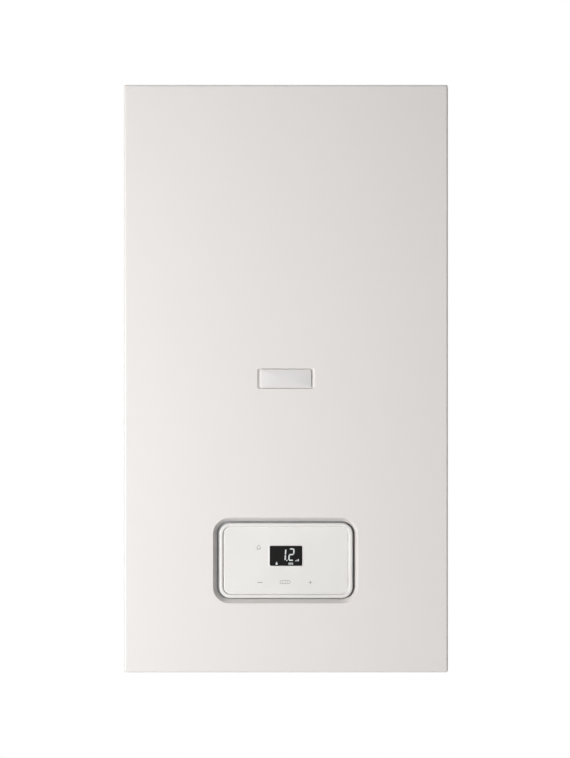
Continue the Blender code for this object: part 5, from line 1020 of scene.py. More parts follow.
def rod(radius, low, high, centre=(0, 0, 0), axes="up", sides=40, edge=0.0005):
    """A round bar or boss along its own Z, with eased ends."""
    profile = [(0, low), (radius, low), (radius, high), (0, high)]
    return lathed(profile, centre, axes, sides, edge)


def hexagon(across_corners, low, high, centre=(0, 0, 0), axes="up", turn=0.0):
    """A hexagon nut: a six-sided bar whose ends are turned down by a chamfer."""
    corner = ring(6) * across_corners
    side = np.stack([corner, (corner + np.roll(corner, -1, axis=0)) / 2], axis=1).reshape(-1, 2)
    near = np.linalg.norm(side, axis=1, keepdims=True)
    round_line = side / near * across_corners * 0.86
    rim = np.minimum(0.0012, (high - low) * 0.2)
    grid = stacked([round_line, side, side, round_line], [low, low + rim, high - rim, high])
    return moved(swung(shut(grid), turn), centre, axes)


def threaded(radius, bore, low, high, pitch, sides=40):
    """A threaded sleeve: the ridge's height is a triangle wave of height / pitch - turn / 2 pi.

    The wave fades out over one pitch at each end, and the sleeve is closed through its bore.
    """
    rows = int((high - low) / pitch * 6) + 1
    z = np.linspace(low, high, rows)[:, None]
    turn = np.arange(sides)[None] / sides
    wave = np.abs(2 * np.mod(z / pitch - turn, 1.0) - 1)
    fade = np.clip(np.minimum(z - low, high - z) / pitch, 0, 1)
    reach = radius - pitch * 0.55 * (1 - wave) * fade - 0.0008 * (1 - fade)
    circle = ring(sides)
    heights = np.broadcast_to(z[..., None], (rows, sides, 1))
    outside = np.concatenate([circle[None] * reach[..., None], heights], axis=-1)
    inside = stacked([circle * bore] * 2, [high, low])
    return sheet(np.concatenate([outside, inside, outside[:1]]))


def spots(centre, radius, angles, axes="front"):
    """Points on a circle round a centre, in X and Z, or in X and Y where the axes point up."""
    along, aside = radius * np.cos(angles), radius * np.sin(angles)
    still = np.zeros(len(along))
    offset = (along, aside, still) if axes == "up" else (along, still, aside)
    return np.array(centre) + np.stack(offset, axis=-1)


def screws(radius, rise, places, axes):
    """Pan-head screws, one at each place."""
    return [moved(pan_head(radius, rise, radius * 0.5, 0.002), at, axes) for at in places]


def fixings(name, parts, body="frame"):
    """A piece of turned steel: screws, bolts, nuts, studs and the like."""
    piece(name, parts, "stainless", body=body, finish="steel")


def boxed(size, centre, radius=0.002, edge=0.0008, axes="up", steps=4):
    """A moulded box about its centre, with its own Z along the named way."""
    width, depth, height = size
    points, faces = cushion_block(width, depth, height, radius, edge, steps)
    return moved((points - [0, 0, height / 2], faces), centre, axes)


def spread(part, reach, rise, angles, place, axes):
    """Copies of a part, moved outwards and along the axis and swung round it to each angle."""
    part = part[0] + np.array([reach, 0, rise]), part[1]
    return [moved(swung(part, angle), place, axes) for angle in angles]


def ridges(radius, crown, starts, steps):
    """Profile points of equal ridges: foot, crown, crown and foot, each one step after a start."""
    reaches = (radius, crown, crown, radius)
    return [(reach, at + step) for at in starts for reach, step in zip(reaches, steps)]


def run_of(path):
    """How far along a path each of its points lies."""
    return np.concatenate([[0], np.cumsum(np.linalg.norm(np.diff(path, axis=0), axis=1))])


# Operators: each builds one piece or one group of like pieces


class BOILER_OT_finishes(Operator):
    """Makes every finish and gives each frame node the one its slot names"""

    bl_idname = "boiler.finishes"
    bl_label = "Finishes"

    def execute(self, context):
        given = settings()
        make_finishes(
            tuple(given.casing.paint), tuple(given.controls.ink), tuple(given.controls.lit)
        )
        for obj in frame["nodes"].values():
            for slot in obj.material_slots:
                slot.material = FINISH[slot.material.name.split(".")[0]]
        return {"FINISHED"}


class BOILER_OT_front_cover(Operator):
    """Builds the pressed front cover, its badge plate and the screw under it"""

    bl_idname = "boiler.front_cover"
    bl_label = "Front cover"

    def execute(self, context):
        given = settings()
        cover = front_cover(given.casing, given.controls)
        piece(
            "cover_pressed", [cover], "casing_paint", ["front_cover"], "cover",
            crease=50.0, wall=given.casing.sheet,
        )
        low, high = corners_of("badge_plate")
        wide, thick, tall = high - low
        x, _, z = middle_of("badge_plate")
        plate = cushion_block(wide, tall, thick, 0.0018, 0.0005, 8)
        plate = moved(plate, (x, high[1], z), "front")
        piece("badge_blank", [plate], "badge_plastic", ["badge_plate"], "cover")
        low, high = corners_of("cover_screw")
        x, y, _ = middle_of("cover_screw")
        head = 0.0015
        screw = pan_head(0.0041, 0.0014, 0.0019, high[2] - low[2] - head)
        screw = moved(screw, (x, y, low[2] + head), "down")
        piece("cover_screw_head", [screw], "stainless", ["cover_screw"], finish="steel")
        return {"FINISHED"}


class BOILER_OT_control_panel(Operator):
    """Builds the fascia with its raised bead, and the display window"""

    bl_idname = "boiler.control_panel"
    bl_label = "Control panel"

    def execute(self, context):
        given = settings().controls
        low, high = corners_of("control_fascia")
        front, face, b = low[1], given.bead_rise, given.bead
        across = np.linspace(0, 1, 9)[1:-1]
        up = np.linspace(0, 1, 5)[1:-1]
        bead = [
            (0.0, high[1] - low[1] - 0.0002), (0.0, 0.0012), (0.0009, 0.0001), (0.0024, 0.0),
            (b - 0.0018, 0.0001), (b - 0.0006, face + 0.001), (b + 0.0002, face + 0.001),
            (b + 0.0004, face), (b + 0.0018, face),
        ]
        panel = face_of("control_fascia", 0.0, given.corner)
        bead = [(inset, inset, depth) for inset, depth in softened(bead, 0.0006, 4)]
        rows = pressed_rows(panel, bead, front, across, up)

        glass_low, glass_high = corners_of("display_window")
        wide, thick, tall = glass_high - glass_low
        x, _, z = middle_of("display_window")
        opening = face_of("display_window", 0.0002, 0.0014)
        lips = [
            (0.002, face), (0.0012, face), (0.001, face - 0.0002), (0.0004, face - 0.0002),
            (0.0001, face), (0.0, face + 0.0005),
        ]
        lips = [(-grow, -grow, depth) for grow, depth in lips]
        window = pressed_rows(opening, lips, front, across, up)
        between = np.linspace(0, 1, 5)[1:-1, None, None]
        flat = rows[-1] * (1 - between) + window[0] * between
        shell = sheet(np.concatenate([rows, flat, window]))
        piece(
            "fascia_shell", [shell], "fascia_plastic", ["control_fascia"], "electronics",
            crease=60.0, wall=0.0017,
        )
        pane = cushion_block(wide, tall, thick, 0.0013, 0.0002, 8)
        pane = moved(pane, (x, glass_high[1], z), "front")
        piece("display_pane", [pane], "display_glass", ["display_window"], "electronics")
        return {"FINISHED"}


class BOILER_OT_display_marks(Operator):
    """Builds the display's lit figures and symbols, and the key marks of the fascia"""

    bl_idname = "boiler.display_marks"
    bl_label = "Display and key marks"

    def execute(self, context):
        given = settings().controls
        x, z = middle_of("display_window")[[0, 2]]
        glass = corners_of("display_window")[0][1]
        h = given.figure_height
        slant, thick = np.radians(4), h * 0.1
        lit = figure(x + 2.7e-3, z - 6.3e-3, h, h * 0.45, "abged", slant, thick)
        lit += figure(x - 7.6e-3, z - 6.3e-3, h * 0.97, h * 0.45, "bc", slant, thick)
        lit += [bar((x + 1.0e-3, z - 5.7e-3), 1.3e-3, 1.3e-3)]
        lit += [flame((x - 11.8e-3, z - 9.2e-3), 2.6e-3, 4.2e-3)]
        lit += [bar((x + (3.6 + 1.2 * i) * 1e-3, z - 9.8e-3), 0.7e-3, 2.6e-3) for i in range(5)]
        for i in range(3):
            foot = (x + (12.2 + 1.7 * i) * 1e-3, z - (6.3 - 0.45 * i) * 1e-3)
            lit += [bar(foot, 1.0e-3, (1.0 + 0.9 * i) * 1e-3)]
        marks = [on_face(line, glass - 0.00006, 0.00012) for line in lit]
        piece("display_figures", marks, "white_plastic", body="electronics", finish="lit")

        key_z = z - 33.5e-3
        middle_key = (-1.1e-3, key_z + 0.4e-3)
        flat = (corners_of("control_fascia")[0][1] + given.bead_rise - 0.00004, 0.0001)
        ink = [bar((-32.8e-3, key_z), 6.0e-3, 0.8e-3), bar((30.7e-3, key_z), 3.8e-3, 0.8e-3)]
        ink += [bar((30.7e-3, key_z + rise), 0.8e-3, 1.5e-3) for rise in (1.25e-3, -1.25e-3)]
        ink += [disc((-1.1e-3 + 3.1e-3 * i, key_z + 0.4e-3), 0.5e-3) for i in (-1, 0, 1)]
        marks = [on_face(line, *flat) for line in ink]
        pill = [
            outline(wide, tall, tall / 2, middle_key, 8)
            for wide, tall in ((13.3e-3, 4.3e-3), (12.2e-3, 3.2e-3))
        ]
        drop = [
            flame((-34.5e-3, z + 11.2e-3), wide, tall)
            for wide, tall in ((5.0e-3, 6.8e-3), (3.4e-3, 5.2e-3))
        ]
        marks += [loop_on_face(*pill, *flat), loop_on_face(*drop, *flat)]
        piece("key_marks", marks, "grey_plastic", body="electronics", finish="ink")
        return {"FINISHED"}


class BOILER_OT_heat_exchanger(Operator):
    """Builds the heat exchanger: shell, coil, burner, door, electrode and transformer"""

    bl_idname = "boiler.heat_exchanger"
    bl_label = "Heat exchanger"

    def execute(self, context):
        sides = settings().unit.round_sides
        low, high = corners_of("heat_exchanger_shell")
        level = middle_of("burner_door")[2]
        top, rear, length = high[2], high[1], high[1] - low[1]
        r, wall, rim = high[0] - 0.007, 0.0035, 0.006
        crown, lip, inside = r + 0.0035, r + 0.007, r - wall
        beads = length * np.array([0.2, 0.34, 0.485, 0.63, 0.77])
        profile = [
            (0, 0), (r - 0.01, 0), (r, 0.01),
            *ridges(r, crown, beads, (-0.005, -0.0022, 0.0022, 0.005)),
            (r, length - rim), (lip, length - rim), (lip, length), (inside, length),
            (inside, 0.012), (inside - 0.008, wall), (0, wall),
        ]
        spigot = [
            (0.0318, top - 0.04), (0.0365, top - 0.04), (0.0365, top - 0.008),
            (0.0385, top - 0.007), (0.0385, top - 0.002), (0.037, top), (0.0318, top),
            (0.0318, top - 0.04),
        ]
        parts = [
            lathed(profile, (0, rear, level), "front", sides, 0.0009),
            lathed(spigot, (0, middle_of("flue_duct")[1], 0), "up", sides),
        ]
        for node, x in (("flow_pipe", -PORT_X), ("return_pipe", PORT_X)):
            foot = corners_of(node)[1][2] + GAP
            at = (x, middle_of(node)[1], 0)
            parts.append(rod(0.012, foot + 0.004, foot + 0.034, at))
            parts.append(hexagon(0.015, foot, foot + 0.009, at, "up", 0.3))
        drain = (0, corners_of("condensate_hose")[1][1] - DRAIN_INSET, 0)
        parts.append(rod(0.011, low[2], low[2] + 0.017, drain))
        parts.append(rod(0.0128, low[2] + 0.0005, low[2] + 0.0035, drain))
        piece("chamber_shell", parts, "black_plastic", ["heat_exchanger_shell"])

        turns, coil_radius, tube, section = 4, 0.08, 0.0085, 14
        pitch = (length - 0.069) / turns
        run = pitch * turns
        a = np.linspace(0, 2 * np.pi * turns, 48 * turns + 1)[:, None]
        c = (np.arange(section) * 2 * np.pi / section)[None]
        reach = coil_radius + tube * np.cos(c)
        height = pitch * a / (2 * np.pi) + (pitch / 2 - 0.0012) * np.sin(c)
        coil = np.stack([reach * np.cos(a), reach * np.sin(a), height], axis=-1)
        start = rear - (length - run) / 2
        parts = [moved(shut(coil[:, ::-1]), (0, start, level), "front")]
        for x in (-0.095, 0.095):
            at, size = (x, start - run / 2, level), (0.0125, 0.01, run * 0.96)
            parts.append(boxed(size, at, 0.001, 0.0005, "front"))
        piece("coil_winding", parts, "stainless", ["exchanger_coil"])

        burner_low, burner_high = corners_of("burner_tube")
        reach, r, skin = burner_high[1] - burner_low[1], 0.034, 0.0012
        profile = [
            (0, -reach), (r, -reach), (r, -0.0014), (r + 0.007, -0.0014), (r + 0.007, 0),
            (r - skin, 0), (r - skin, skin - reach), (0, skin - reach),
        ]
        burner = lathed(profile, (0, burner_low[1], level), "front", sides)
        piece("burner_sleeve", [burner], "stainless", ["burner_tube"], finish="burner_mesh")

        door_high = corners_of("burner_door")[1]
        r, port, thick = door_high[0], 0.029, 0.007
        profile = [
            (0.018, 0), (r, 0), (r, thick), (r - 0.01, thick), (r - 0.012, thick - 0.001),
            (port + 0.01, thick - 0.001), (port + 0.003, thick + 0.002), (port, thick + 0.006),
            (port, thick + 0.012), (0.018, thick + 0.012), (0.018, 0),
        ]
        place = (0, door_high[1], level)
        parts = [lathed(profile, place, "front", sides, 0.0009)]
        inner, outer = port + 0.006, r - 0.016
        angles = np.pi / 8 * (np.arange(16) + 0.5)
        angles = angles[np.abs(angles - np.radians(135)) >= np.radians(12)]
        fin = cushion_block(outer - inner, 0.0026, 0.01, 0.0012, 0.0009, 3)
        parts += spread(fin, (inner + outer) / 2, thick - 0.002, angles, place, "front")
        angles = np.pi / 3 * (np.arange(6) + 0.5)
        stud_circle = 0.1065
        studs = spots(place, stud_circle, angles)
        for at in studs:
            parts.append(rod(0.0062, thick - 0.001, thick + 0.0006, at, "front", 24, 0.0002))
        piece("door_casting", parts, "cast_aluminium", ["burner_door"])
        parts = []
        for at, angle in zip(studs, angles):
            parts.append(hexagon(0.0052, thick + 0.0006, thick + 0.0046, at, "front", angle))
            parts.append(rod(0.0024, thick, thick + 0.0056, at, "front", 16, 0.0004))
        fixings("door_nuts", parts)

        rise = thick + 0.008
        neck, sheds = 0.0049, rise - 0.0055 + np.arange(3) * 0.0024
        profile = [
            (0, -0.004), (neck, -0.004), (neck, rise - 0.006),
            *ridges(neck, 0.0062, sheds, (0, 0.0006, 0.0014, 0.002)),
            (0.0036, rise + 0.003), (0.0034, rise + 0.014), (0, rise + 0.014),
        ]
        x, _, z = middle_of("ignition_electrode")
        at = (x, door_high[1], z)
        insulator = lathed(profile, at, "front", 32, 0.0003)
        piece("electrode_insulator", [insulator], "ceramic", ["ignition_electrode"])
        needle = rod(0.0012, -0.03, -0.003, at, "front", 16, 0.0003)
        fixings("electrode_rod", [needle])

        low, high = corners_of("ignition_transformer")
        low = low + (0, 0.012, 0)
        (wide, deep, tall), centre = high - low, (low + high) / 2
        socket = centre + [0, 0, tall / 4]
        foot, foot_size = centre + [0, 0, -0.012], (wide - 0.006, 0.01, deep - 0.012)
        parts = [
            boxed((wide, tall, deep), centre, 0.003, 0.0012, "front"),
            boxed(foot_size, foot, 0.001, 0.0004, "front"),
            rod(0.0072, deep / 2 - 0.002, deep / 2 + 0.0118, socket, "front", 32),
            rod(0.0082, deep / 2 - 0.001, deep / 2 + 0.002, socket, "front", 32),
        ]
        piece("igniter_case", parts, "black_plastic", ["ignition_transformer"])
        return {"FINISHED"}


class BOILER_OT_fan(Operator):
    """Builds the fan's motor, its mixing tube, the elbow and the bolts of the housing"""

    bl_idname = "boiler.fan"
    bl_label = "Fan and mixture duct"

    def execute(self, context):
        sides = settings().unit.round_sides
        x, _, z = middle_of("fan_impeller")
        house_low, house_high = corners_of("fan_housing")
        front, rear = house_low[1], house_high[1]
        r, depth, bore = 0.041, 0.034, 0.0034
        waist = r - 0.0015
        profile = [
            (0, 0.018), (bore, 0.018), (bore, GAP), (r + 0.006, GAP), (r + 0.006, 0.004),
            (r, 0.006), (r, 0.01), (waist, 0.011), (waist, 0.013), (r, 0.014), (r, 0.018),
            (waist, 0.019), (waist, 0.021), (r, 0.022), (r, depth - 0.006), (r - 0.006, depth),
            (0.02, depth), (0.018, depth - 0.0015), (0.008, depth - 0.0015), (0.006, depth),
            (0, depth),
        ]
        place = (x, front, z)
        rib = cushion_block(0.011, 0.0018, 0.0012, 0.0008, 0.0003, 2)
        plug = (x - r + 0.004, front - depth + 0.012, z)
        parts = [
            lathed(profile, place, "front", sides),
            *spread(rib, 0.028, depth - 0.0008, np.pi / 6 * np.arange(12), place, "front"),
            boxed((0.022, 0.016, 0.014), plug, 0.0015, 0.0006, "front"),
        ]
        piece("fan_motor_can", parts, "black_plastic", ["fan_motor"])
        angles = np.radians([20, 140, 260])
        bolts = screws(0.003, 0.0016, spots((x, front - 0.0037, z), 0.044, angles), "front")
        angles = np.radians([75, 40, 0, -45, -90, -140])
        reach = np.array([0.0495, 0.051, 0.0535, 0.0565, 0.0585, 0.0605])
        bolts += screws(0.0026, 0.0014, spots(place, reach, angles), "front")
        fixings("fan_bolts", bolts)

        m, wall = 0.026, 0.003
        profile = [
            (0.022, GAP), (m + 0.008, GAP), (m + 0.008, 0.005), (m, 0.006), (m - 0.002, 0.014),
            (m - 0.005, 0.022), (m - 0.005, 0.032), (m - 0.003, 0.042), (m, 0.054),
            (m + 0.005, 0.06), (m + 0.005 - wall, 0.06), (m - wall, 0.052),
            (m - 0.005 - wall, 0.03), (m - 0.005 - wall, 0.024), (0.022, GAP),
        ]
        nozzle = [
            (0, m - 0.0065), (0.0085, m - 0.0065), (0.0085, m + 0.006), (0.0098, m + 0.0065),
            (0.0098, m + 0.01), (0, m + 0.01),
        ]
        nozzle_y = corners_of("gas_feed_pipe")[1][1] - 0.006
        parts = [
            lathed(profile, (x, rear, z), "back", sides),
            lathed(nozzle, (x, nozzle_y, z), "right", 32),
        ]
        piece("mixing_venturi", parts, "black_plastic", ["mixing_tube"])

        elbow_low, elbow_high = corners_of("mixture_elbow")
        level = middle_of("burner_door")[2]
        end = corners_of("burner_door")[0][1] - 0.0006
        outlet_x, across_y, low = elbow_low + (0.027, 0.0205, 0)
        turn = (0, across_y, level)
        riser = [(outlet_x, across_y, low + 0.001), (outlet_x, across_y, level), turn]
        wide = bent(riser, 0.048, 16)
        tight = bent([wide[-2], turn, (0, end, level)], 0.0205, 12)
        foot = (outlet_x, (front + rear) / 2, low)
        flange = cushion_block(0.054, rear - front - 0.002, 0.005, 0.004, 0.0008, 5)
        head = (0, elbow_high[1], level)
        parts = [
            pipe(np.concatenate([wide[:-1], tight[1:]]), 0.019, 40),
            moved(flange, foot),
            rod(0.029, 0.0, 0.006, head, "front", sides, 0.0008),
            rod(0.0225, 0.004, 0.0085, head, "front", sides, 0.0008),
            rod(0.0225, 0.0, 0.008, (outlet_x, across_y, low), "up", sides, 0.0008),
        ]
        piece("mixture_duct", parts, "cast_aluminium", ["mixture_elbow"])
        places = spots((0, elbow_high[1] - 0.006, level), 0.0255, DIAGONALS)
        bolts = screws(0.0026, 0.0016, places, "front")
        places = [
            (outlet_x + dx, foot[1] + dy, low + 0.005)
            for dx in (-0.0235, 0.0235) for dy in (-0.018, 0.018)
        ]
        bolts += screws(0.0024, 0.0016, places, "up")
        fixings("duct_bolts", bolts)
        return {"FINISHED"}


class BOILER_OT_gas(Operator):
    """Builds the gas valve with its coils, and the two gas pipes with their nuts"""

    bl_idname = "boiler.gas"
    bl_label = "Gas valve and pipes"

    def execute(self, context):
        low, high = corners_of("gas_valve_body")
        pipe_low, pipe_high = corners_of("gas_pipe")
        feed_low, feed_high = corners_of("gas_feed_pipe")
        rear, depth = high[1] - 0.01, 0.052
        low = np.array([low[0], rear - depth, low[2] + 0.014])
        high = np.array([high[0], rear, high[2]])
        centre = (low + high) / 2
        x, y, z = centre
        w, d, h = high - low
        fan_level = middle_of("fan_impeller")[2]
        feed_radius = 0.006
        outlet_x = feed_high[0] - feed_radius
        parts = [
            boxed((w, h, d - 0.016), centre + [0, 0.004, 0], 0.006, 0.0016, "front"),
            boxed((w - 0.006, h - 0.006, d), centre, 0.005, 0.0016, "front"),
            boxed((w, 0.005, d - 0.01), centre + [0, 0, -h / 8], 0.002, 0.0006, "front"),
            rod(0.014, -0.014, 0.004, (x, y, low[2])),
            rod(0.0165, -0.014, -0.006, (x, y, low[2]), "up", 8, 0.0004),
            rod(0.01, -0.002, 0.01, (outlet_x, high[1], fan_level), "back", 32),
        ]
        piece("valve_casting", parts, "cast_aluminium", ["gas_valve_body"])
        cap = [
            (0, 0), (0.01, 0), (0.01, 0.009), (0.008, 0.011), (0.0072, 0.0158), (0.005, 0.0158),
            (0.0046, 0.014), (0, 0.014),
        ]
        parts = [lathed(cap, (x + w / 4, low[1], z - h / 4), "front", 40, 0.0004)]
        coil_x = (x + (-w / 4 - 0.001), x + (w / 4 - 0.003))
        for at in coil_x:
            at = (at, low[1] - 0.0078, z + h / 6)
            parts.append(boxed((0.026, 0.034, 0.0152), at, 0.003, 0.0012, "front"))
        piece("valve_coils", parts, "black_plastic")
        offsets = (
            (-0.028, -0.031), (0.004, -0.031), (-0.028, 0.033), (0.028, 0.033), (-0.028, -0.012),
            (0.029, -0.002),
        )
        parts = screws(0.0026, 0.0016, [(x + dx, low[1], z + dz) for dx, dz in offsets], "front")
        for at in coil_x:
            at = (at, low[1], z + h / 6)
            parts.append(rod(0.0045, 0.015, 0.0162, at, "front", 24, 0.0003))
        fixings("valve_screws", parts)

        sides = settings().unit.pipe_sides
        foot, top = pipe_low[2], pipe_high[2]
        shelf = top - 0.0477
        stub_y = middle_of("gas_stub")[1]
        route = [(x, y, top), (x, y, shelf), (0, stub_y, shelf), (0, stub_y, foot)]
        inlet = pipe(bent(route, 0.024, 12), LARGE_PIPE, sides)
        piece("gas_inlet_pipe", [inlet], "copper", ["gas_pipe"])
        meet = feed_high[1] - feed_radius
        start, end = (outlet_x, feed_low[1], fan_level), (feed_low[0], meet, fan_level)
        route = [start, (outlet_x, meet, fan_level), end]
        feed = pipe(bent(route, 0.012, 8), feed_radius, sides)
        piece("gas_feed_tube", [feed], "stainless", ["gas_feed_pipe"])
        parts = [
            hexagon(0.015, top - 0.016, top - 0.001, (x, y, 0), "up", 0.2),
            hexagon(0.0158, foot + 0.0004, foot + 0.013, (0, stub_y, 0), "up", 0.1),
            hexagon(0.0094, 0.0005, 0.0085, start, "back", 0.2),
            hexagon(0.0094, 0.0005, 0.0085, end, "right", 0.2),
        ]
        piece("gas_nuts", parts, "brass")
        return {"FINISHED"}


class BOILER_OT_flue(Operator):
    """Builds the flue duct and the collar in the roof, with its seals and test caps"""

    bl_idname = "boiler.flue"
    bl_label = "Flue"

    def execute(self, context):
        sides = settings().unit.round_sides
        duct_low, duct_high = corners_of("flue_duct")
        low, high = corners_of("flue_collar")
        at = (0.0, middle_of("flue_duct")[1], 0.0)
        joint = corners_of("heat_exchanger_shell")[1][2]
        r, wall = 0.0315, 0.002
        profile = [
            (r - wall, duct_low[2]), (r, duct_low[2]), (r, joint + GAP),
            (r + 0.004, joint + 0.0006), (r + 0.004, joint + 0.0045), (r, joint + 0.0052),
            (r, duct_high[2]), (r - wall, duct_high[2]), (r - wall, duct_low[2]),
        ]
        duct = lathed(profile, at, "up", sides, 0.0004)
        piece("flue_pipe", [duct], "white_plastic", ["flue_duct"])

        floor, top = high[2] - 0.0115 + GAP, high[2]
        outer, rim, screw_circle = 0.05, 0.07, 0.06
        bore, sleeve, inner = outer - 0.0025, r + 0.0028, r + GAP
        profile = [
            (bore, floor), (rim, floor), (rim, floor + 0.003), (outer + 0.001, floor + 0.003),
            (outer, floor + 0.004), (outer, top - 0.0012), (outer - 0.001, top), (bore, top),
            (bore, floor),
        ]
        centring = [
            (inner, low[2]), (sleeve, low[2]), (sleeve, top - 0.002), (inner, top - 0.002),
            (inner, low[2]),
        ]
        spoke = cushion_block(outer - r - 0.002, 0.003, 0.006, 0.0006, 0.0006, 2)
        angles = 2 * np.pi * np.arange(3) / 3 + np.pi / 2
        parts = [
            lathed(profile, at, "up", sides, 0.0005),
            lathed(centring, at, "up", sides, 0.0005),
            *spread(spoke, (outer + r) / 2, floor + 0.001, angles, at, "up"),
        ]
        angles = np.radians([-15, 195])
        for spot, angle in zip(spots(at, screw_circle, angles, "up"), angles):
            parts.append(rod(0.0075, floor + 0.002, floor + 0.006, spot, "up", 32))
            parts.append(hexagon(0.005, floor + 0.0055, floor + 0.0086, spot, "up", angle))
        piece("collar_moulding", parts, "black_plastic", ["flue_collar"])
        seals = (
            [(sleeve, top - 0.006), (r + 0.0046, top - 0.005), (sleeve, top - 0.004)],
            [(bore, top - 0.0055), (bore, top - 0.0035), (outer - 0.0045, top - 0.0045)],
            [
                (rim, floor - 0.0002), (rim + 0.0014, floor - 0.0002),
                (rim + 0.0014, floor + 0.0012), (rim, floor + 0.0016),
            ],
        )
        parts = [lathed([*line, line[0]], at, "up", sides, 0) for line in seals]
        piece("collar_seals", parts, "rubber", finish="felt")
        places = spots((0, at[1], floor + 0.003), screw_circle, DIAGONALS, "up")
        fixings("collar_screws", screws(0.004, 0.0022, places, "up"))
        return {"FINISHED"}


class BOILER_OT_expansion_vessel(Operator):
    """Builds the flat expansion vessel with its crimped seam, and its hose"""

    bl_idname = "boiler.expansion_vessel"
    bl_label = "Expansion vessel"

    def execute(self, context):
        low, high = corners_of("expansion_vessel")
        foot, top = low[2] + 0.012, high[2] - 0.012
        tall, deep = top - foot, 0.2
        half = (high[0] - low[0]) / 2
        rear = low[1] + deep
        centre = np.array([(low[0] + high[0]) / 2, rear - deep / 2, (foot + top) / 2])
        x, y, z = centre
        profile = [
            (0.034, half - 0.0035), (0.03, half), (0.011, half - 0.009), (0.0055, 0.0045),
            (0.004, 0.0034), (0.0, 0.0028),
        ]
        profile += [(inset, -height) for inset, height in profile[::-1]]
        profile = softened(profile, 0.006, 4)[::-1]
        rows = [
            outline(tall - 2 * inset, deep - 2 * inset, max(0.052 - inset, 0.016), (0, 0), 12)
            for inset in profile[:, 0]
        ]
        panel = stacked(rows, profile[:, 1])
        inner = panel[[0, -1]].copy()
        inner[..., :2] *= 0.86
        inner[0, :, 2] = panel[0, 0, 2] - 0.0006
        inner[1, :, 2] = panel[-1, 0, 2] + 0.0006
        shell = shut(np.concatenate([inner[:1], panel, inner[1:]]))
        stem = [
            (0, top - 0.01), (0.006, top - 0.01), (0.006, top + 0.009), (0.0045, top + 0.0115),
            (0, top + 0.0115),
        ]
        reach = -rear - 0.0018
        bracket = (x, rear + reach / 2 - 0.003, z)
        parts = [
            moved(shell, centre, "right"),
            rod(0.008, foot - 0.012, foot + 0.01, (x, y, 0), "up", 32),
            lathed(stem, (x, y - 0.03, 0), "up", 32),
            boxed((0.004, reach + 0.006, 0.12), bracket, 0.0008, 0.0004),
        ]
        piece("vessel_shells", parts, "vessel_paint", ["expansion_vessel"], crease=50.0)
        nut = hexagon(0.0125, foot - 0.0115, foot - 0.002, (x, y, 0), "up", 0.2)
        cap = rod(0.0068, top + 0.003, top + 0.0119, (x, y - 0.03, 0), "up", 12, 0.0006)
        piece("vessel_fittings", [nut, cap], "brass")

        hose_low, hose_high = corners_of("vessel_hose")
        z, end_z = hose_high[2], hose_low[2]
        end_x, stub_y = 0.163, middle_of("heating_return_stub")[1]
        route = [
            (x, y, z), (x, y, z - 0.012), (x + 0.016, y - 0.002, z - 0.045),
            (x + 0.02, y, z - 0.09), (x + 0.014, stub_y, end_z + 0.0397),
            (end_x, stub_y, end_z + 0.0137), (end_x, stub_y, end_z),
        ]
        hose = pipe(flowing(route, 14), 0.006, settings().unit.pipe_sides)
        piece("vessel_flexible", [hose], "rubber", ["vessel_hose"])
        ferrules = [
            rod(0.0074, z - 0.014, z - GAP, (x, y, 0), "up", 32),
            rod(0.0074, end_z + GAP, end_z + 0.013, (end_x, stub_y, 0), "up", 32),
        ]
        fixings("hose_ferrules", ferrules)
        return {"FINISHED"}


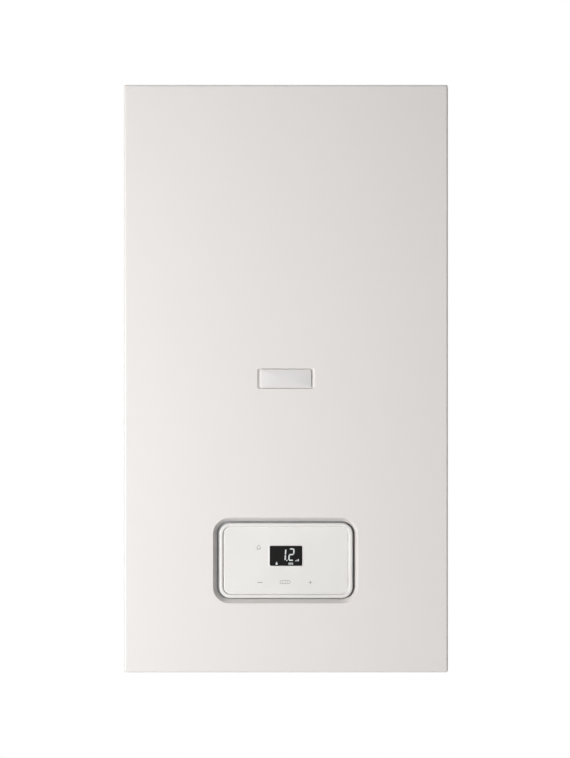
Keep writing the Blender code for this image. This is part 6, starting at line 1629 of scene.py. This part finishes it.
class BOILER_OT_pump(Operator):
    """Builds the circulation pump, its motor with the terminal box, and the air vent"""

    bl_idname = "boiler.pump"
    bl_label = "Pump"

    def execute(self, context):
        sides = settings().unit.round_sides
        x, _, level = middle_of("pump_rotor")
        volute_high = corners_of("pump_volute")[1]
        rear = volute_high[1]
        r, wall, depth, cavity = PUMP_RADIUS, 0.004, 0.05, 0.03
        profile = [
            (0, 0), (r - 0.004, 0), (r, 0.004), (r, 0.016), (r + 0.002, 0.018), (r + 0.002, 0.024),
            (r, 0.026), (r, depth - 0.008), (r + 0.004, depth - 0.006), (r + 0.004, depth),
            (r - wall, depth), (r - wall, depth - cavity), (0, depth - cavity),
        ]
        port_y = middle_of("return_pipe")[1]
        outlet = (corners_of("return_pipe")[1][0] - LARGE_PIPE, port_y, 0)
        outlet_top = corners_of("return_pipe")[0][2] - GAP
        vent_x, vent_z = 0.134, volute_high[2] - 0.034
        plate_low, plate_high = corners_of("plate_exchanger")
        branch = (x, port_y, (plate_low[2] + plate_high[2]) / 2)
        to_plate = x - plate_high[0]
        vent = [
            (0, 0), (0.0105, 0), (0.0118, 0.003), (0.0118, 0.02), (0.0085, 0.025), (0.007, 0.026),
            (0.007, 0.031), (0.0055, 0.0338), (0, 0.0338),
        ]
        parts = [
            lathed(profile, (x, rear, level), "front", sides, 0.0008),
            rod(0.015, -r - 0.006, -r + 0.006, (x, rear - depth / 2, level)),
            rod(0.013, level + 0.026, outlet_top, outlet),
            rod(0.015, outlet_top - 0.008, outlet_top - 0.001, outlet),
            rod(0.01, r - 0.01, to_plate - GAP, branch, "left"),
            rod(0.0128, to_plate - 0.006, to_plate - 0.0004, branch, "left"),
            rod(0.008, level + 0.03, vent_z, (vent_x, port_y, 0)),
            lathed(vent, (vent_x, port_y, vent_z), "up", 40),
        ]
        piece("pump_casting", parts, "black_plastic", ["pump_volute"])

        front = rear - depth - GAP
        m, length, bore = 0.036, 0.07, 0.0044
        neck, seam = m - 0.004, m - 0.003
        profile = [
            (0, length - 0.028), (bore, length - 0.028), (bore, 0), (m + 0.006, 0),
            (m + 0.006, 0.006), (m, 0.01), (neck, 0.012), (neck, 0.02), (seam, 0.021),
            (seam, 0.0235), (neck, 0.0245), (neck, length - 0.005), (m - 0.006, length - 0.002),
            (m - 0.01, length), (0, length),
        ]
        place = (x, front, level)
        rib = cushion_block(0.0016, 0.0016, 0.018, 0.0005, 0.0004, 2)
        lid_y = front - length - 0.004
        box, lid = (x, lid_y + 0.0165, level + 0.004), (x, lid_y + 0.0012, level + 0.004)
        parts = [
            lathed(profile, place, "front", sides, 0.0007),
            *spread(rib, neck, 0.025, np.pi / 12 * np.arange(24), place, "front"),
            boxed((0.05, 0.04, 0.029), box, 0.006, 0.0014, "front"),
            boxed((0.043, 0.033, 0.0024), lid, 0.004, 0.0008, "front"),
        ]
        piece("pump_motor_can", parts, "grey_plastic", ["pump_motor"])
        places = spots((x, front - 0.006, level), 0.0385, DIAGONALS)
        bolts = screws(0.003, 0.0018, places, "front")
        fixings("pump_bolts", bolts)
        place = (x + 0.012, front - length + 0.01, level - 0.02)
        gland = rod(0.0052, -0.004, 0.007, place, "down", 24)
        piece("pump_gland", [gland], "black_plastic")
        return {"FINISHED"}


class BOILER_OT_hydraulics(Operator):
    """Builds the flow and return blocks, the diverter, the plate exchanger and the water pipes"""

    bl_idname = "boiler.hydraulics"
    bl_label = "Hydraulics"

    def execute(self, context):
        stub_y = middle_of("heating_return_stub")[1]
        low = corners_of("return_block")[0]
        pump_x, _, pump_z = middle_of("pump_rotor")
        pump_y = corners_of("pump_volute")[1][1] - 0.025
        deck = low[2]
        level, top = deck + 0.0229, deck + 0.0389
        bar_at = (0, stub_y, level)
        valve = [
            (0, level - 0.0125), (0.0046, level - 0.0125), (0.0046, deck + 0.0012),
            (0.01, deck + 0.0012), (0.01, level), (0, level),
        ]
        parts = [
            rod(0.0165, deck, top - 0.004, (0.13, stub_y, 0)),
            rod(0.0145, deck, top - 0.006, (0.065, stub_y, 0)),
            rod(0.0118, low[0] + 0.0034, 0.167, bar_at, "right"),
            rod(0.0135, 0.049, 0.053, bar_at, "right"),
            rod(0.0135, 0.145, 0.149, bar_at, "right"),
            rod(0.0095, level - 0.002, top, (0.04, stub_y, 0)),
            rod(0.0085, level - 0.001, top, (0.163, stub_y, 0)),
            rod(0.014, level - 0.006, pump_z - PUMP_RADIUS - 0.0063, (pump_x, pump_y, 0)),
            rod(0.0105, 0.0, pump_y - stub_y, (pump_x, pump_y, level), "front"),
            lathed(valve, (0.0975, stub_y, 0), "up", 32, 0.0004),
        ]
        piece("return_moulding", parts, "black_plastic", ["return_block"])

        x, outer, bore = -0.13, 0.017, 0.011
        motor_low, motor_high = corners_of("diverter_motor")
        floor = deck - 0.0051 + 0.029
        head = motor_low[2] - GAP
        plate_low, plate_high = corners_of("plate_exchanger")
        plate_z = (plate_low[2] + plate_high[2]) / 2
        port_y = middle_of("flow_pipe")[1]
        port_z = corners_of("flow_pipe")[0][2] - GAP
        body = [
            (0, deck), (outer, deck), (outer, head - 0.018), (outer, head), (bore, head),
            (bore, floor), (0, floor),
        ]
        relief = [
            (0, -0.004), (0.008, -0.004), (0.008, 0.01), (0.011, 0.011), (0.011, 0.024),
            (0.0045, 0.025), (0.0045, 0.034), (0, 0.034),
        ]
        relief_at = (x, stub_y - outer, floor - 0.006)
        branch, to_plate = (x, port_y, plate_z + 0.014), plate_low[0]
        parts = [
            lathed(body, (x, stub_y, 0), "up", 56, 0.0007),
            rod(0.015, port_z - 0.034, port_z, (x, port_y, 0)),
            rod(0.0168, port_z - 0.01, port_z - 0.002, (x, port_y, 0)),
            rod(0.0105, bore + 0.002, port_y - stub_y, (x, stub_y, port_z - 0.027), "back"),
            rod(0.01, 0.004, to_plate - GAP - x, branch, "right"),
            rod(0.0128, to_plate - 0.0065 - x, to_plate - 0.0004 - x, branch, "right"),
            lathed(relief, relief_at, "front", 40, 0.0004),
        ]
        for number in range(3):
            at = (x, stub_y, floor + 0.016 + 0.017 * number)
            parts.append(rod(outer + 0.0012, 0, 0.0022, at))
        piece("flow_moulding", parts, "black_plastic", ["flow_block"])

        cap = [
            (0, 0.0345), (0.0048, 0.0345), (0.0048, 0.0256), (0.0125, 0.0256), (0.013, 0.027),
            (0.013, 0.043), (0.0112, 0.046), (0, 0.046),
        ]
        rib = cushion_block(0.001, 0.0014, 0.014, 0.0004, 0.0003, 2)
        grip = (x, relief_at[1] - 0.049, relief_at[2])
        parts = [
            lathed(cap, relief_at, "front", 48, 0.0005),
            *spread(rib, 0.0126, 0.0275, np.pi / 9 * np.arange(18), relief_at, "front"),
            boxed((0.005, 0.024, 0.009), grip, 0.0012, 0.0008, "front"),
        ]
        piece("relief_knob", parts, "red_plastic", ["relief_cap"], "relief")

        base = motor_low[2] + 0.006
        motor_x, motor_y, _ = middle_of("diverter_motor")
        collar = [(0.0036, 0.0), (outer, 0.0), (outer, 0.0062), (0.0036, 0.0062)]
        case = cushion_block(0.042, 0.038, motor_high[2] - base, 0.005, 0.0014, 6)
        parts = [
            lathed(collar, (motor_x, motor_y, motor_low[2]), "up", 48, 0.0004),
            moved(case, (motor_x, motor_y, base)),
        ]
        piece("diverter_case", parts, "grey_plastic", ["diverter_motor"])
        parts = [
            boxed((0.03, 0.001, 0.0016), (motor_x, motor_y - 0.0191, base + z), 0.0004, 0.0003)
            for z in (0.01, 0.014, 0.018, 0.022)
        ]
        piece("diverter_ribs", parts, "black_plastic")

        wide, depth, tall = plate_high - plate_low
        count = 10
        pitch = (depth - 0.004) / count
        press = ((0.0, 0.1), (0.0, 0.45), (0.002, 0.6), (0.002, 0.95))
        line = [(inset, pitch * (n + share)) for n in range(count) for inset, share in press]
        line += [(0.0, depth - 0.004), (0.0, depth - 0.0008), (0.0008, depth), (0.006, depth)]
        line += [(0.0072, depth - 0.001), (0.012, depth - 0.001)]
        rows = [
            outline(wide - 2 * inset, tall - 2 * inset, max(0.016 - inset, 0.005), (0, 0), 6)
            for inset, _ in line
        ]
        plate_x = (plate_low[0] + plate_high[0]) / 2
        place = (plate_x, plate_high[1], plate_z)
        stack = moved(shut(stacked(rows, [height for _, height in line])), place, "front")
        piece("plate_stack", [stack], "stainless", ["plate_exchanger"], crease=30.0)
        studs = [
            (plate_x + dx, plate_low[1] + 0.001, plate_z + dz)
            for dx in (-0.055, 0.055) for dz in (-0.018, 0.018)
        ]
        studs = [rod(0.003, -0.001, 0.0009, at, "front", 20, 0.0003) for at in studs]
        fixings("plate_studs", studs)

        sides = settings().unit.pipe_sides
        ports = corners_of("flow_pipe")[1][2]
        return_x = corners_of("return_pipe")[1][0] - LARGE_PIPE
        base_z = corners_of("return_pipe")[0][2]
        nuts = []
        for name, start_x, end_x, base, low, end, share, nut_foot, turn in (
            ("flow", -PORT_X, x, port_z, port_z + 0.097, port_z + GAP, 0.543, 0.0006, 0.1),
            ("return", PORT_X, return_x, base_z, base_z - GAP + 0.086, base_z, 0.376, 0.0004, 0.4),
        ):
            route = [
                (start_x, port_y, ports), (start_x, port_y, low + (ports - low) * share),
                (end_x, port_y, low), (end_x, port_y, end),
            ]
            tube = pipe(bent(route, 0.03, 10), LARGE_PIPE, sides)
            piece(name + "_copper", [tube], "copper", [name + "_pipe"])
            at = (end_x, port_y, 0)
            nuts.append(hexagon(0.0148, base + nut_foot, base + 0.012, at, "up", turn))
        for name in ("hot_water", "cold_water"):
            pipe_low, pipe_high = corners_of(name + "_pipe")
            x, foot = (pipe_low[0] + pipe_high[0]) / 2, pipe_low[2]
            bend_z = pipe_high[2] - SMALL_PIPE
            route = [(x, stub_y, foot), (x, stub_y, bend_z), (x, pipe_high[1], bend_z)]
            tube = pipe(bent(route, 0.014, 10), SMALL_PIPE, sides)
            piece(name + "_copper", [tube], "copper", [name + "_pipe"])
            nuts.append(hexagon(0.0128, foot + 0.0004, foot + 0.0105, (x, stub_y, 0), "up", 0.2))
        piece("water_nuts", nuts, "brass")
        return {"FINISHED"}


class BOILER_OT_connections(Operator):
    """Builds the threaded connections, the filling tap, the condensate trap and its hose"""

    bl_idname = "boiler.connections"
    bl_label = "Connections"

    def execute(self, context):
        for name in ("heating_flow", "hot_water", "gas", "cold_water", "heating_return"):
            low, high = corners_of(name + "_stub")
            centre = (low + high) / 2
            large = high[0] - low[0] > 0.031
            radius, bore, pitch = (0.0132, 0.0095, 0.00181) if large else (0.0105, 0.007, 0.0016)
            deck, shoulder = high[2] - 0.0045, low[2] + 0.029
            profile = [
                (bore, shoulder - 0.001), (radius - 0.001, shoulder - 0.001),
                (radius - 0.001, shoulder + 0.002), (radius, shoulder + 0.003), (radius, deck),
                (radius + 0.004, deck), (radius + 0.004, high[2]), (bore, high[2]),
                (bore, shoulder - 0.001),
            ]
            sleeve = threaded(radius, bore, low[2], shoulder, pitch)
            stub = together(sleeve, lathe(profile, 48, 0.0004))
            stub = moved(stub, (centre[0], centre[1], 0))
            piece(name + "_thread", [stub], "brass", [name + "_stub"], crease=40.0)

        low, high = corners_of("filling_tap")
        x, y, _ = (low + high) / 2
        tall = high[2] - low[2]
        profile = [
            (0, 0), (0.0108, 0), (0.0124, 0.002), (0.0124, 0.014), (0.01, 0.016), (0.0055, 0.017),
            (0.004, 0.018), (0.004, tall), (0, tall),
        ]
        wing = cushion_block(0.006, 0.034, 0.012, 0.0026, 0.0012, 6)
        parts = [
            lathed(profile, (x, y, low[2]), "up", 48, 0.0005),
            moved(wing, (x, y, low[2] + 0.002)),
        ]
        piece("filling_handle", parts, "black_plastic", ["filling_tap"], "filling", finish="blue")

        low, high = corners_of("condensate_trap")
        x, y, _ = (low + high) / 2
        r, foot, neck = 0.022, low[2], high[2]
        deck = corners_of("heating_flow_stub")[1][2] - 0.0048
        cup, waist, crown = deck - 0.005, r - 0.002, r - 0.0004
        inner, seam, rings = r - 0.001, r - 0.0002, foot + 0.012 + np.arange(4) * 0.0062
        profile = [
            (0, foot), (r - 0.008, foot), (waist, foot + 0.008),
            *ridges(waist, crown, rings, (0, 0.001, 0.0026, 0.0036)),
            (waist, cup - 0.002), (r, cup), (r, deck + GAP), (r + 0.005, deck + GAP),
            (r + 0.005, deck + 0.006), (inner, deck + 0.008), (inner, deck + 0.06),
            (seam, deck + 0.061), (seam, deck + 0.065), (inner, deck + 0.066),
            (inner, neck - 0.022), (r - 0.006, neck - 0.016), (0.0088, neck - 0.012),
            (0.008, neck - 0.003), (0.0085, neck - 0.0015), (0.0078, neck), (0, neck),
        ]
        piece("trap_body", [lathed(profile, (x, y, 0))], "grey_plastic", ["condensate_trap"])

        hose_low, hose_high = corners_of("condensate_hose")
        drain_y = hose_high[1] - DRAIN_INSET
        start, forward = hose_high[2], drain_y - y
        route = [
            (0.0, drain_y, start), (0.0, drain_y, start - 0.025),
            (x * 0.17, drain_y - forward * 0.2, neck + 0.116),
            (x * 0.74, drain_y - forward * 0.656, neck + 0.071), (x, y, neck + 0.036),
            (x, y, hose_low[2]),
        ]
        path = flowing(route, 44)
        along = run_of(path)
        smooth_end = np.clip(np.minimum(along, along[-1] - along) / 0.012, 0, 1)
        radius = 0.0094 + 0.0006 * np.cos(along / 0.005 * 2 * np.pi) * smooth_end
        hose = pipe(path, radius, settings().unit.pipe_sides)
        piece("trap_hose", [hose], "rubber", ["condensate_hose"])
        return {"FINISHED"}


class BOILER_OT_wiring(Operator):
    """Builds the wiring loom as strands in ties, and the ignition lead with its boots"""

    bl_idname = "boiler.wiring"
    bl_label = "Wiring"

    def execute(self, context):
        low, high = corners_of("wiring_loom")
        igniter_low, igniter_high = corners_of("ignition_transformer")
        igniter_x, _, igniter_z = middle_of("ignition_transformer")
        box_foot = corners_of("control_box")[0][2]
        panel_face = -0.203  # inner side of the left panel
        edge_face = -0.2695 + 0.001  # inner side of the frame's front edge
        x, front = panel_face + 0.012, edge_face + 0.026
        foot, top = low[2], high[2]
        back = (igniter_low[1] + 0.012 + igniter_high[1]) / 2
        route = [
            (x, front - 0.014, foot), (x, front - 0.014, foot + 0.03),
            (x - 0.001, front, box_foot + 0.145), (x - 0.001, front + 0.01, box_foot + 0.245),
            (x, back - 0.05, -0.03), (igniter_x, back, top - 0.02), (igniter_x, back, top),
        ]
        path = flowing(route, 16)
        along = run_of(path)
        fades = np.clip(np.minimum(along, along[-1] - along) / 0.02, 0.35, 1)
        strands = []
        for number in range(5):
            phase = along / 0.085 * 2 * np.pi + number * 2 * np.pi / 5
            offset = np.stack([np.cos(phase), np.sin(phase), np.zeros_like(phase)], axis=-1)
            strands.append(pipe(path + offset * (0.0029 * fades)[:, None], 0.0019, 10))
        piece("loom_strands", strands, "rubber", ["wiring_loom"])
        ties = []
        for share in (0.16, 0.36, 0.56, 0.76, 0.92):
            at = int(share * (len(path) - 1))
            heading = path[at + 1] - path[at]
            end = path[at] + heading / np.linalg.norm(heading) * 0.004
            ties.append(pipe(np.linspace(path[at], end, 3), 0.0052, 20))
        piece("loom_ties", ties, "white_plastic")

        tip_x, _, level = middle_of("ignition_electrode")
        end = corners_of("ignition_electrode")[0][1] - GAP
        z = igniter_z + (igniter_high[2] - igniter_low[2]) / 4
        start = (igniter_x, igniter_low[1] - GAP, z)
        route = [
            start, (igniter_x, start[1] - 0.02, z), (igniter_x + 0.006, end - 0.004, z + 0.03),
            (igniter_x + 0.045, end - 0.024, level + 0.01),
            (tip_x - 0.02, end - 0.026, level + 0.006), (tip_x, end - 0.01, level),
            (tip_x, end, level),
        ]
        lead = pipe(flowing(route, 16), 0.0032, 20)
        piece("spark_lead", [lead], "red_plastic", ["ignition_lead"])
        large = [
            (0, 0.0004), (0.0052, 0.0004), (0.005, 0.006), (0.004, 0.012), (0.0033, 0.016),
            (0, 0.016),
        ]
        small = [(0, 0.0004), (0.0046, 0.0004), (0.0044, 0.004), (0.0036, 0.008), (0, 0.008)]
        boots = [
            lathed(large, start, "front", 24, 0.0004),
            lathed(small, (tip_x, end, level), "front", 24, 0.0004),
        ]
        piece("lead_boots", boots, "rubber")
        return {"FINISHED"}


class BOILER_OT_control_box(Operator):
    """Builds the vents, plugs, ribs and screws of the electronics box, which tilt with it"""

    bl_idname = "boiler.control_box"
    bl_label = "Electronics box"

    def execute(self, context):
        body = "electronics"
        low, high = corners_of("control_box")
        rear, middle = corners_of("control_box_lid")[1][1], middle_of("control_box_lid")[2]
        louvre, y = (0.0036, 0.05, 0.0016), rear + 0.0005
        vents = [
            boxed(louvre, (x, y, middle + side), 0.0017, 0.0007, "back")
            for x in 0.0085 * (np.arange(11) - 5) - 0.08 for side in (-0.045, 0.045)
        ]
        piece("lid_vents", vents, "grey_plastic", body=body)
        y, roof = high[1] - 0.022, high[2]
        plugs, contacts = [], []
        for x, wide in (
            (-0.12, 0.03), (-0.078, 0.022), (-0.045, 0.022), (0.055, 0.036), (0.105, 0.026)
        ):
            latch = (x, high[1] - 0.0292, roof + 0.004)
            plugs.append(boxed((wide, 0.012, 0.0085), (x, y, roof + 0.0042), 0.0014, 0.0006))
            plugs.append(boxed((wide * 0.4, 0.0022, 0.005), latch, 0.0006, 0.0004))
            count = int(wide / 0.005)
            for number in range(count):
                at = (x + (number - (count - 1) / 2) * 0.0044, y, roof + 0.0086)
                contacts.append(boxed((0.0018, 0.0018, 0.0008), at, 0.0003, 0.0002, "up", 2))
        piece("box_plugs", plugs, "white_plastic", body=body)
        fixings("plug_contacts", contacts, body)
        lid = [(x, rear, middle + z) for x in (-0.15, 0.0, 0.15) for z in (-0.08, 0.08)]
        shell = [(x, low[1], z) for x in (-0.158, 0.158) for z in (low[2] + 0.014, roof - 0.014)]
        heads = screws(0.0034, 0.002, lid, "back") + screws(0.0034, 0.002, shell, "front")
        fixings("box_screws", heads, body)
        ribs = [
            boxed((0.0022, 0.15, 0.0012), (x, low[1] - 0.0003, middle), 0.001, 0.0005, "front")
            for x in (-0.146, -0.132, -0.118, 0.118, 0.132, 0.146)
        ]
        piece("box_ribs", ribs, "grey_plastic", body=body)
        return {"FINISHED"}


class BOILER_OT_casing_screws(Operator):
    """Sets the screws of the roof and the lower crossbar"""

    bl_idname = "boiler.casing_screws"
    bl_label = "Casing screws"

    def execute(self, context):
        roof = corners_of("top_plate")[1][2]
        front, level = corners_of("lower_crossbar")[0][1], middle_of("lower_crossbar")[2]
        places = [(x, y, roof) for x in (-0.176, 0.176) for y in (-0.035, -0.245)]
        heads = screws(0.0042, 0.0012, places, "up")
        heads += screws(0.0042, 0.0018, [(x, front, level) for x in (-0.182, 0.182)], "front")
        fixings("casing_screw_heads", heads)
        return {"FINISHED"}


# Studio


class BOILER_OT_studio(Operator):
    """Sets up the camera, the lamps, the surroundings and the floor"""

    bl_idname = "boiler.studio"
    bl_label = "Studio"

    def execute(self, context):
        given = settings().studio
        scene = context.scene
        scene.view_settings.view_transform = "Standard"
        low = CAD_BOX[0]
        camera = bpy.data.cameras.new("camera")
        camera.lens, camera.sensor_width, camera.sensor_fit = given.lens, 36.0, "AUTO"
        camera.clip_start, camera.clip_end = 0.05, 60.0
        viewer = bpy.data.objects.new("camera", camera)
        viewer.location = (-0.0013, low[1] - given.distance, -0.0005)
        viewer.rotation_euler = (np.pi / 2, 0.0, 0.0)
        scene.collection.objects.link(viewer)
        scene.camera = viewer

        # The last three stand behind the front's plane, so they don't shine on the front
        face, middle = (0.0, low[1], -0.05), (0.0, -0.15, 0.0)
        for name, place, aim, size, power in (
            ("key_softbox", (-1.49, -2.34, -0.34), face, (0.8, 1.0), given.key),
            ("front_lamp", (-0.82, -1.6, 0.02), face, (0.3, 0.3), given.front),
            ("right_softbox", (2.3, 1.2, 0.5), middle, (1.2, 1.8), given.sides),
            ("left_softbox", (-2.3, 1.2, 0.5), middle, (1.2, 1.8), given.sides * 0.15),
            ("top_softbox", (0.0, 0.6, 2.6), middle, (1.8, 1.2), given.sides),
        ):
            light = lamp(scene, name, place, aim, size, power)
            light.visible_glossy = name == "key_softbox"

        scene.world = surroundings(given.sky)

        level_z = low[2] - given.floor_drop
        reach = 3.2  # half of the floor's side
        square = np.array([[-1, -1, 0], [1, -1, 0], [1, 1, 0], [-1, 1, 0]], float) * reach
        mesh = bpy.data.meshes.new("floor")
        mesh.from_pydata((square + [0, 0, level_z]).tolist(), [], [[0, 1, 2, 3]])
        floor = bpy.data.objects.new("floor", mesh)
        scene.collection.objects.link(floor)
        mesh.materials.append(floor_finish())
        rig.stage(floor)
        return {"FINISHED"}


def lamp(scene, name, place, aim, size, power):
    """A rectangular softbox that looks at a point."""
    light = bpy.data.lights.new(name, "AREA")
    light.shape, light.size, light.size_y, light.energy = "RECTANGLE", size[0], size[1], power
    obj = bpy.data.objects.new(name, light)
    scene.collection.objects.link(obj)
    obj.location = place
    away = Vector(place) - Vector(aim)
    obj.rotation_euler = away.to_track_quat("Z", "Y").to_euler()
    obj.visible_camera = False
    return obj


def seen_rays(nodes):
    """One where the ray comes straight from the camera, a mirror or a glass, else nought."""
    rays = nodes.node("ShaderNodeLightPath")
    names = ("Is Camera Ray", "Is Glossy Ray", "Is Transmission Ray")
    camera, glossy, through = (Signal(nodes, rays.outputs[name]) for name in names)
    return (camera + glossy + through).between(0.0, 1.0)


def surroundings(sky):
    """World that shows as plain white and lights the object with a weaker sky."""
    world = bpy.data.worlds.new("surroundings")
    nodes = Nodes(world)
    back = nodes.tree.nodes["Background"]
    nodes.feed(back.inputs["Color"], (1.0, 1.0, 1.0))
    nodes.feed(back.inputs["Strength"], seen_rays(nodes) * (1.0 - sky) + sky)
    return world


def floor_finish():
    """Pale floor, mostly plain white for the camera near the object and all white far off.

    The white share is .72 within .7 m of the middle and rises evenly to one at 2.3 m.
    """
    finish = Finish("floor_pale", 0.9)
    pale, paler = (0.86, 0.86, 0.86), (0.88, 0.88, 0.88)
    finish.put("Base Color", finish.blend(finish.noise(3.0), pale, paler))
    x, y = finish.axis("X"), finish.axis("Y")
    far = ((x * x + y * y) ** 0.5).between(0.7, 2.3)
    white = finish.node("ShaderNodeEmission", None, (1.0, 1.0, 1.0), 1.0)
    share = seen_rays(finish) * (far * 0.28 + 0.72)
    painted = finish.shader.outputs[0]
    mix = finish.node("ShaderNodeMixShader", None, share, painted, white.outputs[0])
    out = finish.tree.nodes["Material Output"]
    finish.feed(out.inputs["Surface"], mix.outputs[0])
    return finish.material


# Add-on


class BOILER_PG_settings(PropertyGroup):
    casing: PointerProperty(type=BOILER_PG_casing)
    controls: PointerProperty(type=BOILER_PG_controls)
    unit: PointerProperty(type=BOILER_PG_unit)
    studio: PointerProperty(type=BOILER_PG_studio)


# In the order of their definition, in which main calls them
OPERATORS = [kind for name, kind in list(globals().items()) if name.startswith("BOILER_OT_")]


class BOILER_PT_panel(Panel):
    """Lists the boiler's operators"""

    bl_label = "Boiler"
    bl_idname = "BOILER_PT_panel"
    bl_space_type = "VIEW_3D"
    bl_region_type = "UI"
    bl_category = "Boiler"

    def draw(self, context):
        for kind in OPERATORS:
            self.layout.operator(kind.bl_idname)


CLASSES = [
    BOILER_PG_casing,
    BOILER_PG_controls,
    BOILER_PG_unit,
    BOILER_PG_studio,
    BOILER_PG_settings,
    *OPERATORS,
    BOILER_PT_panel,
]


def register():
    for kind in CLASSES:
        bpy.utils.register_class(kind)
    bpy.types.Scene.boiler = PointerProperty(type=BOILER_PG_settings)


def unregister():
    del bpy.types.Scene.boiler
    for kind in reversed(CLASSES):
        bpy.utils.unregister_class(kind)


def main():
    register()
    for kind in OPERATORS:
        group, name = kind.bl_idname.split(".")
        getattr(getattr(bpy.ops, group), name)()
    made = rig.bounds()
    sizes = {"cad": [list(corner) for corner in CAD_BOX], "visual": [list(corner) for corner in made]}
    with open("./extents.json", "w") as file:
        json.dump(sizes, file)


if __name__ == "__main__":
    main()
